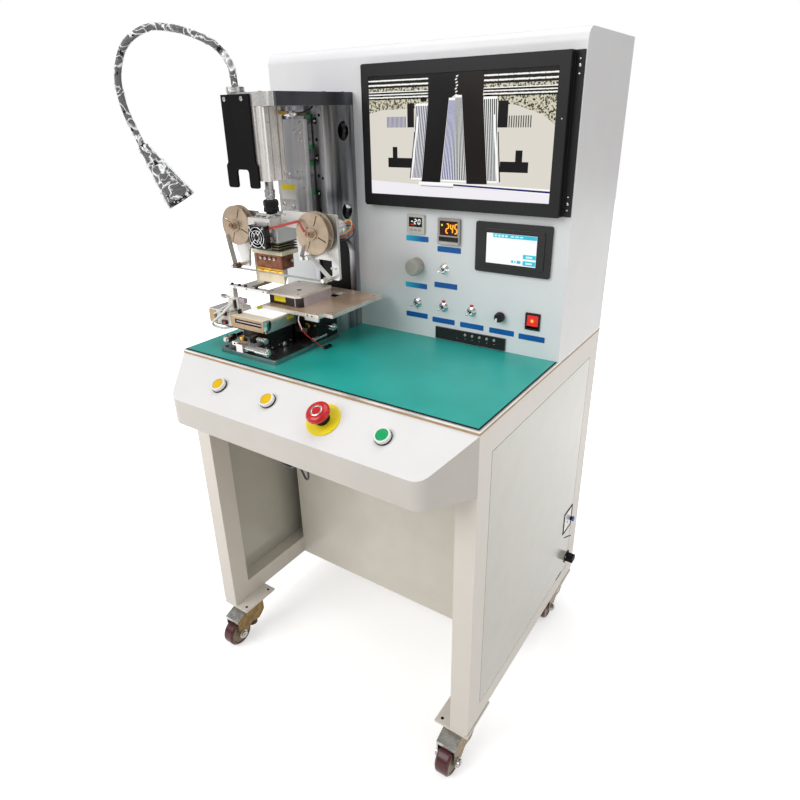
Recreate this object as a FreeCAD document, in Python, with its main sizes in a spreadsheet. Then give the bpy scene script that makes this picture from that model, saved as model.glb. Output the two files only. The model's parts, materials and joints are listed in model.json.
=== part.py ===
"""Film bonding machine: a bench cabinet on levelling castors with a press head.

Places in the sub-part functions are measured from one datum: the middle of the
table's front edge, at the height of the work mat. X runs to the operator's right,
Y to the back and Z up. The document itself has its origin on the floor.
"""
import FreeCAD, Part
import math
import os
import re

import Sketcher
from FreeCAD import Placement, Rotation, Vector

TABLE_SIZES = {
    "table_width": 700,
    "table_depth": 592,
    "leg_height": 692,
    "castor_height": 110,
    "mat_thickness": 2,
    "mat_margin": 5,
    "board_thickness": 8,
    "tube_width": 40,
    "tube_depth": 48,
    "top_rail": 50,
    "low_rail": 48,
    "rail_corner": 12,
    "cross_tube": 30,
    "panel_sheet": 2,
    "panel_gap": 1.5,
    "knee_depth": 259,
    "centre_offset": 14.89,
}
CONSOLE_SIZES = {
    "console_reach": 88,
    "console_drop": 58,
    "console_face": 54,
    "console_half": 295,
    "console_corner": 34,
    "console_sheet": 2,
}
CABINET_SIZES = {
    "cabinet_setback": 331,
    "cabinet_height": 568,
    "cabinet_sheet": 2,
    "cabinet_round": 22,
}
MONITOR_SIZES = {
    "screen_width": 382,
    "screen_height": 215,
    "screen_left": -69,
    "screen_low": 296,
    "bezel_side": 15,
    "bezel_top": 23,
    "bezel_right": 19,
    "monitor_proud": 20,
    "screen_recess": 1.5,
    "flange_width": 16,
    "flange_sheet": 2,
}
PANEL_SIZES = {
    "touch_left": 166.5,
    "touch_low": 159.5,
    "touch_width": 153,
    "touch_height": 95.5,
    "touch_proud": 8,
    "touch_step": 12,
    "touch_corner": 4,
    "glass_left": 188,
    "glass_low": 177,
    "glass_width": 105.5,
    "glass_height": 60,
    "gauge_left": 7,
    "gauge_low": 219,
    "gauge_width": 42,
    "gauge_height": 38,
    "gauge_proud": 5,
    "meter_left": 81,
    "meter_low": 203,
    "meter_width": 50,
    "meter_height": 52,
    "meter_proud": 6,
    "instrument_depth": 60,
    "instrument_gap": 0.5,
    "row_low": 72,
    "row_high": 152,
    "column_one": 29.5,
    "column_two": 94.5,
    "column_three": 160,
    "column_four": 225,
    "bushing_radius": 6,
    "nut_radius": 8.5,
    "nut_height": 3.5,
    "bushing_height": 8,
    "lever_radius": 3,
    "lever_length": 19,
    "lever_ball": 4.6,
    "knob_radius": 10,
    "knob_height": 15,
    "shaft_radius": 3,
    "regulator_radius": 17.5,
    "regulator_height": 22,
    "regulator_ring": 15,
    "rocker_left": 277.5,
    "rocker_low": 55.5,
    "rocker_width": 30,
    "rocker_height": 34,
    "rocker_rim": 3.5,
    "rocker_proud": 3,
    "strip_left": 77,
    "strip_low": 2,
    "strip_width": 161,
    "strip_height": 25.5,
    "strip_proud": 4,
    "key_first": 149,
    "key_pitch": 16.5,
    "key_level": 20.7,
    "key_radius": 3,
    "key_proud": 2.5,
}
SIDE_SIZES = {
    "port_front": 484,
    "port_back": 540,
    "port_low": -510,
    "port_high": -450,
    "port_bar": 4,
    "port_sheet": 1.2,
    "air_y": 534,
    "air_level": -489,
    "air_radius": 5,
    "air_length": 9,
    "inlet_y": 535,
    "inlet_level": -609,
    "inlet_wide": 32,
    "inlet_tall": 22,
    "inlet_flange": 2,
    "plug_wide": 22,
    "plug_tall": 16,
    "plug_length": 18,
    "plug_round": 3,
}
BUTTON_SIZES = {
    "button_down": 49.5,
    "button_left": -196,
    "button_middle": -64.5,
    "button_right": 197,
    "bezel_radius": 14.75,
    "bezel_height": 10,
    "bezel_round": 1.2,
    "gasket_radius": 13.8,
    "gasket_height": 2,
    "cap_radius": 11.3,
    "cap_height": 8.6,
    "cap_round": 0.8,
    "cap_skirt": 4.9,
    "stem_length": 12,
    "barrel_radius": 11,
    "barrel_length": 22,
    "stop_place": 71,
    "stop_down": 52,
    "stop_disc": 32.5,
    "stop_disc_height": 3,
    "stop_collar": 14,
    "stop_collar_height": 14,
    "mushroom_radius": 22.5,
    "mushroom_height": 13,
    "stop_stem": 6,
    "stop_travel": 5.6,
    "running_gap": 0.3,
    "hole_play": 0.2,
}
CASTOR_SIZES = {
    "castor_inset": 38,
    "castor_setback": 43,
    "castor_margin": 32,
    "castor_trail": 50,
    "wheel_radius": 34,
    "wheel_width": 31,
    "tread_edge": 4,
    "hub_round": 10,
    "fork_width": 44,
    "fork_sheet": 3,
    "axle_radius": 5,
    "axle_gap": 0.05,
    "plate_x": 76,
    "plate_y": 100,
    "plate_sheet": 5,
    "plate_hole": 3.5,
    "hole_inset": 12,
    "race_height": 7,
    "race_radius": 24,
    "foot_radius": 14,
    "foot_lift": 20,
    "cheek_back": 26,
    "cheek_front": 12,
    "cheek_lobe": 56,
    "hood_drop": 18,
    "bridge_front": 14,
}
HEAD_SIZES = {
    "column_left": -243,
    "column_right": -123,
    "column_plate": 15,
    "column_front": 232,
    "column_height": 463,
    "throat_low": 68,
    "throat_high": 205,
    "throat_back": 315,
    "throat_round": 42,
    "spy_hole": 17,
    "spy_y": 295,
    "spy_high": 416,
    "spy_low": 259,
    "head_plate": 24,
    "head_front": 100,
    "head_round": 14,
    "guide_face": 238,
    "guide_sheet": 12,
    "guide_low": 215,
    "rail_x": -172,
    "rail_width": 15,
    "rail_depth": 12,
    "truck_width": 34,
    "truck_height": 59,
    "truck_depth": 17,
    "truck_high": 387,
    "truck_low": 301,
    "slide_left": -217,
    "slide_right": -148,
    "slide_low": 250,
    "slide_high": 440,
    "slide_sheet": 12,
    "press_x": -177,
    "press_y": 127,
    "cylinder_side": 54,
    "cylinder_low": 335,
    "cylinder_round": 7,
    "groove_width": 4,
    "groove_depth": 4,
    "groove_place": 10,
    "bore_radius": 20,
    "bore_low": 349,
    "bore_high": 452,
    "piston_gap": 0.06,
    "rod_radius": 8,
    "piston_length": 16,
    "sign_left": -248,
    "sign_width": 72,
    "sign_sheet": 5,
    "sign_top": 484,
    "sign_step": 368,
    "sign_fork": 355,
    "sign_low": 322,
    "sign_flare": 5,
}
PRESS_SIZES = {
    "plate_low": 250,
    "plate_thick": 18,
    "plate_front": 95,
    "block_thick": 14,
    "sink_low": 205,
    "sink_height": 18,
    "sink_left": -200,
    "sink_width": 60,
    "sink_front": 100,
    "sink_depth": 52,
    "fin_count": 4,
    "spacer_height": 26,
    "shield_low": 197,
    "shield_height": 8,
    "shield_left": -220,
    "shield_width": 82,
    "heater_left": -216,
    "heater_width": 70,
    "heater_front": 110,
    "heater_depth": 44,
    "heater_low": 168,
    "well_radius": 3.2,
    "well_depth": 30,
    "well_pitch": 12.5,
    "tip_low": 138,
    "tip_thick": 10,
    "clamp_low": 157,
    "clamp_thick": 3,
    "fan_left": -200,
    "fan_side": 44,
    "fan_low": 212,
    "fan_front": 82,
    "fan_depth": 13,
    "fan_bore": 19.5,
    "reel_left": -254,
    "reel_right": -53,
    "reel_level": 248,
    "reel_radius": 38.5,
    "reel_front": 100,
    "reel_depth": 16,
    "reel_wall": 2.5,
    "reel_core": 14,
    "slot_width": 2.5,
    "hub_radius": 7,
    "reel_pin": 3,
    "hub_height": 11,
    "bracket_y": 124,
    "bracket_sheet": 6,
    "bracket_top": 281,
    "bracket_low": 196,
    "bracket_end": -13,
    "bracket_left_end": -291,
    "arm_low": 160,
    "carrier_right": -153,
    "arm_width": 17,
    "roller_radius": 4,
    "roller_front": 84,
    "roller_level": 167,
    "roller_left": -263,
    "roller_right": -22,
    "motor_radius": 15,
    "motor_length": 52,
    "tape_front": 92,
    "reel_clearance": 5,
}
STAGE_SIZES = {
    "base_left": -265,
    "base_right": -108,
    "base_front": 29,
    "base_sheet": 10,
    "base_corner": 6,
    "stage_x": -193,
    "stage_y": 99,
    "stage_side": 70,
    "stage_level": 11,
    "stage_gap": 0.3,
    "lamp_box_left": -261,
    "lamp_box_width": 101,
    "lamp_box_front": 62,
    "lamp_box_depth": 90,
    "lamp_box_low": 46,
    "lamp_box_high": 70,
    "window_width": 76,
    "window_height": 9,
    "window_depth": 6,
    "wing_right": -45,
    "wing_front": 134,
    "wing_step": -67,
    "wing_back": 304,
    "bench_left": -222,
    "bench_front": 117,
    "bench_low": 77,
    "bench_sheet": 8,
    "slot_left": -160,
    "slot_right": -125,
    "slot_front": 240,
    "slot_back": 279,
    "hood_left": -218,
    "hood_right": -128,
    "hood_front": 137,
    "hood_lip": 126,
    "hood_sheet": 5,
    "hood_back": 232,
    "hood_height": 27,
    "hood_bevel": 8,
    "rear_stage_x": -142,
    "rear_stage_y": 192,
    "rear_stage_side": 64,
    "table_travel": 24,
    "fixture_left": -325,
    "fixture_right": -261,
    "fixture_front": 62,
    "fixture_back": 122,
    "fixture_high": 75,
    "fixture_plate": 4,
    "gantry_left": -289,
    "gantry_right": -178,
    "gantry_front": 92,
    "gantry_back": 104,
    "gantry_high": 125,
    "gantry_sheet": 6,
    "post_left": -256,
    "post_right": -234,
    "post_front": 142,
    "post_back": 164,
    "post_high": 196,
    "feeler_radius": 3,
    "feeler_length": 28,
    "barrel_round": 5.5,
    "thimble_round": 7.5,
    "spindle_round": 2,
    "holder_side": 18,
}
LAMP_SIZES = {
    "lamp_x": -221,
    "lamp_y": 109,
    "lamp_foot_radius": 16,
    "lamp_foot_height": 9,
    "neck_radius": 6,
    "lamp_ball": 7,
    "hood_length": 116,
    "hood_radius": 28,
    "hood_neck": 10,
    "hood_wall": 1.6,
}
GROUPS = (
    TABLE_SIZES, CONSOLE_SIZES, CABINET_SIZES, MONITOR_SIZES, PANEL_SIZES, SIDE_SIZES, BUTTON_SIZES,
    CASTOR_SIZES, HEAD_SIZES, PRESS_SIZES, STAGE_SIZES, LAMP_SIZES,
)
SIZES = {name: number for sizes in GROUPS for name, number in sizes.items()}

DERIVED = {
    "half_width": "table_width / 2",
    "half_inner": "half_width - tube_width",
    "frame_top": "0 - mat_thickness - board_thickness",
    "console_slope": "sqrt(console_reach * console_reach + console_drop * console_drop)",
    "monitor_left": "screen_left - bezel_side",
    "monitor_low": "screen_low - bezel_top",
    "monitor_width": "screen_width + bezel_side + bezel_right",
    "monitor_height": "screen_height + 2 * bezel_top",
    "castor_top": "0 - leg_height - plate_sheet",
    "floor_level": "0 - leg_height - castor_height",
    "axle_level": "floor_level + wheel_radius",
    "truck_face": "guide_face - rail_depth / 2",
    "slide_back": "truck_face - truck_depth",
    "slide_front": "slide_back - slide_sheet",
    "plate_high": "plate_low + plate_thick",
    "bench_high": "bench_low + bench_sheet",
}
DATUM = ("centre_offset", "(console_reach - table_depth) / 2", "castor_height + leg_height")
TURNS = {
    "+Z": Rotation(),
    "+X": Rotation(Vector(0, 1, 0), 90),
    "-X": Rotation(Vector(0, 1, 0), -90),
    "+Y": Rotation(Vector(1, 0, 0), -90),
    "-Y": Rotation(Vector(1, 0, 0), 90),
}
SKETCH_AXES = {"XY": (0, 1, 2), "XZ": (0, 2, 1), "YZ": (1, 2, 0)}
WORD = re.compile(r"[a-z][a-z0-9_]*")

doc = FreeCAD.newDocument("BondingMachine")
sheet = doc.addObject("Spreadsheet::Sheet", "Sizes")
nodes = {}


def fill_sheet():
    """One row for each driving dimension: its name, its number and its alias."""
    for row, (name, number) in enumerate(SIZES.items(), start=1):
        sheet.set(f"A{row}", name)
        sheet.set(f"B{row}", str(number))
        sheet.setAlias(f"B{row}", name)
    doc.recompute()


def formula(words):
    """The expression text for words: sizes come from the sheet, derived names are written out."""
    def swap(match):
        word = match.group()
        if word in DERIVED:
            return f"({formula(DERIVED[word])})"
        return f"Sizes.{word}" if word in SIZES else word
    return WORD.sub(swap, str(words))


def number(words):
    """The present value of a formula."""
    return float(sheet.evalExpression(formula(words)))


def bind(item, **properties):
    """Tie properties of an object to formulas."""
    for name, words in properties.items():
        item.setExpression(name, formula(words))


def put(item, x="0", y="0", z="0", turn=None):
    """Tie an object's place to formulas measured from the datum."""
    rotation = turn if turn is not None else Rotation()
    item.Placement = Placement(Vector(), rotation)
    for axis, datum, words in zip("xyz", DATUM, (x, y, z)):
        item.setExpression(f"Placement.Base.{axis}", formula(f"{datum} + ({words})"))


def block(name, x, y, z):
    """A box between two formulas on each axis."""
    item = doc.addObject("Part::Box", name)
    bind(item, Length=f"({x[1]}) - ({x[0]})", Width=f"({y[1]}) - ({y[0]})", Height=f"({z[1]}) - ({z[0]})")
    put(item, x[0], y[0], z[0])
    item.recompute()
    return item


def rod(name, x, y, z, radius, length, along="+Z"):
    """A cylinder from a point along an axis."""
    item = doc.addObject("Part::Cylinder", name)
    bind(item, Radius=radius, Height=length)
    put(item, x, y, z, TURNS[along])
    item.recompute()
    return item


def fuse(name, pieces):
    """One solid of several that touch or overlap."""
    item = doc.addObject("Part::MultiFuse", name)
    item.Shapes = pieces
    item.recompute()
    return item


def cut(name, base, tools):
    """A solid less one or more others."""
    item = doc.addObject("Part::Cut", name)
    item.Base = base
    item.Tool = tools[0] if len(tools) == 1 else fuse(name + "Tools", tools)
    item.recompute()
    return item


def common(name, base, tool):
    """What two solids share."""
    item = doc.addObject("Part::Common", name)
    item.Base = base
    item.Tool = tool
    item.recompute()
    return item


def group(name, pieces):
    """Separate solids kept as one item."""
    item = doc.addObject("Part::Compound", name)
    item.Links = pieces
    item.recompute()
    return item


def keep(label, item):
    """Register a finished sub-part under the name that its file gets."""
    item.Label = label
    nodes[label] = item
    return item


def origin_plane(body, role):
    """A plane of the body's own origin."""
    return next(plane for plane in body.Origin.OriginFeatures if getattr(plane, "Role", "") == role)


def draw_loop(sketch, points):
    """A closed polygon whose corners are tied to formulas."""
    places = [Vector(number(point[0]), number(point[1]), 0) for point in points]
    first = sketch.GeometryCount
    count = len(places)
    for index, place in enumerate(places):
        sketch.addGeometry(Part.LineSegment(place, places[(index + 1) % count]))
    for index in range(count):
        after = (index + 1) % count
        sketch.addConstraint(Sketcher.Constraint("Coincident", first + index, 2, first + after, 1))
    for index, point in enumerate(points):
        for kind, words, start in zip(("DistanceX", "DistanceY"), point, places[index]):
            mark = sketch.addConstraint(Sketcher.Constraint(kind, -1, 1, first + index, 1, start))
            sketch.setExpression(f"Constraints[{mark}]", formula(words))


def draw_circle(sketch, circle):
    """A circle whose centre and radius are tied to formulas."""
    u, v, radius = (number(words) for words in circle)
    index = sketch.addGeometry(Part.Circle(Vector(u, v, 0), Vector(0, 0, 1), radius))
    for kind, words, start in (("DistanceX", circle[0], u), ("DistanceY", circle[1], v)):
        mark = sketch.addConstraint(Sketcher.Constraint(kind, -1, 1, index, 3, start))
        sketch.setExpression(f"Constraints[{mark}]", formula(words))
    mark = sketch.addConstraint(Sketcher.Constraint("Radius", index, radius))
    sketch.setExpression(f"Constraints[{mark}]", formula(circle[2]))


def new_sketch(body, plane, loops, circles=()):
    """A sketch on one of the body's origin planes."""
    sketch = body.newObject("Sketcher::SketchObject", body.Name + "Sketch")
    sketch.AttachmentSupport = (origin_plane(body, plane + "_Plane"), "")
    sketch.MapMode = "FlatFace"
    for loop in loops:
        draw_loop(sketch, loop)
    for circle in circles:
        draw_circle(sketch, circle)
    sketch.recompute()
    return sketch


def edges_at(shape, plane, corner):
    """Names of the straight edges that run through a sketch corner, square to the sketch."""
    first, second, along = SKETCH_AXES[plane]
    names = []
    for index, edge in enumerate(shape.Edges, start=1):
        if len(edge.Vertexes) != 2:
            continue
        ends = [vertex.Point for vertex in edge.Vertexes]
        in_place = all(math.hypot(end[first] - corner[0], end[second] - corner[1]) < 1e-4 for end in ends)
        if in_place and abs(ends[0][along] - ends[1][along]) > 1e-4:
            names.append(f"Edge{index}")
    return names


def round_corners(body, feature, plane, corners):
    """Fillets on the pad's corners; each corner is (u, v, radius)."""
    radii = {}
    for u, v, radius in corners:
        radii.setdefault(radius, []).append((number(u), number(v)))
    for radius, places in radii.items():
        names = [name for place in places for name in edges_at(feature.Shape, plane, place)]
        fillet = body.newObject("PartDesign::Fillet", body.Name + "Fillet")
        fillet.Base = (feature, names)
        fillet.Radius = number(radius)
        bind(fillet, Radius=radius)
        fillet.recompute()
        feature = fillet
    return feature


def plate(name, plane, outline, length, start, inner=(), circles=()):
    """A padded outline. Corners are (u, v) or (u, v, radius); XZ pads run towards the front."""
    body = doc.addObject("PartDesign::Body", name)
    loops = [[point[:2] for point in loop] for loop in (outline, *inner)]
    sketch = new_sketch(body, plane, loops, circles)
    pad = body.newObject("PartDesign::Pad", name + "Pad")
    pad.Profile = sketch
    pad.Length = number(length)
    bind(pad, Length=length)
    pad.recompute()
    corners = [point for loop in (outline, *inner) for point in loop if len(point) == 3]
    if corners:
        body.Tip = round_corners(body, pad, plane, corners)
    place = {"XY": ("0", "0", start), "XZ": ("0", start, "0"), "YZ": (start, "0", "0")}[plane]
    put(body, *place)
    body.recompute()
    return body


def turned(name, profile, x, y, z, along="+Z"):
    """A profile of (radius, height) points turned about its own axis."""
    body = doc.addObject("PartDesign::Body", name)
    sketch = new_sketch(body, "XZ", [profile])
    turn = body.newObject("PartDesign::Revolution", name + "Turn")
    turn.Profile = sketch
    turn.ReferenceAxis = (sketch, ["V_Axis"])
    turn.Angle = 360
    turn.recompute()
    put(body, x, y, z, along if isinstance(along, Rotation) else TURNS[along])
    body.recompute()
    return body


def rectangle(u, v, radius=None):
    """The four corners of an upright rectangle, with a corner radius if one is given."""
    corners = [(u[0], v[0]), (u[1], v[0]), (u[1], v[1]), (u[0], v[1])]
    return [corner + (radius,) for corner in corners] if radius else corners


def side_words(side, words):
    """A formula mirrored to the left for side -1."""
    return f"{side} * ({words})"


def make_frame():
    """The welded frame: two tube rings, cross tubes and the plates under the legs."""
    pieces = []
    for side, name in ((-1, "Left"), (1, "Right")):
        inner, outer = side_words(side, "half_inner"), side_words(side, "half_width")
        tube = plate(f"FrameTube{name}", "XZ", [
            (inner, "-leg_height"), (outer, "-leg_height", "rail_corner"), (outer, "frame_top"), (inner,
            "frame_top")],
            "table_depth", "table_depth")
        across = ("-half_width", "-half_inner") if side < 0 else ("half_inner", "half_width")
        opening = block(f"FrameOpening{name}", across, ("tube_depth", "table_depth - tube_depth"),
                        ("low_rail - leg_height", "frame_top - top_rail"))
        ring = cut(f"FrameRing{name}", tube, [opening])
        pieces.append(ring)
    spans = (
        ("CrossFrontTop", ("0", "cross_tube"), ("frame_top - top_rail", "frame_top")),
        ("CrossBackTop", ("table_depth - cross_tube", "table_depth - panel_sheet"),
        ("frame_top - top_rail", "frame_top")),
        ("CrossKneeLow", ("knee_depth + panel_sheet", "knee_depth + panel_sheet + cross_tube"),
         ("panel_sheet - leg_height", "low_rail - leg_height")),
        ("CrossBackLow", ("table_depth - cross_tube", "table_depth - panel_sheet"),
         ("panel_sheet - leg_height", "low_rail - leg_height")),
    )
    for name, depth, height in spans:
        pieces.append(block(name, ("-half_inner", "half_inner"), depth, height))
    frame = fuse("FrameWeldment", pieces)
    plates = []
    for side in (-1, 1):
        for end in ("Front", "Back"):
            plates.append(make_castor_plate(side, end))
    keep("base_frame", fuse("BaseFrame", [frame, *plates]))


def make_castor_plate(side, end):
    """The drilled plate welded under one leg."""
    outer = "half_width"
    inner = "half_width - plate_x"
    x = (inner, outer) if side > 0 else ("-half_width", "plate_x - half_width")
    y = ("0", "plate_y") if end == "Front" else ("table_depth - plate_y", "table_depth")
    holes = [
        (f"({x[i]}) {sx} hole_inset", f"({y[j]}) {sy} hole_inset", "plate_hole")
        for i, sx in ((0, "+"), (1, "-")) for j, sy in ((0, "+"), (1, "-"))
    ]
    return plate(f"CastorPlate{side + 1}{end}", "XY", rectangle(x, y), "plate_sheet", "castor_top",
        circles=holes)


def make_panels():
    """Sheet panels that close the base and the back of the upper cabinet."""
    low = "low_rail - leg_height + panel_gap"
    high = "frame_top - top_rail - panel_gap"
    front = "tube_depth + panel_gap"
    back = "table_depth - tube_depth - panel_gap"
    pieces = []
    for side, name in ((-1, "Left"), (1, "Right")):
        outer = ("half_width - panel_sheet", "half_width") if side > 0 else ("-half_width",
            "panel_sheet - half_width")
        inner = ("half_width - 2 * panel_sheet", "half_width - panel_sheet") if side > 0 else (
            "panel_sheet - half_width", "2 * panel_sheet - half_width")
        pieces.append(fuse(f"Panel{name}", [
            block(f"PanelFace{name}", outer, (front, back), (low, high)),
            block(f"PanelTray{name}", inner, ("tube_depth", "table_depth - tube_depth"),
                  ("low_rail - leg_height", "frame_top - top_rail")),
        ]))
    pieces += [
        block("PanelKnee", ("-half_inner", "half_inner"), ("knee_depth", "knee_depth + panel_sheet"),
              ("-leg_height", "frame_top")),
        block("PanelFloor", ("-half_inner", "half_inner"), ("knee_depth + panel_sheet",
            "table_depth - panel_sheet"),
              ("-leg_height", "panel_sheet - leg_height")),
        block("PanelBack", ("-half_inner", "half_inner"), ("table_depth - panel_sheet", "table_depth"),
              ("-leg_height", "frame_top")),
        block("PanelUpperBack", ("cabinet_sheet - half_width", "half_width - cabinet_sheet"),
              ("table_depth - panel_sheet", "table_depth"),
              ("-mat_thickness", "cabinet_height - cabinet_sheet")),
    ]
    keep("cabinet_panels", group("CabinetPanels", pieces))


def console_profile(inset):
    """The console's section: down the slope, down the face and back under it."""
    return [
        ("0", f"frame_top - ({inset})"),
        (f"({inset}) - console_reach", f"frame_top - console_drop - ({inset})"),
        (f"({inset}) - console_reach", f"frame_top - console_drop - console_face + ({inset})"),
        ("0", f"frame_top - console_drop - console_face + ({inset})"),
    ]


def console_plan(inset):
    """The console's plan: its ends taper outwards to the legs."""
    return [
        (f"({inset}) - half_width", "0"),
        (f"({inset}) - console_half", f"({inset}) - console_reach", "console_corner"),
        (f"console_half - ({inset})", f"({inset}) - console_reach", "console_corner"),
        (f"half_width - ({inset})", "0"),
    ]


def console_solid(name, inset):
    """The console's outer or inner form."""
    section = plate(name + "Section", "YZ", console_profile(inset), "table_width", "-half_width")
    plan = plate(name + "Plan", "XY", console_plan(inset), "console_reach * 3",
        "frame_top - 2 * console_reach")
    return common(name, section, plan)


def on_slope(down, out="0"):
    """Y and Z formulas of a point on the console's slope, and a height above it."""
    y = f"0 - ({down}) * console_reach / console_slope - ({out}) * console_drop / console_slope"
    z = f"frame_top - ({down}) * console_drop / console_slope + ({out}) * console_reach / console_slope"
    return y, z


def slope_turn():
    """The turn that points local Z out of the console's slope."""
    return Rotation(Vector(1, 0, 0), math.degrees(math.atan2(number("console_drop"),
        number("console_reach"))))


def on_console(name, place, down, profile):
    """A turned piece that stands square on the slope."""
    y, z = on_slope(down)
    return turned(name, profile, place, y, z, slope_turn())


def make_console():
    """The sloped sheet-metal console in front of the table."""
    shell = cut("ConsoleShell", console_solid("ConsoleOuter", "0"), [console_solid("ConsoleInner",
        "console_sheet")])
    holes = []
    for name, place in (("Left", "button_left"), ("Middle", "button_middle"), ("Right", "button_right")):
        holes.append(on_console(f"ButtonHole{name}", place, "button_down", [
            ("0", "-3 * console_sheet"), ("barrel_radius + hole_play", "-3 * console_sheet"),
            ("barrel_radius + hole_play", "console_sheet"), ("0", "console_sheet")]))
    holes.append(on_console("StopHole", "stop_place", "stop_down", [
        ("0", "-3 * console_sheet"), ("barrel_radius + hole_play", "-3 * console_sheet"),
        ("barrel_radius + hole_play", "console_sheet"), ("0", "console_sheet")]))
    keep("console_apron", cut("ConsoleApron", shell, holes))


def make_table():
    """The table board and the antistatic mat on it."""
    keep("table_board", plate(
        "TableBoard", "XY", rectangle(("-half_width", "half_width"), ("0", "table_depth")),
        "board_thickness", "frame_top"))
    keep("esd_mat", plate(
        "WorkMat", "XY",
        rectangle(("mat_margin - half_width", "half_width - mat_margin"), ("mat_margin",
            "cabinet_setback - running_gap")),
        "mat_thickness", "-mat_thickness"))


def make_upper_cabinet():
    """The upper cabinet's folded shell with its instrument cut-outs."""
    def profile(inset):
        return [
            (f"cabinet_setback + ({inset})", "-mat_thickness"),
            ("table_depth", "-mat_thickness"),
            ("table_depth", f"cabinet_height - ({inset})"),
            (f"cabinet_setback + ({inset})", f"cabinet_height - ({inset})", f"cabinet_round - ({inset})"),
        ]
    outer = plate("CabinetOuter", "YZ", profile("0"), "table_width", "-half_width")
    inner = plate("CabinetInner", "YZ", profile("cabinet_sheet"), "table_width - 2 * cabinet_sheet",
                  "cabinet_sheet - half_width")
    through = ("cabinet_setback - 1", "cabinet_setback + cabinet_sheet + 1")
    cuts = [
        inner,
        block("CutMonitor", ("monitor_left + 10", "monitor_left + monitor_width - 10"), through,
              ("monitor_low + 10", "monitor_low + monitor_height - 10")),
        block("CutTouch", ("touch_left + 6", "touch_left + touch_width - 6"), through,
              ("touch_low + 6", "touch_low + touch_height - 6")),
        block("CutGauge", ("gauge_left + 4", "gauge_left + gauge_width - 4"), through,
              ("gauge_low + 4", "gauge_low + gauge_height - 4")),
        block("CutMeter", ("meter_left + 3", "meter_left + meter_width - 3"), through,
              ("meter_low + 3", "meter_low + meter_height - 3")),
        block("CutRocker", ("rocker_left + rocker_rim - 1",
            "rocker_left + rocker_width - rocker_rim + 1"), through,
              ("rocker_low + rocker_rim - 1", "rocker_low + rocker_height - rocker_rim + 1")),
        block("CutStrip", ("strip_left + 3", "strip_left + strip_width - 3"), through,
              ("strip_low + 3", "strip_low + strip_height - 3")),
    ]
    for name, x, z in panel_controls():
        cuts.append(rod(f"CutControl{name}", x, through[0], z, "bushing_radius + hole_play",
            "cabinet_sheet + 2", "+Y"))
    keep("upper_cabinet", cut("UpperCabinet", outer, cuts))


def panel_controls():
    """Name and place of each turned control on the instrument panel."""
    return (
        ("One", "column_one", "row_low"), ("Two", "column_two", "row_high"), ("Three", "column_two",
        "row_low"),
        ("Four", "column_three", "row_low"), ("Knob", "column_four", "row_low"), ("Regulator",
        "column_one", "row_high"),
    )


def make_monitor():
    """The monitor's case, with its screen set back in the bezel and its fixing flanges."""
    front = "cabinet_setback - monitor_proud"
    left, right = "monitor_left", "monitor_left + monitor_width"
    low, high = "monitor_low", "monitor_low + monitor_height"
    case = block("MonitorBody", (left, right), (front, "cabinet_setback - flange_sheet"), (low, high))
    back = block("MonitorBack", (f"{left} + 12", f"{right} - 12"), ("cabinet_setback - flange_sheet",
        "cabinet_setback + 30"),
                 (f"{low} + 12", f"{high} - 12"))
    flanges = block("MonitorFlanges", (f"{left} - flange_width", f"{right} + flange_width"),
                    ("cabinet_setback - flange_sheet", "cabinet_setback"), (low, high))
    recess = block("ScreenRecess", ("screen_left", "screen_left + screen_width"), (f"{front} - 1",
        f"{front} + screen_recess"),
                   ("screen_low", "screen_low + screen_height"))
    keep("monitor_case", cut("MonitorCase", fuse("MonitorShell", [case, back, flanges]), [recess]))


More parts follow.
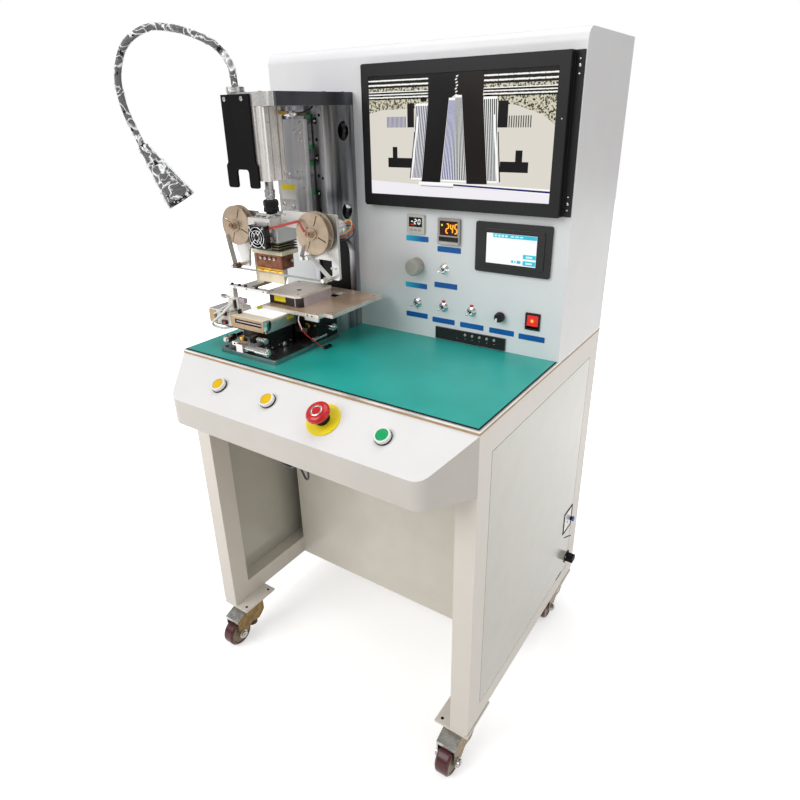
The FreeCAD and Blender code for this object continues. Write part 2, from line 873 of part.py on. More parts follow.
def make_instruments():
    """The touch panel, the two meters and the key strip."""
    y = "cabinet_setback"
    rim = plate("TouchRim", "XZ", rectangle(
        ("touch_left", "touch_left + touch_width"), ("touch_low", "touch_low + touch_height"),
        "touch_corner"),
        "touch_proud - 2", y)
    step = plate("TouchStep", "XZ", rectangle(
        ("touch_left + touch_step", "touch_left + touch_width - touch_step"),
        ("touch_low + touch_step", "touch_low + touch_height - touch_step"), "touch_corner"),
        "2", f"{y} - touch_proud + 2")
    body = block("TouchBody", ("touch_left + 7", "touch_left + touch_width - 7"), (y, f"{y} + 30"),
                 ("touch_low + 7", "touch_low + touch_height - 7"))
    glass = block("TouchGlass", ("glass_left", "glass_left + glass_width"), (f"{y} - touch_proud - 1",
        f"{y} - touch_proud + 1"),
                  ("glass_low", "glass_low + glass_height"))
    keep("hmi_panel", cut("TouchPanel", fuse("TouchShell", [rim, step, body]), [glass]))
    pieces = []
    for name, inset in (("gauge", "(4 + instrument_gap)"), ("meter", "(3 + instrument_gap)")):
        title = name.title()
        face = plate(title + "Face", "XZ", rectangle(
            (f"{name}_left", f"{name}_left + {name}_width"), (f"{name}_low",
            f"{name}_low + {name}_height"), "2"),
            f"{name}_proud", y)
        housing = block(title + "Housing", (f"{name}_left + {inset}",
            f"{name}_left + {name}_width - {inset}"),
                        (y, f"{y} + instrument_depth"),
                        (f"{name}_low + {inset}", f"{name}_low + {name}_height - {inset}"))
        window = block(title + "Window", (f"{name}_left + 5", f"{name}_left + {name}_width - 5"),
                       (f"{y} - {name}_proud - 1", f"{y} - {name}_proud + 1"),
                       (f"{name}_low + {name}_height * 0.36", f"{name}_low + {name}_height - 5"))
        pieces.append(cut(title + "Unit", fuse(title + "Shell", [face, housing]), [window]))
    strip = block("StripFace", ("strip_left", "strip_left + strip_width"), (f"{y} - strip_proud", y),
                  ("strip_low", "strip_low + strip_height"))
    holes = [rod(f"KeyHole{index}", f"key_first + {index} * key_pitch", f"{y} - strip_proud - 1",
        "key_level",
                 "key_radius + running_gap", "strip_proud", "+Y") for index in range(5)]
    pieces.append(cut("KeyStrip", strip, holes))
    keep("panel_instruments", group("PanelInstruments", pieces))
    for index in range(5):
        x = f"key_first + {index} * key_pitch"
        keep(f"osd_key_{index + 1}", turned(f"OsdKey{index}", [
            ("0", "0"), ("key_radius", "0"), ("key_radius", "key_proud + 1"), ("key_radius - 0.8",
            "key_proud + 1.8"),
            ("0", "key_proud + 1.8")], x, f"{y} - strip_proud + 1.9", "key_level", "-Y"))


def make_panel_switches():
    """Bushings and nuts of the panel controls, the rocker's frame and the fittings on the right side."""
    y = "cabinet_setback"
    pieces = []
    for name, x, z in panel_controls():
        if name == "Regulator":
            profile = [("shaft_radius + axle_gap", "-20"), ("bushing_radius", "-20"), ("bushing_radius",
                "0"),
                       ("regulator_ring", "0"), ("regulator_ring", "nut_height"),
                       ("shaft_radius + axle_gap", "nut_height")]
        elif name == "Knob":
            profile = [("shaft_radius + axle_gap", "-14"), ("bushing_radius", "-14"), ("bushing_radius",
                "0"),
                       ("nut_radius", "0"), ("nut_radius", "2"), ("shaft_radius + axle_gap", "2")]
        else:
            profile = [("0", "-18"), ("bushing_radius", "-18"), ("bushing_radius", "0"), ("nut_radius",
                "0"),
                       ("nut_radius", "nut_height"), ("bushing_radius", "nut_height + 1"),
                       ("bushing_radius", "bushing_height"), ("lever_ball + running_gap", "bushing_height"),
                       ("lever_ball + running_gap", "-2.6"), ("0", "-2.6")]
        pieces.append(turned(f"Bushing{name}", profile, x, y, z, "-Y"))
    rocker_x = ("rocker_left", "rocker_left + rocker_width")
    rocker_z = ("rocker_low", "rocker_low + rocker_height")
    opening = rectangle(("rocker_left + rocker_rim", "rocker_left + rocker_width - rocker_rim"),
                        ("rocker_low + rocker_rim", "rocker_low + rocker_height - rocker_rim"))
    skin = rectangle(("rocker_left + rocker_rim - 0.8", "rocker_left + rocker_width - rocker_rim + 0.8"),
                     ("rocker_low + rocker_rim - 0.8", "rocker_low + rocker_height - rocker_rim + 0.8"))
    rim = plate("RockerRim", "XZ", rectangle(rocker_x, rocker_z, "1.5"), "rocker_proud", y, inner=[opening])
    well = plate("RockerWell", "XZ", skin, "20", f"{y} + 20", inner=[opening])
    pieces.append(fuse("RockerFrame", [rim, well]))
    keep("switch_mounts", group("SwitchMounts", pieces + side_fittings()))


def about(middle, span):
    """The two ends of a span about its middle."""
    return f"{middle} - {span} / 2", f"{middle} + {span} / 2"


def side_fittings():
    """The framed air port and the power inlet with its plug, on the right side of the base."""
    frame = plate("PortFrame", "YZ", rectangle(("port_front", "port_back"), ("port_low", "port_high")),
                  "port_sheet", "half_width", inner=[rectangle(
                      ("port_front + port_bar", "port_back - port_bar"),
                      ("port_low + port_bar", "port_high - port_bar"))])
    port = rod("AirPort", "half_width", "air_y", "air_level", "air_radius", "air_length", "+X")
    flange = plate("InletFlange", "YZ", rectangle(
        about("inlet_y", "inlet_wide"), about("inlet_level", "inlet_tall"), "4"), "inlet_flange", "half_width")
    plug = plate("InletPlug", "YZ", rectangle(
        about("inlet_y", "plug_wide"), about("inlet_level", "plug_tall"), "plug_round"),
        "inlet_flange + plug_length", "half_width")
    return [fuse("PortFitting", [frame, port]), fuse("InletFitting", [flange, plug])]


def make_panel_controls():
    """Levers, knobs and the rocker: everything on the panel that a hand moves."""
    y = "cabinet_setback"
    for index, (name, x, z) in enumerate(panel_controls()[:4], start=1):
        lever = turned(f"Lever{name}", [
            ("0", "-1.5"), ("lever_ball - 1.5", "-1.5"), ("lever_ball", "0.5"), ("lever_ball", "3"),
            ("lever_radius * 0.55", "6"), ("lever_radius * 0.75", "lever_length"), ("lever_radius",
            "lever_length + 4"),
            ("lever_radius * 0.6", "lever_length + 6"), ("0", "lever_length + 6")], x, y, z, "-Y")
        keep(f"toggle_lever_{index}", lever)
    keep("dimmer_knob", turned("DimmerKnob", [
        ("0", "-10"), ("shaft_radius", "-10"), ("shaft_radius", "2.4"), ("knob_radius", "2.4"),
        ("knob_radius", "5"), ("knob_radius - 1.5", "knob_height - 1"), ("knob_radius - 2.5",
        "knob_height"), ("0", "knob_height")],
        "column_four", y, "row_low", "-Y"))
    keep("regulator_knob", turned("RegulatorKnob", [
        ("0", "-10"), ("shaft_radius", "-10"), ("shaft_radius", "nut_height + 0.4"),
        ("regulator_radius - 2", "nut_height + 0.4"), ("regulator_radius", "nut_height + 6"),
        ("regulator_radius", "regulator_height + nut_height - 2"),
        ("regulator_radius - 2", "regulator_height + nut_height"), ("0", "regulator_height + nut_height")],
        "column_one", y, "row_high", "-Y"))
    gap = "running_gap"
    rocker = plate("RockerPaddle", "YZ", [
        (f"{y} + 6", "rocker_low + rocker_rim + 5"),
        (f"{y} - rocker_proud - 1.5", "rocker_low + rocker_rim + 5"),
        (f"{y} - rocker_proud + 0.5", "rocker_low + rocker_height / 2"),
        (f"{y} - rocker_proud + 0.5", f"rocker_low + rocker_height - rocker_rim - {gap} - 0.5"),
        (f"{y} + 6", "rocker_low + rocker_height - rocker_rim - 5"),
    ], f"rocker_width - 2 * rocker_rim - 2 * {gap}", f"rocker_left + rocker_rim + {gap}")
    keep("rocker_paddle", rocker)


def make_buttons():
    """Bezels, caps and the emergency stop on the console."""
    bezels = []
    stem = "cap_radius - 2"
    stem_bore = "cap_radius - 2 + running_gap"
    for name, place in (("left", "button_left"), ("middle", "button_middle"), ("right", "button_right")):
        title = name.title()
        bezels.append(on_console(f"Bezel{title}", place, "button_down", [
            (stem_bore, "-barrel_length"), ("barrel_radius", "-barrel_length"), ("barrel_radius", "0"),
            ("gasket_radius", "0"), ("gasket_radius", "gasket_height"), ("bezel_radius", "gasket_height"),
            ("bezel_radius", "bezel_height - bezel_round"), ("bezel_radius - bezel_round", "bezel_height"),
            ("cap_radius + running_gap", "bezel_height"), ("cap_radius + running_gap", "1"), (stem_bore,
            "1")]))
        keep(f"push_button_{name}", on_console(f"Cap{title}", place, "button_down", [
            ("0", "-stem_length"), (stem, "-stem_length"), (stem, "cap_skirt"), ("cap_radius", "cap_skirt"),
            ("cap_radius", "cap_height"), ("cap_radius - cap_round", "cap_height + cap_round"),
            ("0", "cap_height + cap_round")]))
    stop_bore = "stop_stem + running_gap"
    bezels.append(on_console("StopBase", "stop_place", "stop_down", [
        (stop_bore, "-barrel_length"), ("barrel_radius", "-barrel_length"), ("barrel_radius", "0"),
        ("stop_disc", "0"), ("stop_disc", "stop_disc_height"), ("stop_collar", "stop_disc_height"),
        ("stop_collar", "stop_collar_height"), (stop_bore, "stop_collar_height")]))
    keep("button_bezels", group("ButtonBezels", bezels))
    skirt = "stop_collar_height + stop_travel"
    crown = "stop_collar_height + mushroom_height"
    keep("estop_mushroom", on_console("Mushroom", "stop_place", "stop_down", [
        ("0", "-14"), ("stop_stem", "-14"), ("stop_stem", skirt), ("mushroom_radius - 3", skirt),
        ("mushroom_radius", f"{skirt} + 3"), ("mushroom_radius", f"{crown} - 1"), ("mushroom_radius - 4",
        f"{crown} + 3.5"),
        ("mushroom_radius - 10", f"{crown} + 5"), ("0", f"{crown} + 5")]))


def make_castors():
    """Four levelling castors: each a swivelling fork with its foot, and a wheel on its axle."""
    for side, side_name in ((-1, "left"), (1, "right")):
        for end_name, y in (("front", "castor_setback"), ("rear", "table_depth - castor_margin")):
            title = f"{side_name.title()}{end_name.title()}"
            x = side_words(side, "(half_width - castor_inset)")
            make_castor_fork(title, f"castor_fork_{end_name}_{side_name}", x, y)
            make_castor_wheel(title, f"castor_wheel_{end_name}_{side_name}", x, y)


def make_castor_fork(title, label, x, y):
    """The pressed fork: a folded bridge, two cheeks, the axle and the foot on its screw."""
    top = "castor_top - race_height"
    half = "fork_width / 2"
    hub = f"{y} - castor_trail"
    nose = f"{hub} - cheek_front"
    outline = [
        (f"{y} + cheek_back", top), (f"{y} + cheek_back + 1", f"{top} - 0.7 * cheek_lobe", "8"),
        (f"{y} + 8", f"{top} - cheek_lobe", "8"), (f"{y} - 18", f"{top} - 0.9 * cheek_lobe", "6"),
        (f"{hub} + 14", "axle_level - 2", "6"), (f"{hub} + 10", "axle_level - 12", "8"),
        (f"{hub} - 10", "axle_level - 12", "8"), (nose, f"{top} - hood_drop"), (f"{y} - bridge_front", top),
    ]
    cheeks = [
        plate(f"Cheek{title}{name}", "YZ", outline, "fork_sheet", start, circles=[(hub, "axle_level",
            "axle_radius")])
        for name, start in (("Inner", f"{x} - {half}"), ("Outer", f"{x} + {half} - fork_sheet"))
    ]
    bridge = plate(f"Bridge{title}", "YZ", [
        (f"{y} + cheek_back", top), (f"{y} - bridge_front", top), (nose, f"{top} - hood_drop"),
        (nose, f"{top} - hood_drop - 8"), (f"{nose} + fork_sheet", f"{top} - hood_drop - 8"),
        (f"{nose} + fork_sheet", f"{top} - hood_drop - 2"), (f"{y} - bridge_front + 1",
        f"{top} - fork_sheet"),
        (f"{y} + cheek_back", f"{top} - fork_sheet")], "fork_width", f"{x} - {half}")
    race = rod(f"Race{title}", x, y, f"{top} - 0.01", "race_radius", "race_height - running_gap", "+Z")
    axle = rod(f"Axle{title}", f"{x} - {half} - 4", hub, "axle_level", "axle_radius", "fork_width + 8",
        "+X")
    nuts = [rod(f"AxleNut{title}{name}", start, hub, "axle_level", "axle_radius + 4", "5", "+X")
            for name, start in (("Inner", f"{x} - {half} - 5"), ("Outer", f"{x} + {half}"))]
    stem_top = "castor_height - plate_sheet - race_height - fork_sheet"
    foot = turned(f"Foot{title}", [
        ("0", "foot_lift"), ("foot_radius - 3", "foot_lift"), ("foot_radius", "foot_lift + 3"),
        ("foot_radius", "foot_lift + 12"), ("foot_radius - 4", "foot_lift + 18"), ("8", "foot_lift + 22"),
        ("8", stem_top), ("0", stem_top)], x, y, "floor_level")
    keep(label, fuse(f"Fork{title}", [*cheeks, bridge, race, axle, *nuts, foot]))


def make_castor_wheel(title, label, x, y):
    """A wheel with a rounded tread, bored for its axle."""
    hub = "fork_width / 2 - fork_sheet - running_gap"
    half = "wheel_width / 2"
    keep(label, turned(f"Wheel{title}", [
        ("axle_radius + axle_gap", f"-({hub})"), ("hub_round", f"-({hub})"), ("hub_round", f"2 - {half}"),
        ("wheel_radius - 9", f"2 - {half}"), ("wheel_radius - 7", f"-{half}"),
        ("wheel_radius - tread_edge", f"-{half}"), ("wheel_radius", f"tread_edge - {half}"),
        ("wheel_radius", f"{half} - tread_edge"), ("wheel_radius - tread_edge", half),
        ("wheel_radius - 7", half), ("wheel_radius - 9", f"{half} - 2"), ("hub_round", f"{half} - 2"),
        ("hub_round", hub), ("axle_radius + axle_gap", hub)],
        x, f"{y} - castor_trail", "axle_level", "+X"))


def make_column():
    """The press column: two throated side plates, the back plate, the guide plate and the head plate."""
    outline = [
        ("column_front", "0"), ("cabinet_setback", "0"), ("cabinet_setback", "column_height"),
        ("column_front", "column_height"), ("column_front", "throat_high"),
        ("throat_back", "throat_high", "throat_round"), ("throat_back", "throat_low", "6"),
        ("column_front", "throat_low"),
    ]
    holes = [("spy_y", "spy_high", "spy_hole"), ("spy_y", "spy_low", "spy_hole")]
    sides = [plate(f"ColumnSide{name}", "YZ", outline, "column_plate", start, circles=holes)
             for name, start in (("Left", "column_left"), ("Right", "column_right - column_plate"))]
    inner = ("column_left + column_plate", "column_right - column_plate")
    back = block("ColumnBack", inner, ("cabinet_setback - 8", "cabinet_setback"), ("0", "column_height"))
    guide = block("GuidePlate", inner, ("guide_face", "guide_face + guide_sheet"), ("guide_low",
        "column_height"))
    head = plate("HeadPlate", "XY", [
        ("column_left", "cabinet_setback"), ("column_left", "head_front", "head_round"),
        ("column_right", "head_front", "head_round"), ("column_right", "cabinet_setback")],
        "head_plate", "column_height")
    rail = block("RailBar", ("rail_x - rail_width / 2", "rail_x + rail_width / 2"),
                 ("guide_face - rail_depth", "guide_face"), ("guide_low", "column_height - 6"))
    keep("head_column", group("HeadColumn", [*sides, back, guide, head, rail]))


def make_cylinder():
    """The air cylinder's grooved profile, bored for its piston and rod."""
    half = "cylinder_side / 2"
    x0, x1 = f"press_x - {half}", f"press_x + {half}"
    y0, y1 = f"press_y - {half}", f"press_y + {half}"
    body = plate("CylinderBody", "XY", rectangle((x0, x1), (y0, y1), "cylinder_round"),
                 "column_height - cylinder_low", "cylinder_low")
    grooves = []
    height = ("cylinder_low", "column_height")
    for index, offset in enumerate(("groove_place", "-groove_place")):
        across = (f"press_x + {offset} - groove_width / 2", f"press_x + {offset} + groove_width / 2")
        along = (f"press_y + {offset} - groove_width / 2", f"press_y + {offset} + groove_width / 2")
        grooves += [
            block(f"GrooveFront{index}", across, (f"{y0} - 1", f"{y0} + groove_depth"), height),
            block(f"GrooveBack{index}", across, (f"{y1} - groove_depth", f"{y1} + 1"), height),
            block(f"GrooveLeft{index}", (f"{x0} - 1", f"{x0} + groove_depth"), along, height),
            block(f"GrooveRight{index}", (f"{x1} - groove_depth", f"{x1} + 1"), along, height),
        ]
    bore = rod("CylinderBore", "press_x", "press_y", "bore_low", "bore_radius", "bore_high - bore_low")
    rod_hole = rod("RodHole", "press_x", "press_y", "cylinder_low - 1", "rod_radius + piston_gap",
        "bore_low - cylinder_low + 2")
    keep("cylinder_body", cut("Cylinder", body, [*grooves, bore, rod_hole]))
    keep("piston_rod", turned("PistonRod", [
        ("0", "plate_high"), ("5", "plate_high"), ("5", "plate_high + 5"), ("10", "plate_high + 5"),
        ("13.5", "plate_high + 11"),
        ("13.5", "plate_high + 27"), ("8.5", "plate_high + 31"), ("8.5", "plate_high + 38"), ("9.5",
        "plate_high + 38"),
        ("9.5", "plate_high + 45"), ("rod_radius", "plate_high + 46"), ("rod_radius",
        "bore_high - piston_length - 2"),
        ("bore_radius - piston_gap", "bore_high - piston_length - 2"), ("bore_radius - piston_gap",
        "bore_high - 2"),
        ("0", "bore_high - 2")], "press_x", "press_y", "0"))


def make_sign_plate():
    """The black front plate with its forked lower end."""
    left, right = "sign_left", "sign_left + sign_width"
    y = "head_front"
    outline = [
        (left, "sign_top"), (left, "sign_step"), (f"{left} - sign_flare", "sign_step - 6"),
        (f"{left} - sign_flare", "sign_low", "5"), (f"{left} + 21", "sign_low", "5"), (f"{left} + 21",
        "sign_fork", "6"),
        (f"{right} - 19", "sign_fork", "6"), (f"{right} - 19", "sign_low", "5"),
        (f"{right} + sign_flare", "sign_low", "5"), (f"{right} + sign_flare", "sign_step - 6"), (right,
        "sign_step"),
        (right, "sign_top"),
    ]
    keep("front_bracket", plate("FrontBracket", "XZ", outline, "sign_sheet", y))


def make_press_slide():
    """The slide plate with its two guide trucks, and the foot that carries the press head."""
    pieces = [
        block("SlidePlate", ("slide_left", "slide_right"), ("slide_front", "slide_back"), ("slide_low",
            "slide_high")),
        block("SlideFoot", ("slide_left + 4", "slide_right - 14"), ("slide_front - block_thick",
            "slide_front"),
              ("plate_high", "plate_high + 62")),
    ]
    for name, low in (("High", "truck_high"), ("Low", "truck_low")):
        truck = block(f"Truck{name}", ("rail_x - truck_width / 2", "rail_x + truck_width / 2"),
                      ("slide_back", "truck_face + 3"), (low, f"{low} + truck_height"))
        channel = block(f"TruckChannel{name}", ("rail_x - rail_width / 2 - running_gap",
            "rail_x + rail_width / 2 + running_gap"),
                        ("guide_face - rail_depth - running_gap", "guide_face"), (f"{low} - 1",
                        f"{low} + truck_height + 1"))
        pieces.append(cut(f"TruckBody{name}", truck, [channel]))
    keep("press_slide", fuse("PressSlide", pieces))


def make_head_bracket():
    """The head's carrier plate and the arms that hold the reels, rollers and motor."""
    carrier = block("Carrier", ("slide_left + reel_clearance", "carrier_right"), ("plate_front",
        "slide_front"), ("plate_low", "plate_high"))
    spacer = block("Spacer", ("sink_left", "sink_left + sink_width"), ("sink_front",
        "sink_front + sink_depth"),
                   ("sink_low + sink_height", "plate_low"))
    y = "bracket_y + bracket_sheet"
    right = plate("ReelArmRight", "XZ", [
        ("carrier_right", "plate_high - 4"), ("carrier_right + 10", "bracket_top"), ("bracket_end",
        "bracket_top", "4"),
        ("bracket_end", "arm_low", "4"), ("bracket_end - arm_width", "arm_low", "4"),
        ("bracket_end - arm_width", "bracket_low"),
        ("carrier_right + 40", "bracket_low"), ("carrier_right + 40", "plate_low"), ("carrier_right",
        "plate_low")],
        "bracket_sheet", y)
    inner = "slide_left + 2 * reel_clearance"
    left = plate("ReelArmLeft", "XZ", [
        (inner, "plate_high - 4"), ("slide_left", "bracket_top - 6"), ("bracket_left_end",
        "bracket_top - 6", "4"),
        ("bracket_left_end + 6", "bracket_low", "4"), ("roller_left - 8", "arm_low", "4"),
        ("roller_left + 9", "arm_low", "4"),
        ("roller_left + 14", "bracket_low"), (inner, "plate_low")],
        "bracket_sheet", y)
    rollers = [rod(f"Roller{name}", x, "roller_front", "roller_level", "roller_radius",
        "bracket_y - roller_front", "+Y")
               for name, x in (("Left", "roller_left"), ("Right", "roller_right"))]
    guides = [rod(f"Guide{index}", f"reel_right - {offset}", "tape_front - 1", f"reel_level - {drop}",
        "4", "bracket_y - tape_front + 1", "+Y")
              for index, (offset, drop) in enumerate(((24, 46), (10, 44)))]
    pins = [rod(f"ReelPin{name}", x, "reel_front - hub_height + 1", "reel_level", "reel_pin",
        "bracket_y - reel_front + hub_height - 1", "+Y")
            for name, x in (("Left", "reel_left"), ("Right", "reel_right"))]
    motor = rod("ReelMotor", "reel_right", y, "reel_level", "motor_radius", "motor_length", "+Y")
    keep("head_bracket", fuse("HeadBracket", [carrier, spacer, right, left, *rollers, *guides, *pins,
        motor]))


def make_hot_end():
    """Heat sink, shield, heater block, clamp and tip, from the carrier down."""
    x = ("sink_left", "sink_left + sink_width")
    y = ("sink_front", "sink_front + sink_depth")
    gap = "sink_height / (2 * fin_count - 1)"
    core = block("SinkCore", ("sink_left + 20", "sink_left + sink_width - 20"), y, ("sink_low",
        "sink_low + sink_height"))
    fins = [block(f"Fin{index}", x, y, (f"sink_low + {2 * index} * {gap}",
        f"sink_low + {2 * index + 1} * {gap}"))
            for index in range(SIZES["fin_count"])]
    keep("heat_sink", fuse("HeatSink", [core, *fins]))
    keep("heat_shield", block("HeatShield", ("shield_left", "shield_left + shield_width"),
                              ("heater_front - 6", "heater_front + heater_depth + 4"),
                              ("shield_low", "sink_low")))
    heater = plate("HeaterBlock", "XY", [
        ("heater_left", "heater_front"), ("heater_left + heater_width", "heater_front"),
        ("heater_left + heater_width", "heater_front + heater_depth - 10"),
        ("heater_left + heater_width - 10", "heater_front + heater_depth"),
        ("heater_left", "heater_front + heater_depth")], "shield_low - heater_low", "heater_low")
    wells = [rod(f"HeaterWell{index}", f"heater_left + 15 + {index} * well_pitch", "heater_front - 1",
        "heater_low + 20", "well_radius", "well_depth", "+Y")
             for index in range(4)]
    keep("heater_block", cut("HeaterBored", heater, wells))
    face = "heater_front + clamp_thick"
    tip = plate("TipBlade", "YZ", [
        (face, "heater_low"), (face, "tip_low"), (f"{face} + 3", "tip_low"), (f"{face} + tip_thick",
        "tip_low + 14"),
        (f"{face} + tip_thick", "heater_low")], "heater_width", "heater_left")
    clamp = block("TipClamp", ("heater_left", "heater_left + heater_width"),
                  ("heater_front", face), ("clamp_low", "heater_low"))
    keep("bonding_tip", fuse("BondingTip", [tip, clamp]))


def make_fan():
    """The cooling fan's housing with its hub spider, and its rotor."""
    centre_x = "fan_left + fan_side / 2"
    centre_z = "fan_low + fan_side / 2"
    housing = plate("FanHousing", "XZ", rectangle(
        ("fan_left", "fan_left + fan_side"), ("fan_low", "fan_low + fan_side"), "3"),
        "fan_depth", "fan_front + fan_depth", circles=[(centre_x, centre_z, "fan_bore")])
    spider = [block("SpiderAcross", (f"{centre_x} - fan_bore - 1", f"{centre_x} + fan_bore + 1"),
                    ("fan_front + fan_depth - 1.5", "fan_front + fan_depth"), (f"{centre_z} - 1.5",
                    f"{centre_z} + 1.5")),
              block("SpiderUp", (f"{centre_x} - 1.5", f"{centre_x} + 1.5"),
                    ("fan_front + fan_depth - 1.5", "fan_front + fan_depth"),
                    (f"{centre_z} - fan_bore - 1", f"{centre_z} + fan_bore + 1")),
              rod("SpiderHub", centre_x, "fan_front + fan_depth - 1.5", centre_z, "8", "1.5", "+Y")]
    keep("fan_housing", fuse("FanBody", [housing, *spider]))
    hub = rod("RotorHub", centre_x, "fan_front + 1.5", centre_z, "8", "fan_depth - 3.3", "+Y")
    blades = []
    for index in range(7):
        blade = doc.addObject("Part::Box", f"Blade{index}")
        bind(blade, Length="fan_bore - 8", Width="1.2", Height="fan_depth - 5")
        angle = 360 * index / 7
        turn = Rotation(Vector(0, 1, 0), angle) * Rotation(Vector(1, 0, 0), -55)
        offset = turn.multVec(Vector(7.5, 0, 0))
        put(blade, f"{centre_x} + {offset.x}", "fan_front + 3.5", f"{centre_z} + {offset.z}", turn)
        blade.recompute()
        blades.append(blade)
    keep("fan_rotor", fuse("FanRotor", [hub, *blades]))


def make_reels():
    """The two tape reels: each a turned spool with radial slots in its front flange."""
    for name, x in (("left", "reel_left"), ("right", "reel_right")):
        title = name.title()
        spool = turned(f"Spool{title}", [
            ("reel_pin + axle_gap", "0"), ("reel_radius", "0"), ("reel_radius", "reel_wall"),
            ("reel_core", "reel_wall"),
            ("reel_core", "reel_depth - reel_wall"), ("reel_radius", "reel_depth - reel_wall"),
            ("reel_radius", "reel_depth"),
            ("hub_radius", "reel_depth"), ("hub_radius", "reel_depth + hub_height"),
            ("reel_pin + axle_gap", "reel_depth + hub_height")],
            x, "reel_front + reel_depth", "reel_level", "-Y")
        slots = []
        for index in range(4):
            slot = doc.addObject("Part::Box", f"Slot{title}{index}")
            bind(slot, Length="reel_radius - reel_core - 4", Width="reel_depth + 2", Height="slot_width")
            turn = Rotation(Vector(0, 1, 0), 90 * index + 22)
            offset = turn.multVec(Vector(number("reel_core + 1"), 0, number("-slot_width / 2")))
            put(slot, f"{x} + {offset.x}", "reel_front - 1", f"reel_level + {offset.z}", turn)
            slot.recompute()
            slots.append(slot)
        keep(f"tape_reel_{name}", cut(f"Reel{title}", spool, slots))


def square_block(name, x, y, side, z):
    """A block of square plan about a centre."""
    return block(name, (f"{x} - {side} / 2", f"{x} + {side} / 2"), (f"{y} - {side} / 2",
        f"{y} + {side} / 2"), z)


def make_stage():
    """Base plate, the two-way stage with its micrometers, the light box and the work table."""
    low = "base_sheet"
    first = f"{low} + stage_level"
    second = f"{first} + stage_gap + stage_level"
    deck = "lamp_box_low"
    rear_side = "rear_stage_side"
    rear_split = "bench_low - table_travel"
    base = plate("StageBase", "XY", [
        ("base_left", "base_front", "base_corner"), ("base_right", "base_front", "base_corner"),
        ("base_right", "column_front - running_gap", "base_corner"), ("base_left",
        "column_front - running_gap")],
        "base_sheet", "0")
    keep("stage_base", group("StageBed", [
        base,
        square_block("StageLow", "stage_x", "stage_y", "stage_side", (low, first)),
        square_block("RearStageLow", "rear_stage_x", "rear_stage_y", rear_side, (low, rear_split)),
        block("HolderY", ("base_left", "stage_x - stage_side / 2"), ("stage_y - 14", "stage_y + 10"),
            (low, first)),
        *micrometer_barrel("Y"),
        *micrometer_barrel("Table"),
    ]))
    keep("stage_slide_y", fuse("StageSlideY", [
        square_block("StageMiddle", "stage_x", "stage_y", "stage_side", (f"{first} + stage_gap", second)),
        block("HolderArm", ("stage_x - 35", "stage_x + holder_side"), ("base_front + 1",
            "stage_y - stage_side / 2"),
              (f"{first} + stage_gap", f"{second} - 3")),
        *micrometer_barrel("X"),
    ]))
    keep("stage_slide_x", fuse("StageSlideX", [
        square_block("StageTop", "stage_x", "stage_y", "stage_side", (f"{second} + stage_gap", deck)),
        block("StageDeck", ("fixture_left + 8", "stage_x - stage_side / 2 + 10"), ("fixture_front + 4",
            "fixture_back - 10"),
              ("lamp_box_low - fixture_plate", deck)),
    ]))
    box = block("LampBoxBody", ("lamp_box_left", "lamp_box_left + lamp_box_width"),
                ("lamp_box_front", "lamp_box_front + lamp_box_depth"), ("lamp_box_low", "lamp_box_high"))
    window_x = "lamp_box_left + (lamp_box_width - window_width) / 2"
    window = block("LampBoxWindow", (window_x, f"{window_x} + window_width"), ("lamp_box_front - 1",
        "lamp_box_front + window_depth"),
                   ("lamp_box_high - 14", "lamp_box_high - 14 + window_height"))
    keep("light_box", cut("LightBox", box, [window]))
    bench = plate("BenchPlate", "XY", [
        ("bench_left", "bench_front"), ("wing_step", "bench_front"), ("wing_step", "wing_front"),
        ("wing_right", "wing_front"), ("wing_right", "wing_back"), ("bench_left", "wing_back")],
        "bench_sheet", "bench_low",
        inner=[rectangle(("slot_left", "slot_right"), ("slot_front", "slot_back"))])
    hood = plate("BenchHood", "XY", [
        ("hood_left", "hood_front"), ("hood_right - hood_bevel", "hood_front"), ("hood_right",
        "hood_front + hood_bevel"),
        ("hood_right", "hood_back"), ("hood_left", "hood_back")], "hood_height - hood_sheet", "bench_high")
    lid = plate("HoodLid", "XY", [
        ("hood_left - 2", "hood_lip"), ("hood_right - hood_bevel", "hood_lip"), ("hood_right + 2",
        "hood_lip + hood_bevel"),
        ("hood_right + 2", "hood_back"), ("hood_left - 2", "hood_back")], "hood_sheet",
        "bench_high + hood_height - hood_sheet",
        circles=[("hood_right - 34", "hood_back - 62", "5")])
    rear = square_block("RearStageTop", "rear_stage_x", "rear_stage_y", rear_side,
        (f"{rear_split} + stage_gap", "bench_low"))
    keep("work_table", fuse("WorkTable", [bench, hood, lid, rear]))
    make_side_fixture()
    for name in ("X", "Y", "Table"):
        make_thimble(name)


def make_side_fixture():
    """The fixture left of the light box: its housing, the small gantry over it and the post behind."""
    box = block("FixtureBox", ("fixture_left", "fixture_right"), ("fixture_front", "fixture_back"),
                ("lamp_box_low", "fixture_high"))
    upright = block("GantryUpright", ("gantry_left", "gantry_left + 2 * gantry_sheet"), ("gantry_front",
        "gantry_back"),
                    ("fixture_high", "gantry_high"))
    bar = block("GantryBar", ("gantry_left", "gantry_right"), ("gantry_front", "gantry_back"),
                ("gantry_high - gantry_sheet", "gantry_high"))
    shelf = block("GantryShelf", ("post_left - 8", "post_right"), ("gantry_back", "post_back"),
                  ("gantry_high - gantry_sheet", "gantry_high"))
    post = block("GantryPost", ("post_left", "post_right"), ("post_front", "post_back"), ("gantry_high",
        "post_high"))
    feeler = rod("Feeler", "gantry_left - feeler_length", "gantry_front + gantry_sheet",
        "fixture_high + 20",
                 "feeler_radius", "feeler_length", "+X")
    keep("side_fixture", fuse("SideFixture", [box, upright, bar, shelf, post, feeler]))


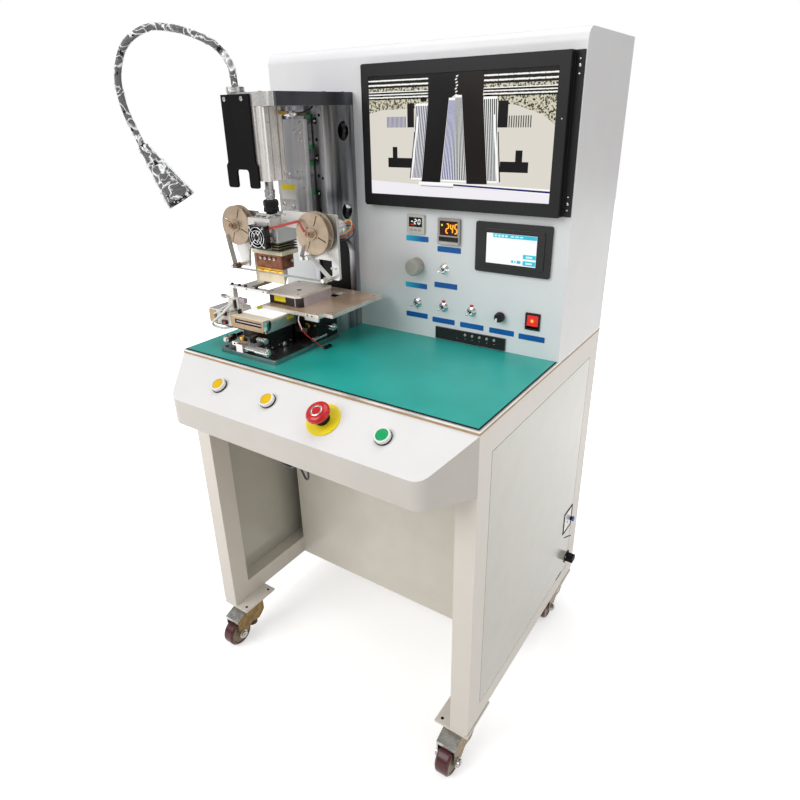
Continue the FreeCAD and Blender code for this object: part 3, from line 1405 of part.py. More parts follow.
def micrometers():
    """Where each micrometer stands: place, direction, barrel length and thimble length."""
    return {
        "X": ("stage_x + 10", "base_front - 6", "base_sheet + stage_level + 5.5", "+X", "30", "36"),
        "Y": ("base_left + 9", "stage_y - 14", "base_sheet + stage_level / 2 + 9", "-Y", "20", "28"),
        "Table": ("rear_stage_x + rear_stage_side / 2", "rear_stage_y - 6",
        "bench_low - table_travel - 14", "+X", "8", "18"),
    }


def micrometer_barrel(name):
    """The fixed barrel, bored for its spindle, and the block that grips it."""
    x, y, z, along, barrel, _ = micrometers()[name]
    bored = turned(f"Barrel{name}", [
        ("spindle_round + axle_gap", "0"), ("barrel_round", "0"), ("barrel_round", barrel),
        ("spindle_round + axle_gap", barrel)], x, y, z, along)
    pieces = [bored]
    if name == "X":
        pieces.append(block("GripX", (f"{x} - 16", f"{x} + 2"), (f"{y} - 9", "base_front + 4"),
            (f"{z} - 9", f"{z} + 8")))
    if name == "Y":
        pieces.append(block("GripY", (f"{x} - 9", f"{x} + 9"), (f"{y} - 2", f"{y} + 14"), ("base_sheet",
            f"{z} + 8")))
    if name != "Table":
        pieces = [cut(f"BarrelBored{name}", fuse(f"BarrelGrip{name}", pieces), [spindle_hole(name)])]
    return pieces


def spindle_hole(name):
    """The hole that keeps a micrometer's spindle clear of its grip."""
    x, y, z, along, barrel, _ = micrometers()[name]
    return turned(f"SpindleHole{name}", [
        ("0", "-8"), ("spindle_round + axle_gap", "-8"), ("spindle_round + axle_gap", barrel), ("0",
        barrel)],
        x, y, z, along)


def make_thimble(name):
    """The turning part of a micrometer: its spindle and its knurled sleeve."""
    x, y, z, along, barrel, sleeve = micrometers()[name]
    start = f"{barrel} + running_gap"
    end = f"{barrel} + {sleeve}"
    keep(f"thimble_{name.lower()}", turned(f"Thimble{name}", [
        ("0", "1"), ("spindle_round", "1"), ("spindle_round", start), ("thimble_round - 1.2", start),
        ("thimble_round", f"{start} + 3"), ("thimble_round", f"{end} - 2"), ("thimble_round - 1.5", end),
        ("0", end)],
        x, y, z, along))


def lamp_frame():
    """The lamp's own upright plane: it leans away from the press, to the front and the left."""
    return Vector(-0.821, -0.571, 0)


def lamp_point(across, up):
    """A point of the lamp in document coordinates."""
    base = Vector(number(f"{DATUM[0]} + lamp_x"), number(f"{DATUM[1]} + lamp_y"), number(f"{DATUM[2]}"))
    return base + lamp_frame() * across + Vector(0, 0, up)


LAMP_ROUTE = (
    (0, 496), (2, 534), (26, 566), (82, 590), (142, 597), (190, 570), (212, 518), (208, 462), (186, 400),
)


def rounded_route(points):
    """Straight runs joined by tangent arcs, as one wire."""
    edges = []
    start = points[0]
    for before, corner, after in zip(points, points[1:], points[2:]):
        into = (corner - before).normalize()
        out = (after - corner).normalize()
        turn = into.getAngle(out)
        reach = 0.45 * min((corner - before).Length, (after - corner).Length)
        first = corner - into * reach
        last = corner + out * reach
        middle_way = (out - into).normalize()
        radius = reach / math.tan(turn / 2)
        middle = corner + middle_way * (radius / math.cos(turn / 2) - radius)
        edges.append(Part.LineSegment(start, first).toShape())
        edges.append(Part.Arc(first, middle, last).toShape())
        start = last
    edges.append(Part.LineSegment(start, points[-1]).toShape())
    return Part.Wire(edges)


def make_lamp():
    """The gooseneck lamp: a bent neck on a screwed foot, and a conical head."""
    points = [lamp_point(across, up) for across, up in LAMP_ROUTE]
    path = rounded_route(points)
    ring = Part.Wire(Part.Circle(points[0], Vector(0, 0, 1), number("neck_radius")).toShape())
    sweep = path.makePipeShell([ring], True, False)
    foot_height = number("lamp_foot_height")
    base = lamp_point(0, number("column_height + head_plate"))
    foot = Part.makeCylinder(number("lamp_foot_radius"), foot_height, base + Vector(0, 0, 0.3))
    ball = Part.makeSphere(number("lamp_ball"), points[-1])
    neck = doc.addObject("Part::Feature", "LampNeck")
    neck.Shape = foot.fuse([sweep, ball]).removeSplitter()
    keep("lamp_neck", neck)
    end = points[-1]
    aim = (lamp_point(128, 292) - lamp_point(186, 393)).normalize()
    socket = number("lamp_ball + running_gap")
    rim = socket * math.sin(math.acos(1 / socket))
    inner = number("hood_radius - hood_wall")
    length = number("hood_length")
    profile = [(number("hood_neck"), 1), (number("hood_neck"), 14), (number("hood_radius"), length),
               (inner, length), (inner, length - 8), (0, length - 8), (0, socket)]
    corners = [Vector(radius, 0, height) for radius, height in profile]
    wall = Part.makePolygon([Vector(rim, 0, 1), *corners])
    middle = Vector(socket * math.sin(math.pi / 5), 0, socket * math.cos(math.pi / 5))
    cup = Part.Arc(Vector(0, 0, socket), middle, Vector(rim, 0, 1)).toShape()
    shade = Part.Face(Part.Wire([*wall.Edges, cup])).revolve(Vector(), Vector(0, 0, 1), 360)
    head = doc.addObject("Part::Feature", "LampHead")
    head.Shape = shade
    head.Placement = Placement(end, Rotation(Vector(0, 0, 1), aim))
    keep("lamp_head", head)


def check_document():
    """Stop if an object failed or a sub-part is empty or broken."""
    doc.recompute()
    for item in doc.Objects:
        bad = [state for state in item.State if state in ("Invalid", "Error")]
        if bad:
            raise RuntimeError(f"{item.Name} is {bad}")
    for label, item in nodes.items():
        if item.Shape.isNull() or not item.Shape.isValid():
            raise RuntimeError(f"{label} has no valid shape")
        if not item.Shape.Solids:
            raise RuntimeError(f"{label} holds no solid")


def export_nodes():
    """One file for each sub-part."""
    os.makedirs("parts", exist_ok=True)
    for label, item in nodes.items():
        item.Shape.exportStep(f"parts/{label}.step")


fill_sheet()
make_frame()
make_panels()
make_console()
make_table()
make_upper_cabinet()
make_monitor()
make_instruments()
make_panel_switches()
make_panel_controls()
make_buttons()
make_castors()
make_column()
make_cylinder()
make_sign_plate()
make_press_slide()
make_head_bracket()
make_hot_end()
make_fan()
make_reels()
make_stage()
make_lamp()
check_document()
export_nodes()
whole = Part.makeCompound([item.Shape for item in nodes.values()])
print(f"{len(nodes)} sub-parts, box {whole.BoundBox}")
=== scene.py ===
"""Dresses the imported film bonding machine: finishes, fine parts, wiring, light and camera.

Lengths in the classes are millimetres. Places are measured from one datum, the middle of
the table's front edge at the height of the work mat, with X to the operator's right,
Y to the back and Z up. The Datum class turns them into the frame's metres.
"""
import json
import logging
import math
from dataclasses import dataclass, field
from enum import Enum
from typing import Callable, Optional, Sequence

import bpy
from mathutils import Matrix, Vector


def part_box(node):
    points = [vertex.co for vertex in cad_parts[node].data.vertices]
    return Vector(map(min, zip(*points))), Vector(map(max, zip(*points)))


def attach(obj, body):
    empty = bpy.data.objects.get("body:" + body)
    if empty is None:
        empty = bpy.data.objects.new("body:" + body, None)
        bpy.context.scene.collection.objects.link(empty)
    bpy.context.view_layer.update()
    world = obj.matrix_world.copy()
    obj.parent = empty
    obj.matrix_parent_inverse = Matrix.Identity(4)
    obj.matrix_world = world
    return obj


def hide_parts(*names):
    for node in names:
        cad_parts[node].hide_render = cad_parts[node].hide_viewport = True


LOG = logging.getLogger("bonding_machine")
MM = 0.001
Point = tuple[float, float, float]
Where = Callable[[Vector, Vector], bool]
Piece = bpy.types.Object
Outline = Sequence[tuple[float, float]]

SMOOTH_ANGLE = 40.0
SHARP_ANGLE = 35.0
FLAT_ANGLE = 0.6
WELD_M = 1e-6
FACE_WEIGHT = 80
BRUSHED_LENGTH = 40.0
REFLECTION_STREAK_SHARE = 0.06
UNLIT_GLASS = "#0A0A0B"


class Axis(Enum):
    """Directions that turned parts point in."""

    RIGHT = (1.0, 0.0, 0.0)
    LEFT = (-1.0, 0.0, 0.0)
    BACK = (0.0, 1.0, 0.0)
    FRONT = (0.0, -1.0, 0.0)
    UP = (0.0, 0.0, 1.0)

    @property
    def vector(self) -> Vector:
        """The direction as a unit vector."""
        return Vector(self.value)


class Grain(Enum):
    """How a surface was worked, which gives its fine pattern."""

    EVEN = "even"
    BRUSHED_X = "brushed along X"
    BRUSHED_Y = "brushed along Y"
    BRUSHED_Z = "brushed along Z"


def linear_colour(code: str) -> tuple[float, float, float, float]:
    """Turn an sRGB hex value into linear light.

    Args:
        code: A colour such as "#E6E7E9".

    Returns:
        Red, green, blue and alpha in linear light.
    """
    parts = [int(code[start:start + 2], 16) / 255 for start in (1, 3, 5)]
    red, green, blue = (part / 12.92 if part <= 0.04045 else ((part + 0.055) / 1.055) ** 2.4
                        for part in parts)
    return red, green, blue, 1.0


def add_node(tree: bpy.types.NodeTree, kind: str, settings: Optional[dict] = None,
             links: Optional[dict] = None) -> bpy.types.Node:
    """Add one shader node.

    Args:
        tree: The material's or world's node tree.
        kind: The node's type name.
        settings: Values by property name or by input name or number.
        links: Sockets that feed the node, by input name or number.

    Returns:
        The new node.
    """
    node = tree.nodes.new(kind)
    for name, value in (settings or {}).items():
        if isinstance(name, str) and hasattr(node, name):
            setattr(node, name, value)
        else:
            node.inputs[name].default_value = value
    for name, socket in (links or {}).items():
        tree.links.new(socket, node.inputs[name])
    return node


def blank_tree(material: bpy.types.Material) -> bpy.types.NodeTree:
    """Switch a material to nodes and empty its tree."""
    material.use_nodes = True
    material.node_tree.nodes.clear()
    return material.node_tree


@dataclass(frozen=True)
class Surface:
    """What every surface shares: a name, and a material that is made once from its shader."""

    name: str

    def build(self) -> bpy.types.Material:
        """Make the Blender material, or find it where it was made before.

        Returns:
            The material that all pieces of this surface share.
        """
        known = bpy.data.materials.get(self.name)
        if known:
            return known
        material = bpy.data.materials.new(self.name)
        tree = blank_tree(material)
        place = add_node(tree, "ShaderNodeTexCoord").outputs["Object"]
        shader = self.shade(tree, place)
        add_node(tree, "ShaderNodeOutputMaterial", links={"Surface": shader.outputs[0]})
        return material

    def shade(self, tree: bpy.types.NodeTree, place: bpy.types.NodeSocket) -> bpy.types.Node:
        """Add this kind of surface's nodes.

        Args:
            tree: The material's tree.
            place: The socket that gives each point's place in the object.

        Returns:
            The shader node.
        """
        raise NotImplementedError


@dataclass(frozen=True)
class Finish(Surface):
    """A surface: what it is made of and how it was worked.

    The base colour drifts a little between two tones, and the grain gives both a bump
    and a change of roughness, so that highlights break up as they do on the real thing.
    Grain sizes start from real ones: orange peel about 2 mm, spark erosion and a grinding
    lay well under 0.5 mm. What would be too fine to show is drawn at 0.6 to 0.9 mm.
    """

    colour: str
    tone: str = ""
    metallic: float = 0.0
    roughness: float = 0.5
    spread: float = 0.06
    grain: Grain = Grain.EVEN
    grain_mm: float = 1.2
    drift_mm: float = 60.0
    bump: float = 0.08
    bump_mm: float = 0.05
    coat: float = 0.0
    specular: float = 0.5
    # Upright light and dark bands between the two tones are painted reflections.
    reflection_streaks: bool = False

    def stretch(self) -> Point:
        """Scale of the grain along X, Y and Z, in cycles per metre."""
        fine = 1000.0 / self.grain_mm
        long = fine / BRUSHED_LENGTH
        return {
            Grain.EVEN: (fine, fine, fine),
            Grain.BRUSHED_X: (long, fine, fine),
            Grain.BRUSHED_Y: (fine, long, fine),
            Grain.BRUSHED_Z: (fine, fine, long),
        }[self.grain]

    def shade(self, tree: bpy.types.NodeTree, place: bpy.types.NodeSocket) -> bpy.types.Node:
        """A two-tone ground whose grain drives the bump and the roughness."""
        scaled = add_node(tree, "ShaderNodeMapping", {"Scale": self.stretch()}, {"Vector": place})
        grain = add_node(tree, "ShaderNodeTexNoise", {"Scale": 1.0, "Detail": 3.0},
                         {"Vector": scaled.outputs[0]})
        wide = 1000.0 / self.drift_mm
        # Painted reflections: the tone drift is drawn out into long upright bands.
        slow = wide * REFLECTION_STREAK_SHARE if self.reflection_streaks else wide
        spread = add_node(tree, "ShaderNodeMapping", {"Scale": (wide, wide, slow)},
                          {"Vector": place})
        drift = add_node(tree, "ShaderNodeTexNoise", {"Scale": 1.0, "Detail": 2.0},
                         {"Vector": spread.outputs[0]})
        sharp = add_node(tree, "ShaderNodeMapRange", {"From Min": 0.36, "From Max": 0.64},
                         {"Value": drift.outputs["Fac"]})
        mix = add_node(tree, "ShaderNodeMix", {"data_type": "RGBA", 6: linear_colour(self.colour),
                                               7: linear_colour(self.tone or self.colour)},
                       {0: sharp.outputs[0]})
        rough = add_node(tree, "ShaderNodeMapRange",
                         {"To Min": max(0.02, self.roughness - self.spread),
                          "To Max": min(1.0, self.roughness + self.spread)},
                         {"Value": grain.outputs["Fac"]})
        bump = add_node(tree, "ShaderNodeBump",
                        {"Strength": self.bump, "Distance": self.bump_mm * MM},
                        {"Height": grain.outputs["Fac"]})
        return add_node(tree, "ShaderNodeBsdfPrincipled", {
            "Metallic": self.metallic, "Coat Weight": self.coat, "Coat Roughness": 0.08,
            "Specular IOR Level": self.specular}, {
            "Base Color": mix.outputs[2], "Roughness": rough.outputs[0], "Normal": bump.outputs[0]})


@dataclass(frozen=True)
class Glow(Surface):
    """A lit surface, such as a display or a lamp's lens."""

    colour: str
    strength: float = 1.0
    roughness: float = 0.25

    def shade(self, tree: bpy.types.NodeTree, place: bpy.types.NodeSocket) -> bpy.types.Node:
        """Dark glass that gives light of one colour."""
        drift = add_node(tree, "ShaderNodeTexNoise", {"Scale": 12.0, "Detail": 1.0},
                         {"Vector": place})
        rough = add_node(tree, "ShaderNodeMapRange",
                         {"To Min": self.roughness - 0.05, "To Max": self.roughness + 0.05},
                         {"Value": drift.outputs["Fac"]})
        return add_node(tree, "ShaderNodeBsdfPrincipled", {
            "Base Color": linear_colour(UNLIT_GLASS), "Specular IOR Level": 0.2,
            "Emission Color": linear_colour(self.colour), "Emission Strength": self.strength},
            {"Roughness": rough.outputs[0]})


@dataclass(frozen=True)
class ClearFilm(Surface):
    """Thin clear wrapping film, with painted highlights along its creases and a faint painted glow.
    """

    colour: str
    cover: float = 0.3
    crease_mm: float = 9.0

    def shade(self, tree: bpy.types.NodeTree, place: bpy.types.NodeSocket) -> bpy.types.Node:
        """Mostly clear, with opaque white creases along the noise's middle level as painted
        highlights, and a faint emission as painted light.
        """
        crease = add_node(tree, "ShaderNodeTexNoise", {
            "Scale": 1000.0 / self.crease_mm, "Detail": 1.2, "Distortion": 0.9}, {"Vector": place})
        sharp = add_node(tree, "ShaderNodeMapRange", {"From Min": 0.38, "From Max": 0.62},
                         {"Value": crease.outputs["Fac"]})
        apart = add_node(tree, "ShaderNodeMath", {"operation": "SUBTRACT", 1: 0.5},
                         {0: crease.outputs["Fac"]})
        highlight_folds = add_node(tree, "ShaderNodeMath", {"operation": "ABSOLUTE"}, {0: apart.outputs[0]})
        cover = add_node(tree, "ShaderNodeMapRange",
                         {"From Min": 0.0, "From Max": 0.05, "To Min": 0.95, "To Max": self.cover},
                         {"Value": highlight_folds.outputs[0]})
        bump = add_node(tree, "ShaderNodeBump", {"Strength": 0.9, "Distance": 0.003},
                        {"Height": sharp.outputs[0]})
        # The white creases are painted highlights, and the faint emission is painted light that
        # keeps the film white in shade.
        highlight_white = linear_colour(self.colour)
        return add_node(tree, "ShaderNodeBsdfPrincipled", {
            "Base Color": highlight_white, "Roughness": 0.2, "Coat Weight": 0.6, "Coat Roughness": 0.05,
            "Emission Color": highlight_white, "Emission Strength": 0.22},
            {"Alpha": cover.outputs[0], "Normal": bump.outputs[0]})


@dataclass(frozen=True)
class Speckle(Surface):
    """A lit field of dark grains on a pale ground."""

    pale: str
    dark: str
    strength: float = 0.5
    grain_mm: float = 3.2

    def shade(self, tree: bpy.types.NodeTree, place: bpy.types.NodeSocket) -> bpy.types.Node:
        """Cells broken up by noise, picked out as dark grains."""
        cells = add_node(tree, "ShaderNodeTexVoronoi", {"Scale": 1000.0 / self.grain_mm},
                         {"Vector": place})
        cloud = add_node(tree, "ShaderNodeTexNoise",
                         {"Scale": 700.0 / self.grain_mm, "Detail": 4.0}, {"Vector": place})
        summed = add_node(tree, "ShaderNodeMath", {"operation": "MULTIPLY"}, {
            0: cells.outputs["Distance"], 1: cloud.outputs["Fac"]})
        picked = add_node(tree, "ShaderNodeMapRange", {"From Min": 0.16, "From Max": 0.3},
                          {"Value": summed.outputs[0]})
        mix = add_node(tree, "ShaderNodeMix", {
            "data_type": "RGBA", 6: linear_colour(self.dark), 7: linear_colour(self.pale)},
            {0: picked.outputs[0]})
        return add_node(tree, "ShaderNodeBsdfPrincipled", {
            "Base Color": linear_colour(UNLIT_GLASS), "Roughness": 0.25, "Specular IOR Level": 0.2,
            "Emission Strength": self.strength}, {"Emission Color": mix.outputs[2]})


@dataclass(frozen=True)
class Fade(Surface):
    """Printed film whose colour runs from one tone to another from left to right."""

    left: str
    right: str
    start: float = 0.016
    end: float = 0.056
    metallic: float = 0.0
    roughness: float = 0.34

    def shade(self, tree: bpy.types.NodeTree, place: bpy.types.NodeSocket) -> bpy.types.Node:
        """One tone mixed into the other along X."""
        split = add_node(tree, "ShaderNodeSeparateXYZ", links={"Vector": place})
        along = add_node(tree, "ShaderNodeMapRange", {"From Min": self.start, "From Max": self.end},
                         {"Value": split.outputs["X"]})
        mix = add_node(tree, "ShaderNodeMix", {
            "data_type": "RGBA", 6: linear_colour(self.left), 7: linear_colour(self.right)},
            {0: along.outputs[0]})
        return add_node(tree, "ShaderNodeBsdfPrincipled", {
            "Roughness": self.roughness, "Metallic": self.metallic, "Specular IOR Level": 0.3},
            {"Base Color": mix.outputs[2]})


class Finishes:
    """Every finish on the machine, named for what the real surface is; a few are darker copies of a
    paint that stand for painted shade.
    """

    # Powder-coated sheet steel: a soft orange peel under a satin gloss.
    cabinet_white = Finish("powder_coat_cool_white", "#E7E7E9", "#E5E5E7", roughness=0.34,
                           grain_mm=2.2, bump=0.05)
    console_white = Finish("powder_coat_bright_white", "#E3E2E1", "#E1E0DF", roughness=0.32,
                           grain_mm=2.2, bump=0.05)
    frame_white = Finish("powder_coat_warm_white", "#E2DCD4", "#E0DAD1", roughness=0.36,
                         grain_mm=2.0, bump=0.06)
    # Black powder coat: a fine sand texture that stays dull.
    bracket_black = Finish("powder_coat_black", "#060506", "#090809", roughness=0.6, grain_mm=0.9,
                           bump=0.12, specular=0.12)
    # Antistatic mat: two-layer rubber with a leathery satin face.
    mat_green = Finish("antistatic_rubber_green", "#189C91", "#22A89D", roughness=0.36, spread=0.08,
                       grain_mm=1.6, drift_mm=120, bump=0.1)
    mat_edge = Finish("antistatic_rubber_black", "#060707", roughness=0.6, specular=0.25)
    edge_strip = Finish("aluminium_edging", "#D9D8D6", "#C9C6C2", metallic=0.55, roughness=0.35,
                        grain=Grain.BRUSHED_X)
    edge_film = Finish("kraft_protective_film", "#B99A73", "#A98A63", roughness=0.55, drift_mm=25)
    # Ground tool steel: mid grey, with a fine upright lay, and soft upright light and dark bands
    # that are painted reflections.
    ground_steel = Finish("ground_tool_steel", "#C2C2C6", "#5E5E62", metallic=0.85, roughness=0.3,
                          spread=0.08, grain=Grain.BRUSHED_Z, grain_mm=0.8, drift_mm=16, bump=0.1,
                          reflection_streaks=True)
    base_steel = Finish("ground_base_steel", "#A9ABAD", "#8E9193", metallic=1.0, roughness=0.28,
                        spread=0.08, grain=Grain.BRUSHED_X, grain_mm=0.8, bump=0.08)
    bright_steel = Finish("polished_rail_steel", "#CFCDCB", "#B8B6B4", metallic=1.0, roughness=0.18,
                          grain=Grain.BRUSHED_Z, grain_mm=0.6, bump=0.05)
    # Clear-anodised aluminium: pale, satin and slightly warm.
    pale_aluminium = Finish("clear_anodised_aluminium", "#DAD8D5", "#CFCCC8", metallic=0.85,
                            roughness=0.36, grain_mm=0.7, bump=0.05)
    # Its upright light and dark bands are painted reflections.
    cylinder_aluminium = Finish("extruded_anodised_aluminium", "#F0ECE8", "#D8D3CE", metallic=0.8,
                                roughness=0.28, grain=Grain.BRUSHED_Z, grain_mm=0.8, drift_mm=14,
                                bump=0.06, reflection_streaks=True)
    bench_aluminium = Finish("warm_anodised_aluminium", "#E8CFB8", "#D0B094", metallic=0.45,
                             roughness=0.3, grain=Grain.BRUSHED_Y, grain_mm=0.8, drift_mm=60)
    hood_grey = Finish("hard_anodised_grey", "#C4BAC0", "#ADA3A9", metallic=0.4, roughness=0.38,
                       drift_mm=50)
    dark_window = Finish("brown_black_anodised", "#211A17", "#2C2320", metallic=0.3, roughness=0.35)
    black_anodised = Finish("black_anodised_aluminium", "#101010", "#1B1A18", metallic=0.5,
                            roughness=0.34, grain_mm=0.8, bump=0.08)
    khaki_anodised = Finish("khaki_anodised_fins", "#6E6552", "#575040", metallic=0.6,
                            roughness=0.4)
    reel_tan = Finish("bronze_anodised_reel", "#B8A48F", "#A8957F", metallic=0.5, roughness=0.3,
                      drift_mm=24, grain_mm=0.8)
    copper_brown = Finish("oxidised_copper", "#8C5A43", "#6E4332", metallic=0.8, roughness=0.36,
                          drift_mm=14, grain_mm=1.4, bump=0.15)
    gold_plate = Finish("gold_plated_clamp", "#E2AE3A", "#F0C862", metallic=1.0, roughness=0.22,
                        drift_mm=12)
    tip_steel = Finish("polished_tip_alloy", "#DCD0B6", "#CFC2A6", metallic=0.5, roughness=0.3,
                       drift_mm=30)
    cream_board = Finish("cream_insulating_board", "#DDD5BD", "#CFC6AA", roughness=0.55,
                         drift_mm=20)
    chrome = Finish("bright_chrome", "#E2E2E2", "#D2D2D4", metallic=1.0, roughness=0.1, spread=0.03,
                    bump=0.02)
    zinc = Finish("bright_zinc_plate", "#C9C9C5", "#ACACA6", metallic=1.0, roughness=0.26,
                  drift_mm=12)
    # Yellow chromate: straw-coloured and patchy.
    chromate = Finish("yellow_chromate_zinc", "#8E7342", "#6E5A3A", metallic=0.85, roughness=0.3,
                      drift_mm=9)
    black_steel = Finish("blackened_steel", "#17171A", "#222226", metallic=0.7, roughness=0.34,
                         bump=0.1)
    brass = Finish("plain_brass", "#C9A24E", "#B8913F", metallic=1.0, roughness=0.25)
    # Polyurethane tread: wine red with a scuffed face.
    tread_red = Finish("polyurethane_wine_red", "#551A1C", "#461416", roughness=0.28, drift_mm=14,
                       bump=0.08)
    hub_cream = Finish("nylon_cream", "#94836A", "#837359", roughness=0.45)
    foot_rubber = Finish("rubber_foot_maroon", "#4A2018", "#3E1A14", roughness=0.5)
    # Moulded ABS: a fine spark-eroded texture.
    monitor_black = Finish("moulded_abs_black", "#0D0C0E", "#121114", roughness=0.42, grain_mm=0.7,
                           bump=0.1, specular=0.3)
    touch_black = Finish("moulded_abs_charcoal", "#1E1D1E", "#242325", roughness=0.46, grain_mm=0.8,
                         bump=0.12, specular=0.35)
    grey_plastic = Finish("moulded_abs_light_grey", "#C9C6BE", "#BDB9B0", roughness=0.46)
    silver_plastic = Finish("painted_abs_silver", "#A5A29C", "#8F8C86", metallic=0.4, roughness=0.4)
    gloss_black = Finish("gloss_black_abs", "#060607", "#0A0A0B", roughness=0.22, specular=0.35)
    knob_grey = Finish("ribbed_grey_nylon", "#B9B5AC", "#A9A59B", roughness=0.5, grain_mm=0.9)
    white_plastic = Finish("gloss_white_abs", "#EFEFEE", "#E6E6E4", roughness=0.28, coat=0.2)
    cap_yellow = Finish("amber_yellow_cap", "#E6BE10", "#DDB20A", roughness=0.3, specular=0.3)
    cap_green = Finish("green_cap", "#0FA964", "#0A9A58", roughness=0.3, specular=0.3)
    stop_red = Finish("signal_red_cap", "#C9161C", "#BC1117", roughness=0.28, coat=0.4,
                      specular=0.35)
    stop_yellow = Finish("signal_yellow_disc", "#F4E32A", "#EDD91F", roughness=0.4)
    rail_green = Finish("green_end_seal", "#1D9A46", "#17873C", roughness=0.45)
    seal_red = Finish("red_wiper_seal", "#B8281E", "#A3221A", roughness=0.45)
    label_blue = Finish("printed_film_blue", "#0B62AE", "#0858A2", roughness=0.35, specular=0.3)
    patch_yellow = Finish("yellow_masking_patch", "#F6E10C", "#EFD60A", roughness=0.5)
    mark_red = Finish("red_index_mark", "#B43A30", "#A33229", roughness=0.5)
    port_blue = Finish("blue_release_ring", "#2C5FC4", "#2453B0", roughness=0.35)
    port_orange = Finish("orange_dot", "#E0762A", "#D56A20", roughness=0.4)
    hose_dark = Finish("ribbed_hose_dark", "#141415", "#1E1E20", metallic=0.4, roughness=0.35,
                       specular=0.3)
    wire_red = Finish("pvc_wire_red", "#D22B23", "#C2241D", roughness=0.4)
    wire_black = Finish("pvc_wire_black", "#121213", "#1A1A1B", roughness=0.4)
    wire_yellow = Finish("pvc_wire_yellow", "#E5C22B", "#D9B522", roughness=0.4)
    tube_white = Finish("polyurethane_tube_clear_white", "#E9E9E6", "#DEDEDA", roughness=0.3,
                        coat=0.3)
    tape_film = Finish("translucent_release_tape", "#DAD9D5", "#CBCAC5", roughness=0.3)
    screen_speckle = Speckle("display_speckle", "#D2CDB6", "#1F1B10", 1.0)
    screen_tail = Glow("display_tail", "#150B09", 1.0)
    screen_violet_grey = Glow("display_violet_grey", "#4E4C66", 1.0)
    screen_foot = Glow("display_foot", "#EFECF2", 1.0)
    screen_navy = Glow("display_navy", "#23236A", 1.0)
    screen_pale_cyan = Glow("display_pale_cyan", "#D9F6FA", 1.0)
    screen_brown = Glow("display_brown", "#35100A", 1.0)
    rocker_halo = Glow("rocker_halo", "#F2672F", 0.9)
    # A darker copy of the panels' cream paint for their outer sides: painted shade.
    side_shade_cream = Finish("powder_coat_cream_painted_side_shade", "#C4C2B8", "#C1BFB3", roughness=0.2, grain_mm=2.2,
                        bump=0.04, coat=0.2)
    # A darker copy of the console's white paint for its faces that don't face up: painted shade.
    apron_shade_white = Finish("powder_coat_white_painted_apron_shade", "#CFCAC4", "#CCC7C0", roughness=0.34,
                         grain_mm=2.2, bump=0.05)
    panel_white = Finish("powder_coat_cream_white", "#E6E1D7", "#E3DED3", roughness=0.24,
                         grain_mm=2.2, bump=0.04, coat=0.2)
    rubber_black = Finish("moulded_rubber_black", "#080808", "#0E0E0E", roughness=0.55, bump=0.1,
                          specular=0.25)
    port_pane = Finish("clear_port_pane", "#E9EAE6", "#DEDFDB", roughness=0.2, coat=0.3)
    satin_ring = Finish("satin_turned_ring", "#C4C3C0", "#ADACA9", metallic=1.0, roughness=0.3,
                        drift_mm=14)
    label_fade = Fade("printed_film_fade", "#2DBBE0", "#0B62AE")
    meter_frame = Finish("painted_silver_bezel", "#A8A49E", "#989490", metallic=0.3, roughness=0.38)
    tab_red = Finish("red_moulded_tab", "#C92A22", "#B9231C", roughness=0.38, coat=0.2)
    tab_pale = Finish("pale_moulded_tab", "#E6D9C8", "#DCCDB9", roughness=0.42)
    key_silver = Finish("silver_painted_key", "#B9B7B2", "#A6A49F", metallic=0.5, roughness=0.35)
    top_steel = Finish("blued_plate_steel", "#5C5C64", "#4C4C54", metallic=0.7, roughness=0.3,
                       drift_mm=80, grain=Grain.BRUSHED_X, grain_mm=0.8, bump=0.08)
    edge_steel = Finish("ground_edge_steel", "#D2D0CE", "#BEBCBA", metallic=0.6, roughness=0.26,
                        drift_mm=40)
    column_back = Finish("black_oxide_steel", "#26262A", "#1E1E22", metallic=0.6, roughness=0.36,
                         drift_mm=80)
    hose_black = Finish("polyurethane_tube_black", "#141416", "#1C1C1F", roughness=0.34, coat=0.2)
    # Its upright light and dark bands are painted reflections.
    slide_steel = Finish("ground_slide_steel", "#D0CFD0", "#A9A9AC", metallic=0.75, roughness=0.3,
                         drift_mm=22, grain=Grain.BRUSHED_Z, grain_mm=0.7, reflection_streaks=True)
    truck_steel = Finish("bearing_truck_steel", "#D2D1CF", "#B0AFAD", metallic=0.8, roughness=0.24,
                         drift_mm=26)
    plate_white = Finish("painted_pale_plate", "#DEDCD6", "#D2CFC8", roughness=0.38, drift_mm=40)
    reel_core = Finish("turned_reel_core", "#D2C4B0", "#BFB09A", metallic=0.5, roughness=0.34,
                       drift_mm=18)
    copper_pin = Finish("bare_copper_pin", "#9A7C66", "#7C5E4A", metallic=0.9, roughness=0.3,
                        drift_mm=10)
    box_cream = Finish("cream_painted_box", "#D9CBB0", "#CFBFA2", roughness=0.45, drift_mm=30)
    box_front = Finish("tan_acrylic_front", "#C9AC86", "#BB9C74", roughness=0.4, drift_mm=25)
    box_cover = Finish("cream_cover_strip", "#EFE6D2", "#E5DAC2", roughness=0.4, drift_mm=30)
    teal_anodised = Finish("polished_guard_corner", "#7FA09B", "#4A6F6A", metallic=0.9,
                           roughness=0.2, drift_mm=8)
    housing_white = Finish("gloss_white_housing", "#E4E0D8", "#D8D3C9", roughness=0.34, coat=0.15,
                           drift_mm=30)
    post_tan = Finish("tan_anodised_post", "#A58E74", "#927B61", metallic=0.4, roughness=0.38,
                      drift_mm=24)
    brown_board = Finish("brown_phenolic_board", "#6A4A34", "#573A27", roughness=0.5, drift_mm=16)
    bench_edge = Finish("pale_milled_edge", "#E6DFD8", "#D3CAC1", metallic=0.5, roughness=0.28,
                        drift_mm=30)
    hood_lid = Finish("pale_anodised_lid", "#E6DAD0", "#D2C5BB", metallic=0.35, roughness=0.34,
                      drift_mm=50)
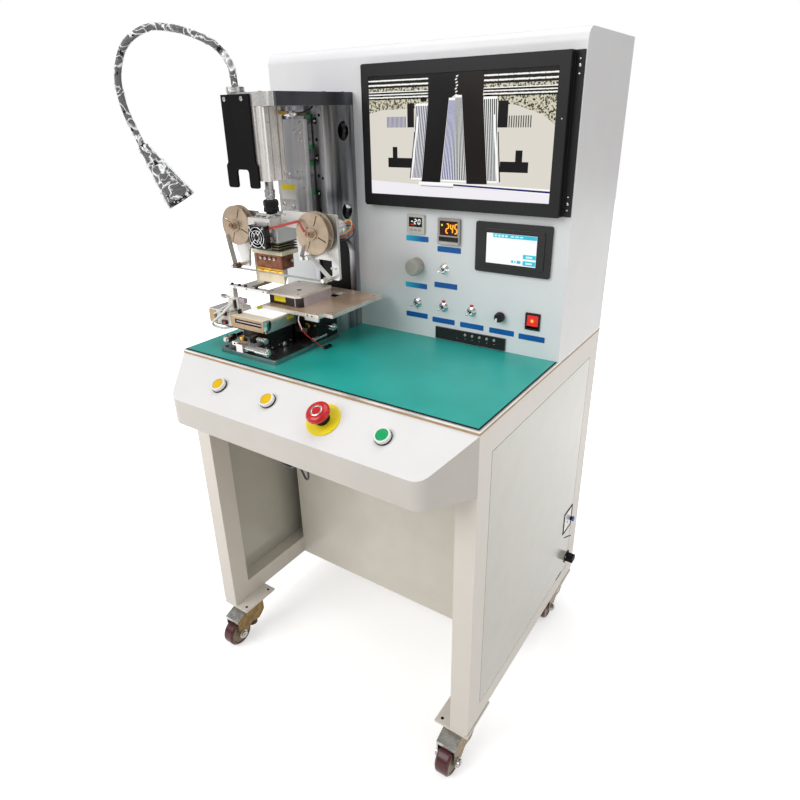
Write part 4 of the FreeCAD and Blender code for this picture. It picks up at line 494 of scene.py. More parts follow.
    # The film's white creases are painted highlights.
    wrap_film = ClearFilm("creased_clear_film", "#F6F7F8", 0.13, 24.0)
    screen_cream = Glow("display_cream", "#DCD7CD", 1.0)
    screen_white = Glow("display_white", "#FBFCFC", 1.0)
    screen_grey = Glow("display_grey", "#3E423D", 1.0)
    screen_black = Glow("display_black", "#0B0707", 1.0)
    screen_violet = Glow("display_violet", "#40408C", 1.0)
    screen_cyan = Glow("display_cyan", "#2EC4DC", 1.0)
    digit_white = Glow("digit_white", "#F6F6F6", 1.2)
    digit_amber = Glow("digit_amber", "#FFB22E", 1.6)
    digit_red = Glow("digit_red_halo", "#D8380F", 1.0)
    lamp_green = Glow("indicator_green", "#BFE83A", 1.2)
    rocker_red = Glow("lit_rocker_red", "#DE2F2A", 1.0)
    rocker_spot = Glow("rocker_lamp", "#FFB347", 1.6)
    box_glow = Glow("backlight_diffuser", "#FFFFFF", 0.9)


@dataclass
class Datum:
    """Turns places in millimetres from the table's front edge into the frame's metres."""

    origin: Vector = field(default_factory=Vector)

    @classmethod
    def from_frame(cls) -> "Datum":
        """Read the datum from the table and the mat."""
        board_low, board_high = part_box("table_board")
        _, mat_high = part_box("esd_mat")
        return cls(Vector(((board_low.x + board_high.x) / 2, board_low.y, mat_high.z)))

    def at(self, x: float, y: float, z: float) -> Vector:
        """The frame place of a point given in millimetres."""
        return self.origin + Vector((x, y, z)) * MM

    def node(self, name: str) -> tuple[Vector, Vector]:
        """A CAD node's lowest and highest corners in millimetres from the datum."""
        low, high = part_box(name)
        return (low - self.origin) / MM, (high - self.origin) / MM


def deselect() -> None:
    """Leave nothing selected and no object in edit mode."""
    if bpy.context.object and bpy.context.object.mode != "OBJECT":
        bpy.ops.object.mode_set(mode="OBJECT")
    bpy.ops.object.select_all(action="DESELECT")


def select_only(piece: Piece) -> None:
    """Select one object and make it active."""
    deselect()
    piece.select_set(True)
    bpy.context.view_layer.objects.active = piece


def active_piece(name: str) -> Piece:
    """Name the active object and its mesh."""
    piece = bpy.context.object
    piece.name = name
    piece.data.name = name
    return piece


def apply_place(piece: Piece, matrix: Matrix) -> None:
    """Move a piece by a matrix and leave its object at the origin.

    Args:
        piece: The piece, modelled about the origin.
        matrix: Where it goes, in metres.
    """
    piece.data.transform(matrix @ piece.matrix_world)
    piece.matrix_world = Matrix.Identity(4)
    piece.data.update()


def round_edges(piece: Piece, width: float, segments: int = 2) -> None:
    """Round a piece's sharp edges with an applied bevel.

    Args:
        piece: The piece to finish.
        width: The bevel's width in millimetres.
        segments: Steps across the bevel.
    """
    select_only(piece)
    bevel = piece.modifiers.new("Edges", "BEVEL")
    bevel.width = width * MM
    bevel.segments = segments
    bevel.limit_method = "ANGLE"
    bevel.angle_limit = math.radians(SHARP_ANGLE)
    bpy.ops.object.modifier_apply(modifier=bevel.name)
    bpy.ops.object.shade_smooth_by_angle(angle=math.radians(SMOOTH_ANGLE))
    weigh = piece.modifiers.new("Flat faces", "WEIGHTED_NORMAL")
    weigh.keep_sharp = True
    weigh.weight = FACE_WEIGHT
    bpy.ops.object.modifier_apply(modifier=weigh.name)


def paint(piece: Piece, finish: Surface, where: Optional[Where] = None) -> None:
    """Give a piece a finish, all over or on the faces that a test picks.

    Args:
        piece: The piece to paint.
        finish: Its finish.
        where: A test of a face's centre and normal, in the datum's millimetres.
    """
    material = finish.build()
    slots = piece.data.materials
    if where is None:
        slots.clear()
        slots.append(material)
        for face in piece.data.polygons:
            face.material_index = 0
        return
    if material.name not in slots:
        slots.append(material)
    index = slots.find(material.name)
    for face in piece.data.polygons:
        if where((face.center - MACHINE.origin) / MM, face.normal):
            face.material_index = index


def own_copy(node: str, name: str) -> Piece:
    """Copy a CAD node with its mesh, and select the copy.

    Args:
        node: The CAD node.
        name: The copy's name.

    Returns:
        The copy, free of the node's parent and of its custom properties.
    """
    source = FRAME["nodes"][node]
    piece = source.copy()
    piece.data = source.data.copy()
    piece.parent = None
    for key in list(piece.keys()):
        del piece[key]
    bpy.context.scene.collection.objects.link(piece)
    piece.name = name
    piece.data.name = name
    select_only(piece)
    return piece


def dress(node: str, finish: Surface, edge: float = 0.4, segments: int = 2) -> Piece:
    """Make a finished copy of a CAD node, with its edges eased, that stands for it.

    Args:
        node: The CAD node.
        finish: The finish all over.
        edge: The width of its eased edges in millimetres, or 0 for none.
        segments: Steps across each eased edge.

    Returns:
        The new piece, which rides on the node's body.
    """
    piece = own_copy(node, f"{node}_finished")
    bpy.ops.object.mode_set(mode="EDIT")
    bpy.ops.mesh.select_all(action="SELECT")
    bpy.ops.mesh.remove_doubles(threshold=WELD_M)
    bpy.ops.mesh.customdata_custom_splitnormals_clear()
    bpy.ops.mesh.dissolve_limited(angle_limit=math.radians(FLAT_ANGLE))
    bpy.ops.object.mode_set(mode="OBJECT")
    if edge:
        round_edges(piece, edge, segments)
    else:
        bpy.ops.object.shade_smooth_by_angle(angle=math.radians(SHARP_ANGLE))
    paint(piece, finish)
    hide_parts(node)
    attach(piece, BODY_OF[node])
    LOG.info("dressed %s", node)
    return piece


def cuboid(name: str, low: Sequence[float], high: Sequence[float], edge: float = 0.3) -> Piece:
    """A block with eased edges between two corners.

    Args:
        name: The piece's name.
        low: Its lowest corner, in millimetres from the datum.
        high: Its highest corner.
        edge: The width of its eased edges.

    Returns:
        The new piece.
    """
    deselect()
    first, last = MACHINE.at(*low), MACHINE.at(*high)
    bpy.ops.mesh.primitive_cube_add(size=1.0, location=(first + last) / 2,
                                    scale=tuple(last - first))
    piece = active_piece(name)
    apply_place(piece, Matrix.Identity(4))
    round_edges(piece, edge)
    return piece


def local_block(name: str, low: Point, high: Point, edge: float, place: Matrix) -> Piece:
    """A block modelled about the origin, in millimetres, and then moved by a matrix in metres."""
    piece = cuboid(name, low, high, edge)
    piece.data.transform(Matrix.Translation(-MACHINE.origin))
    piece.data.transform(place)
    return piece


def facing(origin: Vector, normal: Vector) -> Matrix:
    """A matrix that takes local Z to a direction, at a place.

    Args:
        origin: The place, in metres.
        normal: Where local Z goes. Local Y leans upwards, or backwards where Z is upright.

    Returns:
        The matrix.
    """
    z, up = normal.normalized(), Axis.UP.vector
    hint = up if abs(z.dot(up)) < 0.99 else Axis.BACK.vector
    x = hint.cross(z).normalized()
    y = z.cross(x)
    turn = Matrix((x, y, z)).transposed().to_4x4()
    return Matrix.Translation(origin) @ turn


def turned(name: str, origin: Vector, normal: Vector, rings: Outline, sides: int = 32,
           smooth: float = 30.0) -> Piece:
    """A turned part, drawn up ring by ring from a disc by extruding and scaling its top.

    Args:
        name: The piece's name.
        origin: The place of its first ring's centre, in metres.
        normal: The direction it stands in.
        rings: Radius and height of each ring, in millimetres.
        sides: Faces round it.
        smooth: Edges flatter than this many degrees shade smooth.

    Returns:
        The new piece.
    """
    deselect()
    radius, level = rings[0]
    bpy.ops.mesh.primitive_circle_add(vertices=sides, radius=radius * MM, fill_type="NGON",
                                      location=(0, 0, level * MM))
    piece = active_piece(name)
    bpy.ops.object.transform_apply(location=True)
    bpy.ops.object.mode_set(mode="EDIT")
    bpy.ops.mesh.select_all(action="SELECT")
    for wide, high in rings[1:]:
        bpy.ops.mesh.extrude_region_move(
            TRANSFORM_OT_translate={"value": (0, 0, (high - level) * MM)})
        scale = wide / radius
        bpy.ops.transform.resize(value=(scale, scale, 1.0), center_override=(0, 0, high * MM))
        radius, level = wide, high
    bpy.ops.mesh.select_all(action="SELECT")
    bpy.ops.mesh.normals_make_consistent(inside=False)
    bpy.ops.object.mode_set(mode="OBJECT")
    apply_place(piece, facing(origin, normal))
    bpy.ops.object.shade_smooth_by_angle(angle=math.radians(smooth))
    return piece


def copy_piece(piece: Piece, name: str, matrix: Matrix) -> Piece:
    """A copy of a piece with its own mesh, moved by a matrix in metres."""
    twin = piece.copy()
    twin.data = piece.data.copy()
    twin.name = name
    twin.data.name = name
    bpy.context.scene.collection.objects.link(twin)
    apply_place(twin, matrix)
    return twin


def join(pieces: Sequence[Piece], name: str) -> Piece:
    """Join pieces into one object.

    Args:
        pieces: The pieces, each at its place.
        name: The joined piece's name.

    Returns:
        The joined piece.
    """
    deselect()
    for piece in pieces:
        piece.select_set(True)
    bpy.context.view_layer.objects.active = pieces[0]
    bpy.ops.object.join()
    return active_piece(name)


def shift(x: float, y: float, z: float) -> Matrix:
    """A move in millimetres."""
    return Matrix.Translation(Vector((x, y, z)) * MM)


def tube(name: str, route: Sequence[Vector], radius: float, finish: Surface) -> Piece:
    """A round tube or wire that follows a smooth route.

    Args:
        name: The piece's name.
        route: Its control points, in metres.
        radius: Its radius in millimetres.
        finish: Its finish.

    Returns:
        The curve object.
    """
    curve = bpy.data.curves.new(name, "CURVE")
    curve.dimensions = "3D"
    curve.bevel_depth = radius * MM
    curve.bevel_resolution = 5
    curve.resolution_u = 16
    curve.use_fill_caps = True
    spline = curve.splines.new("NURBS")
    spline.points.add(len(route) - 1)
    for point, place in zip(spline.points, route):
        point.co = (*place, 1.0)
    spline.order_u = 3
    spline.use_endpoint_u = True
    piece = bpy.data.objects.new(name, curve)
    bpy.context.scene.collection.objects.link(piece)
    curve.materials.append(finish.build())
    return piece


def socket_screw(name: str, origin: Vector, normal: Vector, radius: float = 2.8,
                 height: float = 2.6, finish: Surface = Finishes.bright_steel) -> Piece:
    """A socket-head cap screw seen from outside: a head with a hexagon recess.

    Args:
        name: The piece's name.
        origin: Where the head meets the part.
        normal: The way the head faces.
        radius: The head's radius.
        height: The head's height.
        finish: The head's finish.

    Returns:
        The screw's head.
    """
    head = turned(name, origin, normal, [
        (radius, -0.4), (radius, height - 0.4), (radius * 0.88, height), (radius * 0.55, height),
        (radius * 0.5, height * 0.45), (radius * 0.05, height * 0.4)], sides=12, smooth=35)
    paint(head, finish)
    return head


@dataclass
class Studio:
    """The floor, the lamps and the camera that stands where the photograph was taken."""

    eye: Point = (718.0, -763.0, 450.5)
    yaw: float = 34.80
    pitch: float = 24.03
    roll: float = -1.32
    focal_px: float = 618.1
    centre_px: tuple[float, float] = (392.2, 386.6)
    picture_px: float = 800.0
    sensor: float = 36.0
    floor_m: float = 14.0
    glow_reach: tuple[float, float] = (0.5, 1.5)
    glow_levels: tuple[float, float] = (0.5, 1.2)
    surround: float = 0.48

    def build(self) -> None:
        """Make everything that isn't the machine."""
        self.floor()
        self.lamps()
        self.world()
        self.camera()

    def floor(self) -> None:
        """A pale floor that keeps the shadow and shows white to the camera."""
        deselect()
        bpy.ops.mesh.primitive_plane_add(size=self.floor_m, location=(0, 1.5, 0))
        floor = active_piece("studio_floor")
        apply_place(floor, Matrix.Identity(4))
        material = bpy.data.materials.new("floor_white")
        tree = blank_tree(material)
        path = add_node(tree, "ShaderNodeLightPath")
        matte = add_node(tree, "ShaderNodeBsdfDiffuse", {"Color": linear_colour("#D9D4CC")})
        place = add_node(tree, "ShaderNodeTexCoord").outputs["Object"]
        away = add_node(tree, "ShaderNodeVectorMath", {"operation": "LENGTH"}, {0: place})
        (near, far), (dim, bright) = self.glow_reach, self.glow_levels
        level = add_node(tree, "ShaderNodeMapRange",
                         {"From Min": near, "From Max": far, "To Min": dim, "To Max": bright},
                         {"Value": away.outputs["Value"]})
        glow = add_node(tree, "ShaderNodeEmission", {"Color": (1, 1, 1, 1)},
                        {"Strength": level.outputs[0]})
        pale = add_node(tree, "ShaderNodeBsdfDiffuse", {"Color": linear_colour("#EBEBEB")})
        lit = add_node(tree, "ShaderNodeAddShader", links={0: pale.outputs[0], 1: glow.outputs[0]})
        seen = add_node(tree, "ShaderNodeMath", {"operation": "MAXIMUM"}, {
            0: path.outputs["Is Camera Ray"], 1: path.outputs["Is Glossy Ray"]})
        mixed = add_node(tree, "ShaderNodeMixShader", links={
            0: seen.outputs[0], 1: matte.outputs[0], 2: lit.outputs[0]})
        add_node(tree, "ShaderNodeOutputMaterial", links={"Surface": mixed.outputs[0]})
        floor.data.materials.append(material)

    def lamps(self) -> None:
        """Three large soft lamps: over the front left, over the right and behind."""
        plan = (
            ("lamp_key", (-1.2, -2.7, 2.6), (0, 0, 0.9), 2.2, 64.0),
            ("lamp_fill", (2.8, -0.6, 1.9), (0, 0, 0.6), 2.0, 13.0),
            ("lamp_top", (0.2, 0.4, 3.4), (0, 0, 0.6), 2.4, 36.0),
        )
        for name, place, aim, size, power in plan:
            lamp = bpy.data.lights.new(name, "AREA")
            lamp.energy = power
            lamp.size = size
            holder = bpy.data.objects.new(name, lamp)
            holder.location = place
            holder.rotation_euler = (Vector(aim) - Vector(place)).to_track_quat("-Z", "Y").to_euler(
                )
            bpy.context.scene.collection.objects.link(holder)

    def world(self) -> None:
        """An even pale surround that the camera and transmission rays see as white."""
        world = bpy.data.worlds.new("studio")
        bpy.context.scene.world = world
        world.use_nodes = True
        tree = world.node_tree
        tree.nodes.clear()
        path = add_node(tree, "ShaderNodeLightPath")
        seen = add_node(tree, "ShaderNodeMath", {"operation": "MAXIMUM"}, {
            0: path.outputs["Is Camera Ray"], 1: path.outputs["Is Transmission Ray"]})
        soft = add_node(tree, "ShaderNodeBackground",
                        {"Color": linear_colour("#F3F3F3"), "Strength": self.surround})
        white = add_node(tree, "ShaderNodeBackground", {"Color": (1, 1, 1, 1), "Strength": 1.0})
        mixed = add_node(tree, "ShaderNodeMixShader", links={
            0: seen.outputs[0], 1: soft.outputs[0], 2: white.outputs[0]})
        add_node(tree, "ShaderNodeOutputWorld", links={"Surface": mixed.outputs[0]})

    def camera(self) -> None:
        """The photograph's camera: its place, its turn and its lens."""
        lens = bpy.data.cameras.new("camera")
        lens.sensor_width = self.sensor
        lens.lens = self.focal_px * self.sensor / self.picture_px
        lens.shift_x = (self.picture_px / 2 - self.centre_px[0]) / self.picture_px
        lens.shift_y = (self.centre_px[1] - self.picture_px / 2) / self.picture_px
        lens.clip_start = 0.02
        camera = bpy.data.objects.new("camera", lens)
        turn = (Matrix.Rotation(math.radians(self.yaw), 4, "Z")
                @ Matrix.Rotation(math.radians(90 - self.pitch), 4, "X")
                @ Matrix.Rotation(math.radians(self.roll), 4, "Z"))
        camera.matrix_world = Matrix.Translation(MACHINE.at(*self.eye)) @ turn
        bpy.context.scene.collection.objects.link(camera)
        bpy.context.scene.camera = camera


class Plane(Enum):
    """The planes that flat pieces are cut in."""

    FRONT = "x and z, facing the operator"
    TOP = "x and y, facing up"
    SIDE = "y and z, facing right"

    def matrix(self, level: float) -> Matrix:
        """The matrix that takes a flat outline to this plane at a level in millimetres."""
        columns = {Plane.FRONT: (Axis.RIGHT.vector, Axis.UP.vector, Axis.FRONT.vector,
                                 MACHINE.at(0, level, 0)),
                   Plane.TOP: (Axis.RIGHT.vector, Axis.BACK.vector, Axis.UP.vector,
                               MACHINE.at(0, 0, level)),
                   Plane.SIDE: (Axis.BACK.vector, Axis.UP.vector, Axis.RIGHT.vector,
                                MACHINE.at(level, 0, 0)), }[self]
        turn = Matrix(columns[:3]).transposed().to_4x4()
        return Matrix.Translation(columns[3]) @ turn


def cut_plate(name: str, plane: Plane, outline: Outline, level: float, thick: float,
              corner: float = 0.0, edge: float = 0.0, frame: float = 0.0) -> Piece:
    """A flat piece cut to an outline and drawn up to its thickness.

    Args:
        name: The piece's name.
        plane: The plane it lies in.
        outline: Its corners in that plane, in millimetres.
        level: Where its back face lies.
        thick: Its thickness, towards the plane's facing.
        corner: The size of its rounded corners.
        edge: The width of its eased edges.
        frame: The width of the border that is left round an opening, or 0 for a full plate.

    Returns:
        The new piece.
    """
    deselect()
    bpy.ops.mesh.primitive_circle_add(vertices=len(outline), radius=0.01, fill_type="NGON")
    piece = active_piece(name)
    for vertex, (across, up) in zip(piece.data.vertices, outline):
        vertex.co = (across * MM, up * MM, 0.0)
    bpy.ops.object.mode_set(mode="EDIT")
    bpy.ops.mesh.select_all(action="SELECT")
    if corner:
        bpy.ops.mesh.bevel(offset=corner * MM, segments=4, affect="VERTICES")
        bpy.ops.mesh.select_all(action="SELECT")
    if frame:
        bpy.ops.mesh.inset(thickness=frame * MM, use_boundary=True)
        bpy.ops.mesh.delete(type="FACE")
        bpy.ops.mesh.select_all(action="SELECT")
    bpy.ops.mesh.normals_make_consistent(inside=False)
    bpy.ops.mesh.extrude_region_move(TRANSFORM_OT_translate={"value": (0, 0, thick * MM)})
    bpy.ops.mesh.select_all(action="SELECT")
    bpy.ops.mesh.normals_make_consistent(inside=False)
    bpy.ops.object.mode_set(mode="OBJECT")
    if edge:
        round_edges(piece, edge)
    apply_place(piece, plane.matrix(level))
    return piece


def oblong(left: float, low: float, right: float, high: float) -> list[tuple[float, float]]:
    """The corners of a rectangle."""
    return [(left, low), (right, low), (right, high), (left, high)]


@dataclass
class Assembly:
    """What the sub-assemblies share: finishing a piece and fixing it to its body."""

    body: str = "machine"

    def fix(self, piece: Piece, finish: Optional[Surface] = None, body: str = "") -> Piece:
        """Finish a piece and let it ride on its body.

        Args:
            piece: The piece.
            finish: Its finish, or none where it has one already.
            body: The body that carries it, or none for the assembly's own.

        Returns:
            The same piece.
        """
        if finish:
            paint(piece, finish)
        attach(piece, body or self.body)
        LOG.info("made %s on %s", piece.name, body or self.body)
        return piece

    def block(self, name: str, low: Sequence[float], high: Sequence[float], finish: Surface,
              edge: float = 0.3, body: str = "") -> Piece:
        """An eased block between two corners, finished and fixed."""
        return self.fix(cuboid(name, low, high, edge), finish, body)

    def plate(self, name: str, plane: Plane, outline: Outline, level: float, thick: float,
              finish: Surface, corner: float = 0.0, edge: float = 0.0, frame: float = 0.0,
              body: str = "") -> Piece:
        """A flat cut piece, finished and fixed."""
        return self.fix(cut_plate(name, plane, outline, level, thick, corner, edge, frame), finish,
                        body)

    def spun(self, name: str, place: Point, axis: Axis, rings: Outline, finish: Surface,
             sides: int = 32, body: str = "") -> Piece:
        """A turned piece at a place in millimetres, finished and fixed."""
        return self.fix(turned(name, MACHINE.at(*place), axis.vector, rings, sides), finish, body)

    def screws(self, name: str, places: Sequence[Point], axis: Axis, finish: Surface,
               radius: float = 2.8, height: float = 2.6, body: str = "") -> Piece:
        """A set of equal socket-head screws, modelled once and copied to their places."""
        first = socket_screw(name, MACHINE.at(*places[0]), axis.vector, radius, height, finish)
        heads = [first]
        for index, place in enumerate(places[1:], start=2):
            step = [place[side] - places[0][side] for side in range(3)]
            heads.append(copy_piece(first, f"{name}_{index}", shift(*step)))
        return self.fix(join(heads, name) if len(heads) > 1 else first, None, body)

    def wire(self, name: str, route: Sequence[Point], radius: float, finish: Surface,
             body: str = "", far_end: str = "object", lay: str = "loose", stiffness: str = "medium",
             on_end: Sequence[Piece] = ()) -> Piece:
        """A free wire or hose.

        Args:
            name: The wire's name.
            route: Its control points, in millimetres.
            radius: Its radius in millimetres.
            finish: Its finish.
            body: The body that carries it.
            far_end: What is on its far end; not used.
            lay: How it lies; not used.
            stiffness: How stiff it is; not used.
            on_end: Pieces that hang on it; not used.

        Returns:
            The curve object.
        """
        places = [MACHINE.at(*point) for point in route]
        piece = self.fix(tube(name, places, radius, finish), None, body)
        return piece


@dataclass
class Carcass(Assembly):
    """The welded base, its panels, the table with its mat, and the fittings on the right side."""

    half_width: float = 350.0
    side_from: float = 345.0
    depth: float = 592.0
    board_low: float = -10.0
    board_high: float = -2.0
    air_place: Point = (350.0, 534.0, -489.0)
    inlet_place: Point = (352.0, 535.0, -609.0)

    def build(self) -> None:
        """Dress the base and add its strips and fittings."""
        dress("base_frame", Finishes.frame_white, 1.2)
        panels = dress("cabinet_panels", Finishes.panel_white, 0.5)
        # The lower panels' outer sides get a darker copy of their paint: painted shade.
        paint(panels, Finishes.side_shade_cream, lambda centre, normal: abs(centre.x) > self.side_from
              and centre.z < 0)
        dress("table_board", Finishes.edge_strip, 0.4)
        mat = dress("esd_mat", Finishes.mat_green, 0.4)
        paint(mat, Finishes.mat_edge, lambda centre, normal: normal.z < 0.4)
        low, high = MACHINE.node("esd_mat")
        # Black strips just outside the mat's front and right edges: partly the mat's black edge,
        # partly painted shadow along it.
        self.block("mat_rim_and_shadow_front", (low.x, low.y - 1.6, self.board_high), (high.x, low.y, -0.2),
                   Finishes.mat_edge, 0.2)
        self.block("mat_rim_and_shadow_right", (high.x, low.y - 1.6, self.board_high),
                   (high.x + 1.6, high.y, -0.2), Finishes.mat_edge, 0.2)
        self.edge_strips()
        self.side_fittings()
        self.panel_screws()
        self.shade_in_plate_holes()

    def shade_in_plate_holes(self) -> None:
        """Black screw heads in the drilled plates under the legs, where the holes look dark:
        painted shade.
        """
        inset, reach, run, level = 12.0, 76.0, 100.0, -697.0
        for side, sign in (("left", -1), ("right", 1)):
            for end, first, last in (("front", inset, run - inset),
                                     ("rear", self.depth - run + inset, self.depth - inset)):
                x = sign * (self.half_width - reach + inset)
                self.screws(f"plate_bolts_{end}_{side}",
                            [(x, first, level + 3.2), (x, last, level + 3.2)], Axis.UP,
                            Finishes.mat_edge, 3.4, 1.9)

    def edge_strips(self) -> None:
        """Kraft film left on the lower half of the table's aluminium edging."""
        low, high = self.board_low + 0.3, self.board_low + 4.2
        self.block("edge_film_front", (-self.half_width, -0.35, low), (self.half_width, 0.0, high),
                   Finishes.edge_film, 0.1)
        for name, x in (("left", -self.half_width - 0.35), ("right", self.half_width)):
            self.block(f"edge_film_{name}", (x, 0.0, low), (x + 0.35, self.depth, high),
                       Finishes.edge_film, 0.1)

    def panel_screws(self) -> None:
        """Pan-head screws that hold the right side panel to the tubes."""
        places = [(self.half_width - 1.6, y, z) for y in (64.0, 528.0) for z in (-92.0, -620.0)]
        self.screws("panel_screws_right", places, Axis.RIGHT, Finishes.frame_white, 2.6, 1.4)

    def side_fittings(self) -> None:
        """The air port with its release ring in a lined square, and the power inlet."""
        x, y, z = self.air_place
        fittings = dress("switch_mounts", Finishes.chrome, 0.3)
        paint(fittings, Finishes.mat_edge, lambda centre, normal: centre.x > self.side_from)
        paint(fittings, Finishes.gloss_black, lambda centre, normal: 270 < centre.x < 320)
        self.block("port_pane", (x - 0.1, 488.2, z - 17), (x + 0.5, 535.8, z + 35),
                   Finishes.port_pane, 0.1)
        self.spun("air_port_ring", (x + 5.0, y, z), Axis.RIGHT,
                  [(5.6, 0), (6.4, 0.6), (6.4, 3.2), (5.8, 4.2), (3.2, 4.4), (2.9, 2.5)],
                  Finishes.port_blue)
        self.spun("air_port_dot", (x + 0.4, y - 24, z + 3), Axis.RIGHT,
                  [(3, 0), (3, 0.6), (2.4, 0.9)], Finishes.port_orange, 16)
        # Two thin black lines on the side panel, one below the air port and one below the power
        # inlet: painted shadow lines along edges.
        for name, start, end in (("upper", (500.0, -528.0), (556.0, -556.0)),
                                 ("lower", (470.0, -640.0), (508.0, -640.0))):
            slot = [(start[0], start[1] - 1.6), (end[0], end[1] - 1.6), (end[0], end[1] + 1.6),
                    (start[0], start[1] + 1.6)]
            self.plate(f"edge_shadow_line_{name}", Plane.SIDE, slot, x - 0.05, 0.4, Finishes.mat_edge, 1.0)
        across, level = self.inlet_place[1], self.inlet_place[2]
        self.screws("inlet_screws", [(x + 2, across - 12.6, level + 7.4),
                                     (x + 2, across + 12.6, level - 7.4)], Axis.RIGHT,
                    Finishes.zinc, 1.8, 1.2)
        self.spun("inlet_hole", (x + 2, across - 12.4, level - 6.8), Axis.RIGHT,
                  [(1.9, 0), (1.9, 0.3), (1.2, 0.35)], Finishes.zinc, 16)


@dataclass
class Console(Assembly):
    """The sloping console with its buttons and the emergency stop."""

    reach: float = 88.0
    drop: float = 58.0
    top: float = -10.0
    caps: tuple = (("left", -196.0), ("middle", -64.5), ("right", 197.0))
    cap_down: float = 49.5
    stop_x: float = 71.0
    stop_down: float = 52.0
    stop_reach: float = 34.0
    seal_and_shade_top: float = 2.4
    disc_top: float = 3.3
    collar_top: float = 9.0

    @property
    def normal(self) -> Vector:
        """The slope's outward direction."""
        return Vector((0, -self.drop, self.reach)).normalized()

    def on_slope(self, x: float, down: float) -> Vector:
        """The place of a point on the slope, in millimetres from the datum."""
        along = math.hypot(self.reach, self.drop)
        return Vector((x, -down * self.reach / along, self.top - down * self.drop / along))

    def height(self, centre: Vector) -> float:
        """How far a point stands over the slope."""
        return (centre - self.on_slope(0, 0)).dot(self.normal)

    def near_stop(self, centre: Vector) -> bool:
        """Whether a point belongs to the emergency stop."""
        return abs(centre.x - self.stop_x) < self.stop_reach

    def build(self) -> None:
        """Dress the console and its controls."""
        apron = dress("console_apron", Finishes.console_white, 1.2)
        # The console's faces that don't face up get a darker copy of its paint: painted shade.
        paint(apron, Finishes.apron_shade_white, lambda centre, normal: normal.z < 0.2)
        bezels = dress("button_bezels", Finishes.white_plastic, 0.4, 3)
        # The bezels' lowest band is black: partly their rubber seal, partly painted shade below
        # them.
        paint(bezels, Finishes.rubber_black, lambda centre, normal: self.height(
            centre) < self.seal_and_shade_top)
        near = self.near_stop
        paint(bezels, Finishes.stop_yellow, lambda centre, normal: near(centre)
              and -0.2 < self.height(centre) < self.disc_top)
        paint(bezels, Finishes.rubber_black, lambda centre, normal: near(centre)
              and self.disc_top <= self.height(centre) < self.collar_top)
        paint(bezels, Finishes.hub_cream, lambda centre, normal: near(centre) and self.height(
            centre) >= self.collar_top)
        for side, x in self.caps:
            finish = Finishes.cap_green if side == "right" else Finishes.cap_yellow
            dress(f"push_button_{side}", finish, 0.5, 3)
            self.cap_lens(side, x, finish)
            # A black ring round each button's foot: partly a rubber seal, partly painted shade
            # round the button.
            rings = [(15.4, 0.0), (15.8, 0.4), (15.8, 2.6), (15.2, 3.0), (12.0, 3.1)]
            ring = turned(f"button_seal_and_shade_{side}", MACHINE.at(*self.on_slope(x, self.cap_down)),
                          self.normal, rings, 48)
            self.fix(ring, Finishes.rubber_black)
        self.stop()
        self.hanging_ties()

    def cap_lens(self, side: str, x: float, finish: Surface) -> None:
        """A slightly domed lens set into the top of a push button's cap."""
        place = self.on_slope(x, self.cap_down)
        level = max(self.height(vertex) for vertex in self.node_points(f"push_button_{side}"))
        lens = turned(f"cap_lens_{side}", MACHINE.at(*place), self.normal,
                      [(9.6, level - 0.2), (9.6, level + 0.15), (8.0, level + 0.45),
                       (4.5, level + 0.62), (1.0, level + 0.66)], 40)
        self.fix(lens, finish, f"push_button_{side}")

    def node_points(self, name: str) -> list[Vector]:
        """A CAD node's points in millimetres from the datum."""
        return [(vertex.co - MACHINE.origin) / MM for vertex in FRAME["nodes"][name].data.vertices]

    def stop(self) -> None:
        """The emergency stop's cap with its metal ring and three turning marks."""
        dress("estop_mushroom", Finishes.stop_red, 0.9, 4)
        level = max(self.height(point) for point in self.node_points("estop_mushroom"))
        place = MACHINE.at(*self.on_slope(self.stop_x, self.stop_down))
        rings = [(11.2, -0.6), (11.4, 0.2), (10.6, 0.7), (9.0, 0.8), (8.4, 0.2), (7.6, -0.1),
                 (2.0, -0.1)]
        ring = turned("stop_ring", place, self.normal,
                      [(radius, level + step) for radius, step in rings], 48)
        self.fix(ring, Finishes.satin_ring, "estop_mushroom")
        base = facing(place, self.normal)
        for index in range(3):
            turn = Matrix.Rotation(math.radians(120 * index + 20), 4, "Z")
            mark = local_block(f"stop_mark_{index + 1}", (-0.9, 3.2, level - 0.2),
                               (0.9, 6.6, level + 0.25), 0.15, base @ turn)
            self.fix(mark, Finishes.stop_red, "estop_mushroom")

    def hanging_ties(self) -> None:
        """Two short loops of the buttons' cable that hang out under the console's front."""
        self.wire("cable_loop_long", [(-48, -85, -104), (-47, -70, -118), (-44, -60, -138),
                                      (-28, -59, -146), (-8, -60, -150), (4, -60, -148),
                                      (11, -66, -128), (12, -85, -104)], 2.8, Finishes.wire_black,
                  lay="hanging")
        self.wire("cable_loop_short", [(22, -85, -104), (22, -70, -122), (25, -61, -148),
                                       (31, -60, -163), (37, -60, -163), (41, -61, -148),
                                       (41, -70, -122), (40, -85, -104)], 2.0, Finishes.wire_black,
                  lay="hanging")


